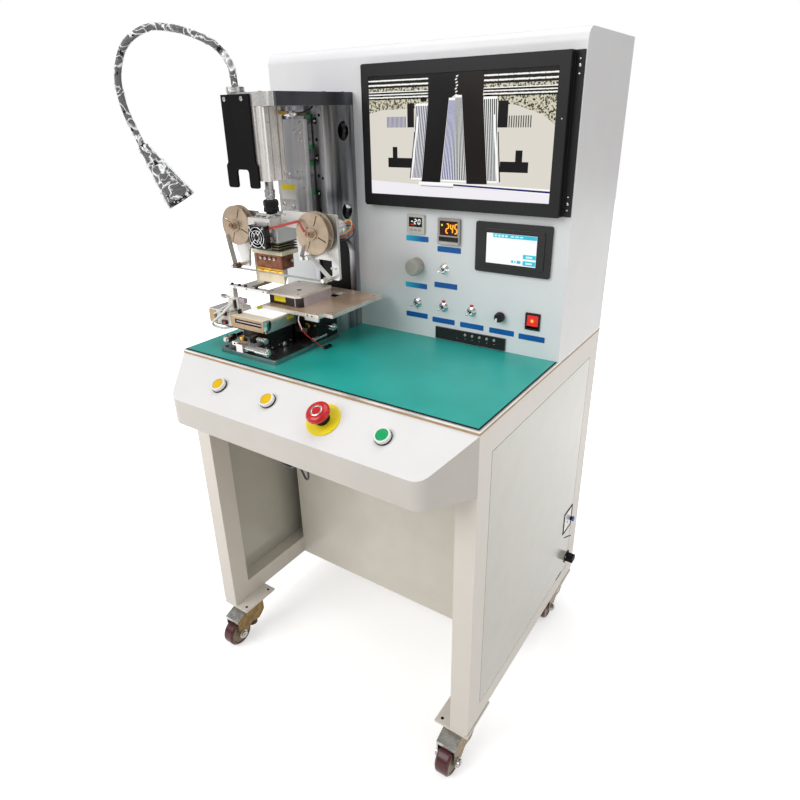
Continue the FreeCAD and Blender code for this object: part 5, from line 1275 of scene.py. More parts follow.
@dataclass
class SevenSegment:
    """A display's digits, drawn from seven bevelled bars each."""

    gap_share: float = 0.12
    lean: float = 0.08
    bars: tuple = ("abcdef", "bc", "abged", "abgcd", "fgbc", "afgcd", "afgedc", "abc", "abcdefg",
                   "abcdfg")

    def outline(self, bar: str, width: float, height: float, thick: float) -> list[
        tuple[float, float]]:
        """The corners of one bar in a cell that starts at nought."""
        half, gap = thick / 2, thick * self.gap_share
        middle = height / 2
        level = {"a": height - half, "g": middle, "d": half}
        if bar in level:
            z = level[bar]
            first, last = half + gap, width - half - gap
            return [(first, z), (first + half, z - half), (last - half, z - half), (last, z),
                    (last - half, z + half), (first + half, z + half)]
        x = half if bar in "ef" else width - half
        low, high = (half + gap, middle - gap) if bar in "ec" else (
            middle + gap, height - half - gap)
        return [(x, low), (x + half, low + half), (x + half, high - half), (x, high),
                (x - half, high - half), (x - half, low + half)]

    def row(self, name: str, digits: str, left: float, low: float, width: float, height: float,
            thick: float, pitch: float, level: float) -> Piece:
        """A row of digits on a plane that faces the operator.

        Args:
            name: The piece's name.
            digits: The digits to show.
            left: The left edge of the first digit.
            low: The digits' lower edge.
            width: A digit's width.
            height: A digit's height.
            thick: A bar's thickness.
            pitch: The step from digit to digit.
            level: Y of the display's face.

        Returns:
            The joined bars.
        """
        pieces = []
        for place, digit in enumerate(digits):
            for bar in self.bars[int(digit)]:
                corners = [(left + place * pitch + x + (z - height / 2) * self.lean, low + z)
                           for x, z in self.outline(bar, width, height, thick)]
                pieces.append(cut_plate(f"{name}_{place}{bar}", Plane.FRONT, corners, level, 0.15))
        return join(pieces, name)


@dataclass
class MachineView(Assembly):
    """The picture on the big screen: a plain view of two flex tails with their leads and pads."""

    level: float = 312.5
    left: float = -69.0
    right: float = 313.0
    low: float = 296.0
    high: float = 511.0
    layer_step: float = 0.06
    ink: float = 0.1

    def build(self) -> None:
        """Lay the picture down from the field to the finest lines."""
        self.plate("view_field", Plane.FRONT, oblong(self.left, self.low, self.right, self.high),
                   self.level, self.ink, Finishes.screen_cream)
        self.mark("view_foot", [(self.left, self.low), (self.right, self.low), (self.right, 311.5),
                                (45, 318.0), (self.left, 322.0)], Finishes.screen_foot, 1)
        self.speckle()
        self.stripes()
        self.tails()
        self.fans()
        self.pads()
        self.lines()

    def mark(self, name: str, outline: Outline, finish: Surface, layer: int) -> Piece:
        """One flat mark of the picture, a hair over the layer below it."""
        return self.plate(name, Plane.FRONT, outline, self.level - self.layer_step * layer,
                          self.ink, finish)

    def several(self, name: str, outlines: Sequence[Outline], finish: Surface,
                layer: int) -> Piece:
        """A set of flat marks joined into one piece."""
        level = self.level - self.layer_step * layer
        marks = [cut_plate(f"{name}_{index}", Plane.FRONT, outline, level, self.ink)
                 for index, outline in enumerate(outlines)]
        return self.fix(join(marks, name), finish)

    def speckle(self) -> None:
        """The grainy band of adhesive film behind the tails."""
        self.mark("view_band_left", [(-69, 446), (-40, 452), (66, 455), (66, 511), (-69, 511)],
                  Finishes.screen_speckle, 1)
        self.mark("view_band_right", [(178, 461), (240, 456), (290, 440), (313, 424), (313, 511),
                                      (178, 511)], Finishes.screen_speckle, 1)

    def stripes(self) -> None:
        """Dark and pale conductor stripes along the top, left and right of the tails."""
        dark = [(504.5, 511.0), (497.0, 501.5), (490.0, 493.5), (480.0, 482.6), (475.5, 477.6),
                (470.0, 472.4)]
        pale = [(502.0, 504.0), (494.2, 496.4), (482.8, 484.2), (478.0, 479.6), (473.0, 474.8)]
        for side, (first, last) in (("left", (self.left, 66.0)), ("right", (179.0, self.right))):
            for name, bands, finish in (("dark", dark, Finishes.screen_black),
                                        ("pale", pale, Finishes.screen_white)):
                self.several(f"view_{name}_{side}",
                             [oblong(first, low, last, high) for low, high in bands], finish, 2)
        breaks = [oblong(x, 484, x + 0.8, 511) for x in (206, 234, 262, 290)]
        self.several("view_breaks", breaks, Finishes.screen_black, 3)

    def tails(self) -> None:
        """The two near-black tails that taper down the picture."""
        self.mark("view_tail_left", [(66, 511), (66, 462), (51, 321), (93, 321), (109, 461),
                                     (116, 471), (124, 476), (124, 511)], Finishes.screen_black, 2)
        self.mark("view_tail_right", [(124, 511), (124, 476), (130, 474), (136, 467), (150, 323),
                                      (192, 324), (178, 473), (180, 511)], Finishes.screen_tail, 2)

    def fan(self, name: str, top: tuple[float, float], bottom: tuple[float, float], high: float,
            low: float, count: int, dark: Surface) -> None:
        """A fan of fine leads between two levels.

        Args:
            name: The fan's name.
            top: Its left and right at the top.
            bottom: Its left and right at the bottom.
            high: Its upper level.
            low: Its lower level.
            count: How many leads it has.
            dark: The finish of the gaps between the leads.
        """
        self.mark(f"{name}_ground", [(bottom[0], low), (bottom[1], low), (top[1], high),
                                     (top[0], high)], Finishes.screen_white, 3)
        leads = []
        for index in range(count):
            share, width = (index + 0.2) / count, 0.6 / count
            upper = [top[0] + (top[1] - top[0]) * (share + side * width) for side in (0, 1)]
            lower = [bottom[0] + (bottom[1] - bottom[0]) * (share + side * width)
                     for side in (0, 1)]
            leads.append([(lower[0], low + 3), (lower[1], low + 3), (upper[1], high - 4),
                          (upper[0], high - 4)])
        self.several(f"{name}_leads", leads, dark, 4)

    def fans(self) -> None:
        """The four fans of leads, two between the tails and one on each side."""
        self.fan("view_fan_inner_left", (110, 123), (96, 122), 470, 326, 7, Finishes.screen_violet)
        self.fan("view_fan_inner_right", (123, 136), (122, 149), 474, 326, 7, Finishes.screen_grey)
        self.fan("view_fan_left", (39, 66), (30, 52), 462, 327, 7, Finishes.screen_violet_grey)
        self.fan("view_fan_right", (179, 206), (192, 212), 470, 327, 7, Finishes.screen_grey)

    def pads(self) -> None:
        """Alignment pads and hatched scales, left and right."""
        self.several("view_pads", [oblong(20, 421, 35, 463), oblong(208, 420, 227, 463),
                                   oblong(-26, 348, 29, 366), oblong(-15, 366, -4, 386),
                                   oblong(216, 346, 270, 364), oblong(245, 364, 258, 383),
                                   oblong(50, 465, 62, 471), oblong(183, 468, 196, 473), ],
                     Finishes.screen_black, 2)
        self.several("view_scale_left", [oblong(x, 421, x + 1.4, 440) for x in range(-27, 17, 3)],
                     Finishes.screen_violet, 2)
        self.several("view_scale_right", [oblong(229 + 4.4 * step, 420, 231.0 + 4.4 * step, 439)
                                          for step in range(10)], Finishes.screen_grey, 2)

    def lines(self) -> None:
        """The long guide lines and the dotted line between the tails."""
        self.several("view_white_lines", [[(27, 327), (30, 327), (46, 440), (42, 440)],
                                          [(211, 329), (215, 329), (203, 441), (199, 441)],
                                          [(45, 318.4), (124, 317.6), (313, 311.5), (313, 320),
                                           (122, 323.5), (45, 323.5)]], Finishes.screen_white, 5)
        self.several("view_dark_lines", [[(24.6, 329), (26.6, 329), (37, 413), (35.4, 413)],
                                         [(216, 329), (218.2, 329), (211, 413), (209.2, 413)]],
                     Finishes.screen_black, 5)
        self.several("view_blue_line", [[(122, 318.4), (313, 313.6), (313, 317), (122, 321.6)],
                                        [(50, 315.4), (122, 315.0), (122, 316), (50, 316.4)]],
                     Finishes.screen_navy, 6)
        dots = [[(121.5 + (z % 3), z), (125.5 + (z % 3), z + 1), (126.5 + (z % 3), z + 3.4),
                 (122.5 + (z % 3), z + 2.4)] for z in range(478, 508, 5)]
        self.several("view_dots", dots, Finishes.screen_white, 5)


@dataclass
class ControlCabinet(Assembly):
    """The upper cabinet: screens, instruments, bare name plates, switches and keys."""

    face: float = 331.0
    plates: tuple = ((29.5, 208.5, True), (105.0, 192.5, False), (26.5, 109.5, True),
                     (98.5, 118.0, False), (28.0, 44.5, False), (94.2, 41.3, False),
                     (161.2, 40.8, False), (228.2, 40.2, False), (292.2, 38.6, False))
    toggles: tuple = ((94.5, 152.0), (29.5, 72.0), (94.5, 72.0), (160.0, 72.0))

    def build(self) -> None:
        """Dress the cabinet and everything on its front."""
        dress("upper_cabinet", Finishes.cabinet_white, 0.8)
        self.screen()
        self.touch_panel()
        self.instruments()
        for index, (x, z, fading) in enumerate(self.plates, start=1):
            self.name_plate(index, x, z, fading)
        self.knobs()
        self.switches()
        self.keys()

    def name_plate(self, index: int, x: float, z: float, fading: bool) -> None:
        """A bare printed plate under a control, some of them cyan on the left."""
        outline = oblong(x - 27, z - 5.6, x + 27, z + 5.6)
        self.plate(f"name_plate_{index}", Plane.FRONT, outline, self.face, 0.7,
                   Finishes.label_fade if fading else Finishes.label_blue, 1.4, 0.2)

    def screen(self) -> None:
        """The big screen's case, its flange screws, a small eye and the picture."""
        dress("monitor_case", Finishes.monitor_black, 1.6, 3)
        low, _ = MACHINE.node("monitor_case")
        MachineView().build()
        for index, (z, radius) in enumerate(((521.0, 1.5), (511.8, 2.6), (499.6, 1.7), (307.0, 1.5),
                                             (295.4, 2.6), (284.8, 1.7))):
            self.spun(f"flange_screw_{index + 1}", (340.2, self.face - 2.0, z), Axis.FRONT,
                      [(radius, -0.2), (radius, 0.6), (radius * 0.7, 1.0)], Finishes.zinc, 16)
        self.spun("screen_eye", (324.0, low.y, 433.0), Axis.FRONT,
                  [(1.3, -0.2), (1.3, 0.3), (0.8, 0.5)], Finishes.grey_plastic, 16)

    def touch_panel(self) -> None:
        """The touch panel's case, its silver outline and a plain page of coloured fields."""
        dress("hmi_panel", Finishes.touch_black, 0.8, 3)
        low, _ = MACHINE.node("hmi_panel")
        self.plate("touch_outline", Plane.FRONT, oblong(183.4, 173.6, 305.4, 243.2), low.y + 2.0,
                   0.35, Finishes.silver_plastic, 1.6, 0.0, 0.9)
        self.plate("touch_line", Plane.FRONT, oblong(187.2, 176.2, 301.0, 240.2), low.y + 1.9, 0.3,
                   Finishes.silver_plastic, 1.0, 0.0, 0.5)
        glass = self.face - 7.0
        self.plate("touch_border", Plane.FRONT, oblong(188.2, 177.2, 293.3, 236.8), glass, 0.12,
                   Finishes.gloss_black)
        self.plate("touch_page", Plane.FRONT, oblong(190.6, 178.6, 292.2, 235.6), glass - 0.08,
                   0.12, Finishes.screen_white)
        fields = [oblong(204, 228.0, 291.8, 235.2), oblong(266.5, 192.5, 291.8, 200.5),
                  oblong(266.5, 180.2, 291.8, 188.8)]
        self.several_fields("touch_fields", fields, glass - 0.16, Finishes.screen_cyan)
        bars = [oblong(207 + 7.2 * step, 229.8, 212 + 7.2 * step, 233.4) for step in range(4)]
        bars += [oblong(240 + 9 * step, 230.4, 246.5 + 9 * step, 232.8) for step in range(3)]
        bars += [oblong(272, 194.5, 285, 198), oblong(272, 183, 285, 186)]
        self.several_fields("touch_bars", bars, glass - 0.24, Finishes.screen_pale_cyan)
        small = [oblong(243.5, 183.0, 247.5, 188.0), oblong(249.5, 183.6, 252.5, 186.6),
                 oblong(254.5, 182.6, 262.5, 188.2)]
        self.several_fields("touch_small_fields", small, glass - 0.16, Finishes.screen_cyan)

    def several_fields(self, name: str, outlines: Sequence[Outline], level: float,
                       finish: Surface) -> Piece:
        """Flat fields on a display, joined into one piece."""
        fields = [cut_plate(f"{name}_{index}", Plane.FRONT, outline, level, 0.1) for index,
                  outline in enumerate(outlines)]
        return self.fix(join(fields, name), finish)

    def instruments(self) -> None:
        """The pressure display, the temperature meter and the key strip."""
        unit = dress("panel_instruments", Finishes.gloss_black, 0.5)
        paint(unit, Finishes.grey_plastic, lambda centre, normal: centre.x < 60)
        paint(unit, Finishes.gloss_black, lambda centre, normal: 12 < centre.x < 44
              and 232.5 < centre.z < 252.2 and centre.y > 326.2)
        paint(unit, Finishes.meter_frame, lambda centre, normal: 75 < centre.x < 135
              and centre.z > 200)
        paint(unit, Finishes.screen_brown, lambda centre, normal: 85.9 < centre.x < 126.1
              and 221.6 < centre.z < 250.1 and centre.y > 325.2)
        digits = SevenSegment()
        self.fix(digits.row("gauge_digits", "20", 24.0, 238.0, 6.6, 10.6, 1.7, 9.0, 326.9),
                 Finishes.digit_white)
        self.plate("gauge_sign", Plane.FRONT, oblong(17.4, 242.6, 21.6, 244.4), 326.9, 0.15,
                   Finishes.digit_white)
        self.plate("gauge_red_bar", Plane.FRONT, oblong(15.6, 236.2, 24.0, 238.0), 326.9, 0.15,
                   Finishes.digit_red)
        for index, x in enumerate((18.4, 28.0, 37.6)):
            self.block(f"gauge_key_{index + 1}", (x - 3, 324.9, 224.6), (x + 3, 326.4, 228.8),
                       Finishes.silver_plastic, 0.5)
        halo = digits.row("meter_halo", "245", 98.6, 224.6, 8.6, 21.5, 4.2, 9.6, 325.9)
        self.fix(halo, Finishes.digit_red)
        self.fix(digits.row("meter_digits", "245", 99.4, 225.6, 7.4, 19.8, 2.0, 9.6, 325.75),
                 Finishes.digit_amber)
        self.plate("meter_lamp", Plane.FRONT, oblong(89.0, 239.6, 92.6, 243.4), 325.9, 0.15,
                   Finishes.lamp_green, 0.8)
        keys = [cuboid(f"meter_key_{index}", (85.6 + 10.4 * index, 324.0, 211.0),
                       (94.6 + 10.4 * index, 325.6, 217.4), 0.6) for index in range(4)]
        self.fix(join(keys, "meter_keys"), Finishes.gloss_black)
        self.plate("meter_key_ground", Plane.FRONT, oblong(84.0, 210.0, 128.0, 219.0), 325.0, 0.3,
                   Finishes.gloss_black, 0.6)
        self.plate("meter_low_band", Plane.FRONT, oblong(84.0, 204.6, 128.0, 208.6), 325.0, 0.35,
                   Finishes.grey_plastic, 0.5)
        self.plate("strip_lamp", Plane.FRONT, oblong(129.0, 9.6, 130.6, 11.2), 327.0, 0.2,
                   Finishes.silver_plastic)

    def knobs(self) -> None:
        """The ribbed regulator knob, and the dimmer knob with a white patch on its face."""
        self.ribbed_knob()
        dress("dimmer_knob", Finishes.gloss_black, 0.4)
        low, high = MACHINE.node("dimmer_knob")
        x, z = (low.x + high.x) / 2, (low.z + high.z) / 2
        ribs = []
        hub = Matrix.Translation(MACHINE.at(x, low.y + 8.4, z))
        for index in range(18):
            turn = Matrix.Rotation(math.radians(20 * index), 4, "Y")
            ribs.append(local_block(f"dimmer_rib_{index}", (9.6, -4.5, -0.55), (10.25, 4.5, 0.55),
                                    0.15, hub @ turn))
        self.fix(join(ribs, "dimmer_ribs"), Finishes.gloss_black, "dimmer_knob")
        # A white patch on the lower left of the dimmer knob's face.
        self.block("dimmer_white_patch", (x - 5.4, low.y - 0.25, z - 7.4),
                   (x - 1.2, low.y + 0.4, z - 0.6), Finishes.white_plastic, 0.3, "dimmer_knob")

    def ribbed_knob(self) -> None:
        """The regulator's cap: fine ribs round it, a dished face and a black ring behind."""
        low, high = MACHINE.node("regulator_knob")
        place = MACHINE.at((low.x + high.x) / 2, high.y, (low.z + high.z) / 2)
        depth, radius = high.y - low.y, (high.x - low.x) / 2
        deselect()
        count = 44
        bpy.ops.mesh.primitive_circle_add(vertices=count * 4, radius=radius * MM, fill_type="NGON")
        cap = active_piece("regulator_cap")
        for index, vertex in enumerate(cap.data.vertices):
            if index % 4 in (2, 3):
                vertex.co *= 0.965
        bpy.ops.object.mode_set(mode="EDIT")
        bpy.ops.mesh.select_all(action="SELECT")
        level = 0.0
        for scale, high_mm in ((1.0, 0.62 * depth), (0.995, 0.8 * depth), (0.95, 0.93 * depth),
                               (0.88, depth), (0.8, depth), (0.96, depth - 0.7),
                               (0.75, depth - 0.7), (0.97, depth), (0.5, depth),
                               (0.94, depth - 0.5), (0.2, depth - 0.5)):
            bpy.ops.mesh.extrude_region_move(
                TRANSFORM_OT_translate={"value": (0, 0, (high_mm - level) * MM)})
            bpy.ops.transform.resize(value=(scale, scale, 1.0),
                                     center_override=(0, 0, high_mm * MM))
            level = high_mm
        bpy.ops.mesh.select_all(action="SELECT")
        bpy.ops.mesh.normals_make_consistent(inside=False)
        bpy.ops.object.mode_set(mode="OBJECT")
        apply_place(cap, facing(place, Axis.FRONT.vector))
        bpy.ops.object.shade_smooth_by_angle(angle=math.radians(28))
        paint(cap, Finishes.knob_grey)
        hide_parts("regulator_knob")
        self.fix(cap, None, "regulator_knob")
        self.spun("regulator_base", ((low.x + high.x) / 2, self.face, (low.z + high.z) / 2),
                  Axis.FRONT, [(14.9, 0.0), (15.6, 0.4), (15.6, 3.2), (14.8, 3.6), (4.0, 3.7)],
                  Finishes.rubber_black, 48)

    def switches(self) -> None:
        """Toggle switches with their sleeves and dished washers, and the lit rocker."""
        for index, (x, z) in enumerate(self.toggles, start=1):
            dress(f"toggle_lever_{index}", Finishes.chrome, 0.3, 3)
            self.spun(f"toggle_washer_{index}", (x, self.face, z), Axis.FRONT,
                      [(10.6, 0.0), (10.6, 0.5), (9.9, 1.0), (8.9, 1.1)], Finishes.chrome, 40)
            if index == 2:
                continue
            self.block(f"switch_tab_{index}", (x - 3.6, self.face - 2.4, z + 9.6),
                       (x + 3.6, self.face, z + 14.6), Finishes.tab_red if index > 2
                       else Finishes.tab_pale, 0.9)
        self.spun("small_fitting_tip", (29.5, self.face, 60.6), Axis.FRONT,
                  [(2.2, 0), (2.2, 2.0), (1.5, 3.0)], Finishes.chrome, 20)
        dress("rocker_paddle", Finishes.rocker_red, 0.5)
        low, high = MACHINE.node("rocker_paddle")
        across, level = (low.x + high.x) / 2, (low.z + high.z) / 2
        lamp = ("lamp", 0.25, [(2.6, 0.0), (2.4, 0.35), (1.2, 0.55)], Finishes.rocker_spot)
        halo = ("halo", 0.2, [(4.8, 0.0), (4.6, 0.25), (2.6, 0.3)], Finishes.rocker_halo)
        for name, inset, rings, finish in (lamp, halo):
            self.spun(f"rocker_{name}", (across, low.y + inset, level), Axis.FRONT, rings, finish,
                      24, "rocker_paddle")

    def keys(self) -> None:
        """The screen's five small keys, each with a dished cap and a bare mark below."""
        for index in range(1, 6):
            dress(f"osd_key_{index}", Finishes.key_silver, 0.35, 3)
            low, high = MACHINE.node(f"osd_key_{index}")
            x = (low.x + high.x) / 2
            self.plate(f"key_mark_{index}", Plane.FRONT, oblong(x - 1.4, 11.2, x + 1.4, 12.4),
                       327.0, 0.15, Finishes.silver_plastic)


@dataclass
class PressColumn(Assembly):
    """The throated column with its head plate, air cylinder, black front bracket and guide."""

    plate_low: float = 463.5
    plate_top: float = 487.0
    front: float = 95.0

    def build(self) -> None:
        """Dress the column and add its screws, fittings and hole rims."""
        column = dress("head_column", Finishes.ground_steel, 0.7)
        paint(column, Finishes.top_steel, lambda centre, normal: centre.z > self.plate_low)
        paint(column, Finishes.edge_steel, lambda centre, normal: centre.z > self.plate_low
              and normal.y < -0.5)
        paint(column, Finishes.column_back, lambda centre, normal: centre.y > 320
              and normal.y < -0.5)
        paint(column, Finishes.bright_steel, lambda centre, normal: abs(centre.x + 172) < 8.2
              and 225 < centre.y < 238)
        dress("cylinder_body", Finishes.cylinder_aluminium, 0.5)
        dress("front_bracket", Finishes.bracket_black, 0.7)
        self.bracket_details()
        self.fittings()
        self.hole_rims()
        self.guide_details()
        # A black sheet in the lower part of the column's throat: painted shade.
        self.block("throat_shade", (-227.5, 320.8, 70.0), (-138.5, 322.6, 204.0),
                   Finishes.rubber_black, 0.2)

    def bracket_details(self) -> None:
        """Two screws at the top of the black bracket, four tapped holes, and its bare face."""
        self.screws("bracket_screws", [(-238.5, self.front, 476.5), (-194.0, self.front, 476.5)],
                    Axis.FRONT, Finishes.zinc, 4.2, 1.3)
        for index, (x, z) in enumerate(((-242.5, 453.5), (-194.5, 453.5), (-198.5, 390.5),
                                        (-243.5, 390.5)), start=1):
            self.spun(f"bracket_hole_{index}", (x, self.front + 0.05, z), Axis.FRONT,
                      [(3.9, 0), (3.9, 0.12), (3.3, 0.12), (3.2, 0.02)], Finishes.gloss_black, 24)

    def fittings(self) -> None:
        """Air fittings on the cylinder's head, right of it, and the port plugs on its side."""
        y, z = 160.0, 452.0
        self.spun("cylinder_nipple", (-150.5, 146.0, z), Axis.RIGHT,
                  [(3.6, -2), (3.6, 5), (5.2, 5.2), (5.2, 9), (4.2, 9.2), (4.2, 12), (2.6, 12.4)],
                  Finishes.brass, 6)
        self.spun("cylinder_elbow", (-150.5, y, z - 2), Axis.RIGHT, [
            (3.4, -2), (3.4, 6), (5.0, 6.2), (5.0, 13), (3.0, 13.2)], Finishes.chrome, 24)
        self.spun("cylinder_branch", (-142.0, y, z - 2), Axis.BACK, [
            (4.4, 0), (4.4, 10), (5.2, 10.4), (5.2, 15), (3.2, 15.4)], Finishes.chrome, 24)
        self.wire("air_hose", [(-142, 171, 450), (-142, 186, 450), (-140.5, 204, 452),
                               (-140.5, 218, 456), (-141, 226, 462.0)], 2.0, Finishes.hose_black,
                  stiffness="stiff")
        self.spun("cylinder_low_port", (-150.2, 148.0, 346.0), Axis.RIGHT, [
            (3.0, -2), (3.0, 3), (4.4, 3.2), (4.4, 7.5), (2.4, 7.9)], Finishes.chrome, 6)
        self.spun("cylinder_lamp", (-150.0, 112.0, 436.0), Axis.RIGHT,
                  [(1.8, 0), (1.8, 0.5), (1.0, 0.7)], Finishes.zinc, 16)
        places = [(x, y, self.plate_top) for x in (-197.5, -156.5) for y in (106.5, 147.5)]
        places += [(x, y, self.plate_top) for y in (308.0, 250.0) for x in (-235.5, -130.5)]
        self.screws("head_plate_screws", places, Axis.UP, Finishes.black_steel, 3.6, 0.9)

    def hole_rims(self) -> None:
        """Bright chamfers round the two spy holes in each side plate."""
        for side, x, axis in (("right", -123.0, Axis.RIGHT), ("left", -243.0, Axis.LEFT)):
            for name, z in (("high", 416.0), ("low", 259.0)):
                ring = turned(f"hole_rim_{side}_{name}", MACHINE.at(x, 295.0, z), axis.vector, [
                    (18.4, -0.2), (18.4, 0.12), (17.2, 0.12), (17.0, -0.8), (17.0, -7.0)], 48)
                self.open_ends(ring)
                self.fix(ring, Finishes.bright_steel)

    def open_ends(self, ring: Piece) -> None:
        """Take the end discs off a turned ring and give its wall a thickness."""
        select_only(ring)
        bpy.ops.object.mode_set(mode="EDIT")
        bpy.ops.mesh.select_all(action="DESELECT")
        bpy.ops.object.mode_set(mode="OBJECT")
        for face in ring.data.polygons:
            face.select = len(face.vertices) > 4
        bpy.ops.object.mode_set(mode="EDIT")
        bpy.ops.mesh.delete(type="FACE")
        bpy.ops.object.mode_set(mode="OBJECT")
        wall = ring.modifiers.new("Wall", "SOLIDIFY")
        wall.thickness = 0.15 * MM
        wall.offset = 1.0
        bpy.ops.object.modifier_apply(modifier=wall.name)

    def guide_details(self) -> None:
        """Socket screws of the rail's clamp, down the front edge of the right side plate."""
        places = [(-145.0, 238.0, z) for z in (436, 368, 300)]
        self.screws("guide_screws", places, Axis.FRONT, Finishes.black_steel, 6.0, 4.0)
        self.screws("guide_pins", [(x, y - 4.0, z) for x, y, z in places], Axis.FRONT,
                    Finishes.chrome, 2.6, 1.4)
        self.screws("guide_rail_screws", [(-145.0, 238.0, z) for z in (402, 334, 266)], Axis.FRONT,
                    Finishes.black_steel, 3.4, 2.0)
        places = [(-131.0, 232.0, z) for z in (446, 330, 226)]
        self.screws("side_plate_screws", places, Axis.FRONT, Finishes.black_steel, 3.0, 0.6)


@dataclass
class PressHead(Assembly):
    """The sliding head: slide, hot end, fan, reels, tape and wiring."""

    body: str = "press_head"
    tape_front: float = 94.0
    tape_back: float = 106.0
    reel_level: float = 248.0
    screw_circle: float = 14.5
    reels: tuple = (("left", -254.0), ("right", -53.0))

    def build(self) -> None:
        """Dress the head and add its small parts."""
        self.slide()
        self.carrier()
        self.hot_end()
        self.fan()
        self.reel_details()
        self.tape()
        self.motor()
        self.fan_wires()

    def slide(self) -> None:
        """The slide plate with its trucks, seals, screws and bare plate."""
        slide = dress("press_slide", Finishes.slide_steel, 0.5)
        paint(slide, Finishes.truck_steel, lambda centre, normal: centre.y > 215.5)
        seals, lips = [], []
        for index, z in enumerate((446.0, 385.4, 360.0, 299.4)):
            start = z if index % 2 else z - 6.0
            seals.append(cuboid(f"truck_seal_{index}", (-188.6, 216.4, z), (-155.4, 225.2, z + 1.6),
                                0.3))
            seals.append(cuboid(f"truck_seal_leg_{index}", (-163.6, 225.0, start),
                                (-154.6, 234.4, start + 7.6), 0.3))
            seals.append(cuboid(f"truck_seal_foot_{index}", (-188.6, 225.0, z),
                                (-180.4, 234.4, z + 1.6), 0.3))
            low = z - 1.0 if index % 2 else z + 1.6
            lips.append(cuboid(f"truck_lip_{index}", (-188.2, 216.8, low),
                               (-155.8, 225.0, low + 1.0), 0.2))
        self.fix(join(seals, "truck_seals"), Finishes.rail_green)
        self.fix(join(lips, "truck_lips"), Finishes.seal_red)
        places = [(-157.0, 203.0, z) for z in (433.0, 418.0, 403.0, 343.0, 313.0)]
        places += [(-172.0, 203.0, 419.0), (-172.0, 203.0, 343.0), (-206.0, 203.0, 433.0),
                   (-206.0, 203.0, 403.0)]
        self.screws("slide_screws", places, Axis.FRONT, Finishes.zinc, 3.6, 0.8)
        self.plate("slide_name_plate", Plane.FRONT, oblong(-205, 292, -166, 322), 189.0, 0.6,
                   Finishes.plate_white, 1.6, 0.15)
        self.plate("slide_name_band", Plane.FRONT, oblong(-203.8, 310.6, -167.2, 320.8), 188.4,
                   0.15, Finishes.patch_yellow, 1.2)
        self.screws("slide_foot_screws", [(-201.0, 189.0, 281.0), (-176.0, 189.0, 276.5)],
                    Axis.FRONT, Finishes.zinc, 5.0, 1.4)
        rod = dress("piston_rod", Finishes.bright_steel, 0.4, 3)
        paint(rod, Finishes.black_steel, lambda centre, normal: 268.6 < centre.z < 299.5)
        self.spun("rod_joint_jacket", (-177.0, 127.0, 276.0), Axis.UP,
                  [(13.6, 0), (15.0, 1.2), (15.0, 7.0), (14.2, 8.0), (14.2, 11.5), (15.0, 12.5),
                   (15.0, 20), (12.6, 23.4), (9.0, 23.8)], Finishes.black_steel, 8)
        self.spun("rod_lock_nut", (-177.0, 127.0, 302.0), Axis.UP,
                  [(9.6, 0), (10.4, 0.7), (10.4, 5.6), (9.6, 6.3), (8.2, 6.4)], Finishes.zinc, 6)
        self.spun("rod_collar", (-177.0, 127.0, 312.0), Axis.UP,
                  [(9.6, 0), (10.2, 0.6), (10.2, 4.6), (9.6, 5.2), (8.2, 5.3)], Finishes.chrome, 40)

    def carrier(self) -> None:
        """The carrier's clamps and screws, and the red index strip."""
        dress("head_bracket", Finishes.pale_aluminium, 0.6)
        self.screws("carrier_screws", [(x, y, 268.0) for x in (-200.0, -186.0, -168.0)
                                       for y in (108.0, 160.0)] + [(-160.0, 134.0, 268.0)], Axis.UP,
                    Finishes.zinc, 3.4, 2.4)
        self.block("carrier_clamp", (-206, 112, 268), (-164, 122, 273), Finishes.pale_aluminium,
                   0.8)
        self.spun("carrier_boss", (-177, 127, 267.5), Axis.UP,
                  [(16, 0), (16, 2.4), (14.6, 3.4), (12, 3.6)], Finishes.bright_steel, 40)
        self.block("carrier_lower_plate", (-196, 96.2, 241.0), (-158, 148, 249.8),
                   Finishes.slide_steel, 0.6)
        self.screws("carrier_face_screws", [(-192.0, 95.0, 259.0), (-158.0, 95.0, 259.0)],
                    Axis.FRONT, Finishes.zinc, 2.8, 1.2)
        strip = [(-172, 94.2, 244.5), (-172, 94.2, 248.5), (-80.5, 94.2, 271.5),
                 (-78.5, 94.2, 267.2)]
        tail = [(-80.5, 94.2, 271.5), (-76.0, 94.2, 271.0), (-61.5, 94.2, 251.5),
                (-67.5, 94.2, 250.5)]
        for name, corners in (("index_strip", strip), ("index_strip_tail", tail)):
            self.plate(name, Plane.FRONT, [(x, z) for x, _, z in corners], 93.9, 1.0,
                       Finishes.mark_red, 0.0, 0.2)
        self.screws("arm_screws", [(-140, 124.0, 262), (-140, 124.0, 274), (-30, 124.0, 182),
                                   (-21, 124.0, 182), (-268, 124.0, 226), (-276, 124.0, 214)],
                    Axis.FRONT, Finishes.zinc, 2.6, 1.6)

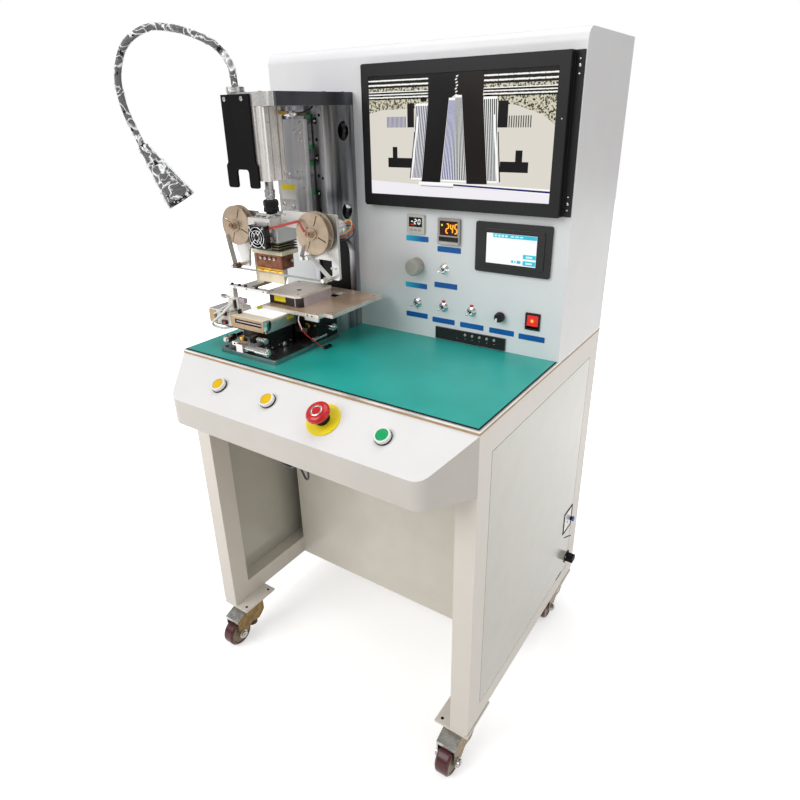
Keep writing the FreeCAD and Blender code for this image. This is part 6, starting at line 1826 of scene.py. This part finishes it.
    def hot_end(self) -> None:
        """Heat sink, shield, heater with its cartridges, gold clamp and pale tip."""
        dress("heat_sink", Finishes.khaki_anodised, 0.35)
        dress("heat_shield", Finishes.cream_board, 0.4)
        dress("heater_block", Finishes.copper_brown, 0.9, 3)
        tip = dress("bonding_tip", Finishes.tip_steel, 0.4)
        paint(tip, Finishes.gold_plate, lambda centre, normal: centre.y < 113.6
              and centre.z > 156.5)
        for index in range(4):
            x = -201.0 + 12.5 * index
            self.spun(f"heater_cartridge_{index + 1}", (x, 116.0, 188.0), Axis.FRONT,
                      [(3.1, 0), (3.1, 9.0), (2.7, 9.6), (1.2, 9.7), (1.2, 11.5), (0.7, 12.0)],
                      Finishes.zinc, 20)
        self.screws("clamp_screws", [(-202.0 + 21.0 * index, 110.0, 162.6) for index in range(3)],
                    Axis.FRONT, Finishes.gold_plate, 2.9, 1.4)
        self.spun("thermocouple", (-146.0, 132.0, 184.0), Axis.RIGHT,
                  [(2.4, -1), (2.4, 3), (3.2, 3.2), (3.2, 8), (1.4, 8.4)], Finishes.zinc, 20)
        self.block("tip_side_plate", (-145.9, 114.0, 152.0), (-143.4, 121.5, 168.5),
                   Finishes.hood_grey, 0.4)

    def fan(self) -> None:
        """The cooling fan with its chromed wire guard."""
        dress("fan_housing", Finishes.gloss_black, 0.6)
        dress("fan_rotor", Finishes.gloss_black, 0.2)
        x, y, z = -178.0, 82.0, 234.0
        for index, radius in enumerate((7.0, 13.0, 19.0), start=1):
            deselect()
            bpy.ops.mesh.primitive_torus_add(major_segments=40, minor_segments=8,
                                             major_radius=radius * MM, minor_radius=0.75 * MM)
            ring = active_piece(f"fan_guard_ring_{index}")
            apply_place(ring, facing(MACHINE.at(x, y - 1.0, z), Axis.FRONT.vector))
            bpy.ops.object.shade_smooth()
            self.fix(ring, Finishes.chrome)
        spokes = []
        hub = Matrix.Translation(MACHINE.at(x, y - 1.6, z))
        for index in range(4):
            turn = Matrix.Rotation(math.radians(90 * index + 45), 4, "Y")
            spokes.append(local_block(f"fan_guard_spoke_{index}", (-0.75, -0.75, 5.0),
                                      (0.75, 0.75, 25.5), 0.3, hub @ turn))
        self.fix(join(spokes, "fan_guard_spokes"), Finishes.chrome)
        self.screws("fan_screws", [(x + a, y, z + b) for a in (-18, 18) for b in (-18, 18)],
                    Axis.FRONT, Finishes.zinc, 2.6, 1.8)

    def reel_details(self) -> None:
        """Hubs with their thumb screws, and the small cap screws on each reel's face."""
        for side, x in self.reels:
            reel = dress(f"tape_reel_{side}", Finishes.reel_tan, 0.5)
            paint(reel, Finishes.reel_core, lambda centre, normal: 102.4 < centre.y < 113.6)
            body = f"tape_reel_{side}"
            low, _ = MACHINE.node(body)
            self.spun(f"reel_hub_{side}", (x, low.y, self.reel_level), Axis.FRONT,
                      [(5.6, -0.5), (6.2, 0.2), (6.2, 1.0), (4.4, 1.3), (4.4, 3.4), (3.4, 3.8),
                       (1.0, 3.9)], Finishes.copper_pin, 28, body)
            self.spun(f"reel_collar_{side}", (x, 100.0, self.reel_level), Axis.FRONT, [
                (11.5, -0.2), (11.5, 2.4), (10.8, 3.2), (7.2, 3.3)], Finishes.reel_tan, 36, body)
            turns = [math.radians(45 * step) for step in (1, 3, 5, 7)]
            reach = self.screw_circle
            places = [(x + reach * math.cos(turn), 100.0, self.reel_level + reach * math.sin(turn))
                      for turn in turns]
            self.screws(f"reel_screws_{side}", places, Axis.FRONT, Finishes.zinc, 1.7, 0.9, body)
        for name, x in (("left", -263.0), ("right", -22.0)):
            self.spun(f"roller_sleeve_{name}", (x, 92.0, 167.0), Axis.BACK,
                      [(4.3, 0), (5.6, 0.4), (5.6, 1.8), (4.6, 2.2), (4.6, 13.8), (5.6, 14.2),
                       (5.6, 15.6), (4.3, 16)], Finishes.copper_pin if name == "left"
                      else Finishes.reel_tan, 32)

    def tape(self) -> None:
        """The release tape, from the left reel round both rollers and the guides to the right."""
        route = [(-281.0, 227.5), (-268.0, 169.0), (-267.0, 164.6), (-263.0, 162.2),
                 (-258.0, 161.9), (-27.0, 161.9), (-21.5, 162.0), (-17.8, 164.8), (-17.6, 169.0),
                 (-19.6, 172.4), (-57.5, 203.8)]
        back = [(-62.2, 208.8), (-66.0, 209.4), (-70.0, 204.0), (-79.0, 197.6), (-82.4, 199.0),
                (-82.0, 206.0), (-74.0, 226.0)]
        self.ribbon("release_tape", route)
        self.ribbon("release_tape_lead", [route[-1]] + back)

    def ribbon(self, name: str, route: Outline) -> None:
        """A thin ribbon of the tape's width along a route.

        Args:
            name: The piece's name.
            route: X and Z of its centre line, in millimetres.
        """
        thick = 0.35
        upper, lower = [], []
        for index, (x, z) in enumerate(route):
            before, after = route[max(0, index - 1)], route[min(len(route) - 1, index + 1)]
            along = Vector((after[0] - before[0], after[1] - before[1])).normalized()
            upper.append((x - along.y * thick / 2, z + along.x * thick / 2))
            lower.append((x + along.y * thick / 2, z - along.x * thick / 2))
        band = cut_plate(name, Plane.FRONT, upper + lower[::-1], self.tape_back,
                         self.tape_back - self.tape_front)
        self.fix(band, Finishes.tape_film)

    def motor(self) -> None:
        """The take-up motor's flange, can and end cap, with three wires."""
        x, z = -53.0, self.reel_level
        self.spun("motor_flange", (x, 130.2, z), Axis.BACK,
                  [(17.5, 0), (17.5, 3.0), (16.4, 3.8), (15.0, 3.9)], Finishes.pale_aluminium, 40)
        self.spun("motor_can", (x, 134.0, z), Axis.BACK,
                  [(15.4, 0), (15.4, 40), (16.0, 40.6), (16.0, 44), (15.0, 45)],
                  Finishes.cylinder_aluminium, 48)
        self.spun("motor_cap", (x, 181.6, z), Axis.BACK,
                  [(13.0, 0), (12.4, 1.6), (5.0, 2.0), (4.2, 3.6), (1.6, 3.8)],
                  Finishes.white_plastic, 32)
        ends = ((-4.0, 4.0, Finishes.wire_yellow), (0.5, 1.5, Finishes.wire_red),
                (4.5, -2.0, Finishes.wire_black))
        for index, (dx, dz, finish) in enumerate(ends):
            a, b = x + 6 + dx * 0.6, z + dz + 4
            route = [
                (a, 182.5, b), (a + 1, 190, b + 1), (a + 7, 199 + index, b + 2 + 3 * (1 - index)),
                (a + 15, 198, b - 2 - 4 * index), (a + 15, 188, b - 14 - 3 * index),
                (a + 4, 176, b - 22 - 2 * index), (a - 6, 160, b - 23 - 0.8 * index),
                (a - 10, 146, b - 22.6 - index)]
            self.wire(f"motor_wire_{index + 1}", route, 1.0, finish, stiffness="limp")

    def fan_wires(self) -> None:
        """The fan's two thin wires, looped beside it down to the shield."""
        for index, x in enumerate((-188.5, -176.0)):
            finish = Finishes.wire_black if index else Finishes.wire_red
            route = [(x + 8, 98.0, 250 - index), (x + 12, 96.0, 243 - index),
                     (x + 24, 95.6, 236 - index), (x + 30, 98.0, 226 + index),
                     (x + 26, 103, 222 + index)]
            self.wire(f"fan_wire_{index + 1}", route, 0.8, finish, stiffness="limp")


@dataclass
class WorkStage(Assembly):
    """The two-way stage, the light box, the left fixture with its gantry, and the work table."""

    moving: str = "stage_x"
    middle: str = "stage_y"
    bench: str = "work_table"
    bench_low: float = 76.9
    bench_top: float = 84.9
    hood_low: float = 85.1
    hood_top: float = 106.9
    lid_top: float = 111.9

    def build(self) -> None:
        """Dress the stage from the base plate up."""
        self.base()
        self.middle_stage()
        self.light_box()
        self.fixture()
        self.table()
        self.thimbles()
        self.leads()

    def base(self) -> None:
        """The ground base plate with its black stages, holders and clamp screws."""
        bed = dress("stage_base", Finishes.base_steel, 0.5)
        paint(bed, Finishes.black_anodised, lambda centre, normal: centre.z > 10.2)
        paint(bed, Finishes.pale_aluminium, lambda centre, normal: centre.z > 10.2
              and centre.x < -229 and centre.y > 84)
        paint(bed, Finishes.bright_steel, lambda centre, normal: centre.z > 10.2 and centre.x < -229
              and centre.y < 84.5)
        paint(bed, Finishes.bright_steel, lambda centre, normal: centre.x > -109.6
              and centre.z > 20)
        self.screws("base_screws", [(-256, 40, 10), (-256, 215, 10), (-118, 40, 10),
                                    (-118, 150, 10)], Axis.UP, Finishes.black_steel, 4.2, 0.9)
        self.screws("low_stage_screws", [(-220, 64, 15.5), (-204, 64, 15.5), (-167, 64, 15.5)],
                    Axis.FRONT, Finishes.zinc, 2.2, 1.6)
        self.screws("low_stage_side_screws", [(-158, y, 15.5) for y in (72, 92, 108, 126)],
                    Axis.RIGHT, Finishes.zinc, 2.0, 1.6)
        self.spun("low_stage_clamp", (-158, 100, 16), Axis.RIGHT,
                  [(3, 0), (3, 4), (5.4, 4.4), (5.4, 9.4), (4.4, 10), (1.6, 10.1)],
                  Finishes.bright_steel, 24)
        self.spun("rear_stage_clamp", (-131, 160, 43), Axis.FRONT,
                  [(3.4, 0), (3.4, 3), (6.4, 3.5), (6.4, 8), (5.4, 9), (2, 9.2)], Finishes.brass,
                  20)
        self.screws("rear_stage_screws", [(x, 160, z) for x in (-168, -116) for z in (18, 44)],
                    Axis.FRONT, Finishes.zinc, 2.4, 1.6)
        self.spun("stage_lock_bar", (-113.5, 146, 16.4), Axis.BACK,
                  [(4.2, 0), (5.0, 0.8), (5.0, 42), (4.2, 43), (2, 43.2)], Finishes.bright_steel,
                  28)
        # A black block between the stages that also closes the gap beside them: partly a web,
        # partly painted shade where that gap looks dark.
        self.block("stage_web_and_gap_shade", (-214, 146, 10), (-160, 158, 44), Finishes.black_anodised, 0.6)
        self.block("rear_scale", (-172, 158.9, 24), (-140, 160.0, 34), Finishes.pale_aluminium, 0.2)

    def middle_stage(self) -> None:
        """The middle stage with its holder, its micrometers and a brass clamp."""
        slide = dress("stage_slide_y", Finishes.black_anodised, 0.4)
        paint(slide, Finishes.pale_aluminium, lambda centre, normal: centre.y < 63.9)
        paint(slide, Finishes.bright_steel, lambda centre, normal: centre.y < 30.6)
        self.spun("small_micrometer", (-176, 50, 36.5), Axis.RIGHT,
                  [(3.6, -6), (3.6, 4), (5.2, 4.4), (5.2, 18), (6.2, 18.6), (6.2, 26), (5.4, 27),
                   (2, 27.2)], Finishes.bright_steel, 32, self.middle)
        self.block("small_micrometer_block", (-190, 43, 29.2), (-178, 57, 43),
                   Finishes.black_anodised, 0.6, self.middle)
        self.spun("brass_clamp", (-213.7, 46, 29.2), Axis.UP,
                  [(3.4, 0), (3.4, 2), (6.2, 2.5), (6.2, 7.0), (5.2, 8.2), (3, 8.4), (2.6, 7.4)],
                  Finishes.brass, 24, self.middle)
        self.spun("brass_clamp_side", (-204.0, 46, 29.2), Axis.UP,
                  [(3.0, 0), (3.0, 5), (2.2, 5.8), (1.8, 4.8)], Finishes.black_steel, 20,
                  self.middle)
        self.screws("holder_screws", [(-221.0, 30.0, 25.4), (-213.0, 30.0, 25.4),
                                      (-203.0, 30.0, 25.4)], Axis.FRONT, Finishes.black_steel, 2.0,
                    0.8, self.middle)
        self.block("micrometer_grip", (-192, 22.4, 18.4), (-177, 31.2, 31.4),
                   Finishes.pale_aluminium, 0.8, self.middle)
        self.screws("grip_screws", [(-188, 22.4, 21.8), (-181.5, 22.4, 21.8)], Axis.FRONT,
                    Finishes.black_steel, 1.9, 0.5, self.middle)
        self.screws("middle_stage_screws", [(-158, y, 27) for y in (70, 82, 118, 130)], Axis.RIGHT,
                    Finishes.black_steel, 2.2, 1.4, self.middle)
        self.screws("middle_front_screws", [(-222, 64, 27), (-164, 64, 27)], Axis.FRONT,
                    Finishes.zinc, 2.0, 1.4, self.middle)

    def light_box(self) -> None:
        """The box with its glowing top, dark slot, corner guard and side flange."""
        moving = self.moving
        dress("stage_slide_x", Finishes.black_anodised, 0.4)
        box = dress("light_box", Finishes.box_cream, 0.6)
        paint(box, Finishes.dark_window, lambda centre, normal: 62.4 < centre.y < 68.6
              and -249 < centre.x < -172)
        paint(box, Finishes.box_front, lambda centre, normal: centre.y < 62.3 and normal.y < -0.8)
        paint(box, Finishes.pale_aluminium, lambda centre, normal: normal.x > 0.8
              and centre.x > -161)
        self.block("slot_strip", (-247, 64.2, 58.6), (-176, 66.5, 61.4), Finishes.hood_grey, 0.4,
                   moving)
        self.plate("box_diffuser", Plane.TOP, oblong(-257, 88, -166, 148), 70.0, 0.5,
                   Finishes.box_glow, 1.0, 0.0, 0.0, moving)
        self.plate("box_front_cover", Plane.TOP, oblong(-260.4, 62.4, -162, 88), 70.0, 0.8,
                   Finishes.box_cover, 0.6, 0.15, 0.0, moving)
        self.plate("corner_guard", Plane.TOP, self.rounded_corner(-160.0, 64.5, 6.5), 53.0, 18.2,
                   Finishes.teal_anodised, 0.0, 0.6, 0.0, moving)
        self.screws("corner_screws", [(-160.6, 57.2, 50.5), (-154.6, 60.6, 52.5)], Axis.FRONT,
                    Finishes.black_steel, 1.9, 0.8, moving)
        self.block("box_side_flange", (-160.2, 76, 60.5), (-157.2, 151, 68.6),
                   Finishes.pale_aluminium, 0.4, moving)
        self.plate("side_flange_patch", Plane.SIDE, oblong(120, 61.4, 142, 67.8), -157.2, 0.25,
                   Finishes.patch_yellow, 0.4, 0.0, 0.0, moving)
        self.screws("side_flange_screws", [(-157.2, 84, 64.5), (-157.2, 100, 64.5)], Axis.RIGHT,
                    Finishes.zinc, 1.7, 0.9, moving)
        patch = [(-258, 134), (-240, 120), (-236, 132), (-240, 146), (-256, 148)]
        self.plate("box_top_patch", Plane.TOP, patch, 70.5, 0.2, Finishes.patch_yellow, 0.6, 0.0,
                   0.0, moving)

    def rounded_corner(self, x: float, y: float, radius: float) -> list[tuple[float, float]]:
        """The outline of a rounded corner guard seen from above."""
        points = [(x + radius * math.cos(math.radians(a)), y + radius * math.sin(math.radians(a)))
                  for a in range(-180, 91, 15)]
        return points + [(x, y + radius + 6.0), (x - radius, y + radius + 6.0)]

    def fixture(self) -> None:
        """The left fixture: pale housing, connectors, gantry, post and feeler."""
        moving = self.moving
        unit = dress("side_fixture", Finishes.pale_aluminium, 0.5)
        paint(unit, Finishes.housing_white, lambda centre, normal: centre.z < 75.5
              and centre.x < -260.9)
        paint(unit, Finishes.post_tan, lambda centre, normal: centre.z > 126 and normal.x > 0.7)
        paint(unit, Finishes.cream_board, lambda centre, normal: centre.z > 126 and normal.y < -0.7)
        self.block("fixture_end", (-325.6, 60.8, 46.5), (-303.5, 66, 74.6), Finishes.box_front, 0.8,
                   moving)
        self.block("fixture_end_core", (-309, 60.2, 52), (-303.4, 64, 66), Finishes.brown_board,
                   0.5, moving)
        self.block("fixture_cover", (-325.2, 62.2, 75.0), (-262.0, 121.5, 77.2),
                   Finishes.pale_aluminium, 0.5, moving)
        for index, z in enumerate((72.2, 53.5), start=1):
            self.block(f"connector_body_{index}", (-284, 56.5, z - 4.0), (-270, 62.4, z + 4.0),
                       Finishes.gloss_black, 0.5, moving)
            self.block(f"connector_latch_{index}", (-277.5, 54.9, z - 3.2), (-271, 57.6, z + 3.2),
                       Finishes.seal_red, 0.6, moving)
        self.screws("bar_screws", [(x, 98, 125) for x in (-284, -262, -244, -212)], Axis.UP,
                    Finishes.black_steel, 3.2, 3.0, moving)
        self.screws("bar_face_screws", [(x, 92, 122) for x in (-270, -236, -188)], Axis.FRONT,
                    Finishes.black_steel, 1.6, 0.4, moving)
        self.spun("feeler_knob", (-317.4, 98, 95), Axis.LEFT,
                  [(3.6, -8), (4.6, -7.6), (4.6, -5.4), (3.4, -5.0), (3.4, -3.6), (4.6, -3.2),
                   (4.6, -1.0), (3.4, -0.6), (3.4, 0.6), (4.6, 1.0), (4.6, 2.6), (2.4, 3.0)],
                  Finishes.zinc, 28, moving)
        holder = (
            ("tower", (-276.5, 74, 77.0), (-262.5, 91, 100), Finishes.housing_white, 0.8),
            ("wall", (-258.5, 80, 70.4), (-253.0, 91.5, 104), Finishes.housing_white, 0.8),
            ("socket", (-262.6, 76, 82), (-258.4, 88, 98), Finishes.gloss_black, 0.6),
            ("bridge", (-253.2, 82, 92), (-236, 91.4, 103), Finishes.hood_grey, 0.9),
            ("foot", (-252.8, 76, 70.5), (-248.5, 84, 80), Finishes.gloss_black, 0.5),
        )
        for name, low, high, finish, edge in holder:
            self.block(f"holder_{name}", low, high, finish, edge, moving)
        self.screws("post_screws", [(-245, 142, z) for z in (136, 186)], Axis.FRONT,
                    Finishes.black_steel, 1.8, 0.5, moving)

    def table(self) -> None:
        """The work table: warm anodised plate, hood with its dark front, and screws."""
        bench = self.bench
        table = dress("work_table", Finishes.bench_aluminium, 0.6)
        paint(table, Finishes.black_anodised, lambda centre, normal: centre.z < self.bench_low)
        paint(table, Finishes.bench_edge,
              lambda centre, normal: self.bench_low <= centre.z < self.bench_top
              and abs(normal.z) < 0.5)
        paint(table, Finishes.hood_grey,
              lambda centre, normal: self.hood_low < centre.z < self.hood_top
              and abs(normal.z) < 0.5)
        paint(table, Finishes.dark_window,
              lambda centre, normal: self.hood_low < centre.z < self.hood_top and normal.y < -0.3
              and centre.y < 150)
        paint(table, Finishes.hood_lid, lambda centre, normal: centre.z > self.hood_top)
        # The wall of the round hole in the hood's lid is painted brown-black: painted shade in the
        # hole.
        paint(table, Finishes.dark_window,
              lambda centre, normal: self.hood_top < centre.z < self.lid_top and abs(normal.z) < 0.5
              and (centre.x + 162) ** 2 + (centre.y - 170) ** 2 < 36)
        self.plate("hood_patch", Plane.FRONT, oblong(-204, 91.5, -172, 103.0), 137.0, 0.3,
                   Finishes.patch_yellow, 0.8, 0.0, 0.0, bench)
        self.block("hood_divider", (-146.5, 136.4, 86.2), (-144.0, 137.2, 106), Finishes.hood_grey,
                   0.2, bench)
        self.screws("lid_screws", [(-210, 140, 112), (-140, 142, 112), (-210, 222, 112),
                                   (-136, 222, 112)], Axis.UP, Finishes.black_steel, 1.9, 0.5,
                    bench)
        self.screws("bench_screws", [(-56, 146, 85), (-56, 290, 85), (-108, 290, 85),
                                     (-80, 126, 85)], Axis.UP, Finishes.zinc, 2.2, 0.4, bench)
        self.block("bench_rib", (-106, 119, 69.5), (-70, 124, 77), Finishes.pale_aluminium, 0.6,
                   bench)
        self.screws("bench_edge_screws", [(-96, 117, 81), (-84, 117, 81)], Axis.FRONT,
                    Finishes.black_steel, 1.8, 0.6, bench)

    def thimbles(self) -> None:
        """Micrometer thimbles with ribbed grips and end caps."""
        for name, axis in (("x", Axis.RIGHT), ("y", Axis.FRONT), ("table", Axis.RIGHT)):
            node = f"thimble_{name}"
            dress(node, Finishes.bright_steel, 0.4, 3)
            low, high = MACHINE.node(node)
            centre = (low + high) / 2
            radius = (high.z - low.z) / 2
            end = centre.copy()
            if axis is Axis.RIGHT:
                end.x = high.x
            else:
                end.y = low.y
            along = axis.vector
            base = facing(MACHINE.at(*end), along)
            ribs = []
            for index in range(24):
                turn = Matrix.Rotation(math.radians(15 * index), 4, "Z")
                ribs.append(local_block(f"{node}_rib_{index}", (radius - 0.25, -0.45, -8.5),
                                        (radius + 0.4, 0.45, -1.8), 0.12, base @ turn))
            self.fix(join(ribs, f"{node}_grip"), Finishes.bright_steel, node)
            tip = turned(f"{node}_cap", MACHINE.at(*end), along,
                         [(radius * 0.62, -0.2), (radius * 0.62, 1.6), (radius * 0.5, 2.4),
                          (radius * 0.2, 2.5)], 28)
            self.fix(tip, Finishes.zinc, node)

    def leads(self) -> None:
        """The white leads of the light box, and the thin lead with its plug by the rear stage."""
        self.wire("box_lead", [(-263, 70, 90), (-262, 60, 88), (-268, 52, 78), (-282, 47, 66),
                               (-297, 46, 56), (-306, 50, 47), (-303, 56, 40), (-290, 62, 37.4),
                               (-276, 70, 38.5), (-262, 80, 42.4)], 2.7, Finishes.tube_white,
                  self.moving, stiffness="medium")
        self.wire("box_lead_thin", [(-263, 78, 93), (-266, 64, 92), (-276, 54, 84), (-290, 50, 74),
                                    (-302, 52, 70), (-303.5, 60.6, 69)], 1.2, Finishes.tube_white,
                  self.moving, stiffness="limp")
        plug = self.block("lead_plug", (-90, 150, 0.2), (-83, 171, 6.0), Finishes.gloss_black, 0.6,
                          self.bench)
        self.wire("sensor_lead", [(-122, 119, 75.5), (-118, 112, 68), (-113, 113, 52),
                                  (-106, 121, 36), (-97, 134, 21), (-91, 142, 10),
                                  (-87.5, 147, 4.8), (-86.5, 150.5, 3.2)], 1.0, Finishes.wire_red,
                  self.bench, "plug", "loose", "limp", [plug])
        self.wire("sensor_lead_white", [(-121, 119, 75.5), (-116.5, 110.5, 70), (-111, 110.5, 60),
                                        (-109, 112, 50)], 0.9, Finishes.tube_white, self.bench,
                  "bare", "loose", "limp")


@dataclass
class GooseneckLamp(Assembly):
    """The inspection lamp: a ribbed neck and a conical head, both still in their clear wrapping."""

    margin: float = 0.00005

    def build(self) -> None:
        """Dress the neck and head and wrap them."""
        neck = dress("lamp_neck", Finishes.hose_dark, 0.0)
        paint(neck, Finishes.satin_ring, lambda centre, normal: centre.z < 497 and centre.x > -236)
        head = dress("lamp_head", Finishes.hose_dark, 0.6)
        paint(head, Finishes.gloss_black, lambda centre, normal: abs(normal.z) > 0.97)
        self.wrap("lamp_neck", 2.6, 4.6)
        self.wrap("lamp_head", 4.6, 8.0)

    def wrap(self, node: str, gap: float, ripple: float) -> None:
        """A creased film round a node.

        Args:
            node: The CAD node inside it.
            gap: How far the film stands off, in millimetres.
            ripple: How deep its creases are.
        """
        film = own_copy(node, f"{node}_film")
        film.hide_render = False
        for kind, values in (("REMESH", {"mode": "VOXEL", "voxel_size": 0.0035}),
                             ("SMOOTH", {"iterations": 2})):
            step = film.modifiers.new(kind.title(), kind)
            for key, value in values.items():
                setattr(step, key, value)
            bpy.ops.object.modifier_apply(modifier=step.name)
        creases = bpy.data.textures.new(f"{node}_creases", "CLOUDS")
        creases.noise_scale = 0.011
        creases.noise_depth = 2
        push = film.modifiers.new("Creases", "DISPLACE")
        push.texture = creases
        push.texture_coords = "LOCAL"
        push.strength = ripple * MM
        push.mid_level = 0.5 - gap / ripple * 0.5
        bpy.ops.object.modifier_apply(modifier=push.name)
        # The film is pressed flat where it would reach past the machine's outermost points.
        low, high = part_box("lamp_neck")
        for vertex in film.data.vertices:
            vertex.co.x = max(vertex.co.x, low.x + self.margin)
            vertex.co.z = min(vertex.co.z, high.z - self.margin)
        bpy.ops.object.shade_smooth_by_angle(angle=math.radians(32))
        self.fix(film, Finishes.wrap_film, BODY_OF[node])


@dataclass
class Castor(Assembly):
    """One levelling castor: its fork, foot and wheel."""

    end: str = "front"
    side: str = "right"
    trail: float = 50.0
    cheek_out: float = 22.2
    cheek_trim: float = 9.0
    foot_radius: float = 14.6
    foot_height: float = 46.0
    hub_radius: float = 25.2
    axle_out: float = 27.2
    washer_in: float = 5.1

    def build(self) -> None:
        """Dress the fork and the wheel, face by face."""
        place = f"{self.end}_{self.side}"
        fork_node, wheel_node = f"castor_fork_{place}", f"castor_wheel_{place}"
        low, high = MACHINE.node(wheel_node)
        hub = (low + high) / 2
        fork_low, fork_high = MACHINE.node(fork_node)
        swivel = Vector((hub.x, hub.y + self.trail, 0))

        def on_foot(centre: Vector, _: Vector) -> bool:
            """Whether a face belongs to the levelling foot."""
            away = math.hypot(centre.x - swivel.x, centre.y - swivel.y)
            return away < self.foot_radius and centre.z < fork_low.z + self.foot_height

        def on_hub(centre: Vector, _: Vector) -> bool:
            """Whether a face belongs to the wheel's hub."""
            return math.hypot(centre.y - hub.y, centre.z - hub.z) < self.hub_radius

        fork = dress(fork_node, Finishes.zinc, 0.5)
        paint(fork, Finishes.chromate, lambda centre, normal: abs(normal.x) > 0.8
              and centre.z < fork_high.z - self.cheek_trim)
        paint(fork, Finishes.zinc, lambda centre, normal: abs(centre.x - hub.x) > self.cheek_out)
        paint(fork, Finishes.foot_rubber, on_foot)
        wheel = dress(wheel_node, Finishes.tread_red, 0.8, 3)
        paint(wheel, Finishes.hub_cream, on_hub)
        for name, direction in (("outer", 1), ("inner", -1)):
            x = hub.x + direction * self.axle_out
            axis = Axis.RIGHT if direction > 0 else Axis.LEFT
            self.spun(f"axle_nut_{name}_{place}", (x, hub.y, hub.z), axis,
                      [(8.4, -5.0), (8.8, -4.4), (8.8, 0.2), (7.8, 1.0), (4.8, 1.1), (4.8, 2.2),
                       (3.6, 2.9)], Finishes.zinc, 6, fork_node)
            self.spun(f"axle_washer_{name}_{place}", (x - direction * self.washer_in, hub.y, hub.z),
                      axis, [(11.4, 0), (11.4, 0.9), (10.8, 1.2)], Finishes.zinc, 36, fork_node)


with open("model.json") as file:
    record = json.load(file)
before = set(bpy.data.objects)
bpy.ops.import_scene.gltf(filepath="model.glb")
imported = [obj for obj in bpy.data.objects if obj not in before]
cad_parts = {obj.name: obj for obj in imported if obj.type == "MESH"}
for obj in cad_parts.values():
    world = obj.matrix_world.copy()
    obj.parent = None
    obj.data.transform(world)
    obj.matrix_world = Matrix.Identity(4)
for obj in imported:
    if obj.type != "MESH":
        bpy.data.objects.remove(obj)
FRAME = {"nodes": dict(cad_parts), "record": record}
BODY_OF = {node: body for body, nodes in FRAME["record"]["behaviour"]["bodies"].items()
           for node in nodes}
MACHINE = Datum.from_frame()


def main() -> None:
    """Build every sub-assembly, then the studio round it."""
    logging.basicConfig(level=logging.INFO, format="%(message)s")
    bpy.context.scene.view_settings.view_transform = "Standard"
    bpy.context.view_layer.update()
    for assembly in (Carcass(), Console(), ControlCabinet(), PressColumn(), PressHead(),
                     WorkStage(), GooseneckLamp()):
        assembly.build()
    for end in ("front", "rear"):
        for side in ("left", "right"):
            Castor(end=end, side=side).build()
    Studio().build()
    deselect()


if __name__ == "__main__":
    main()
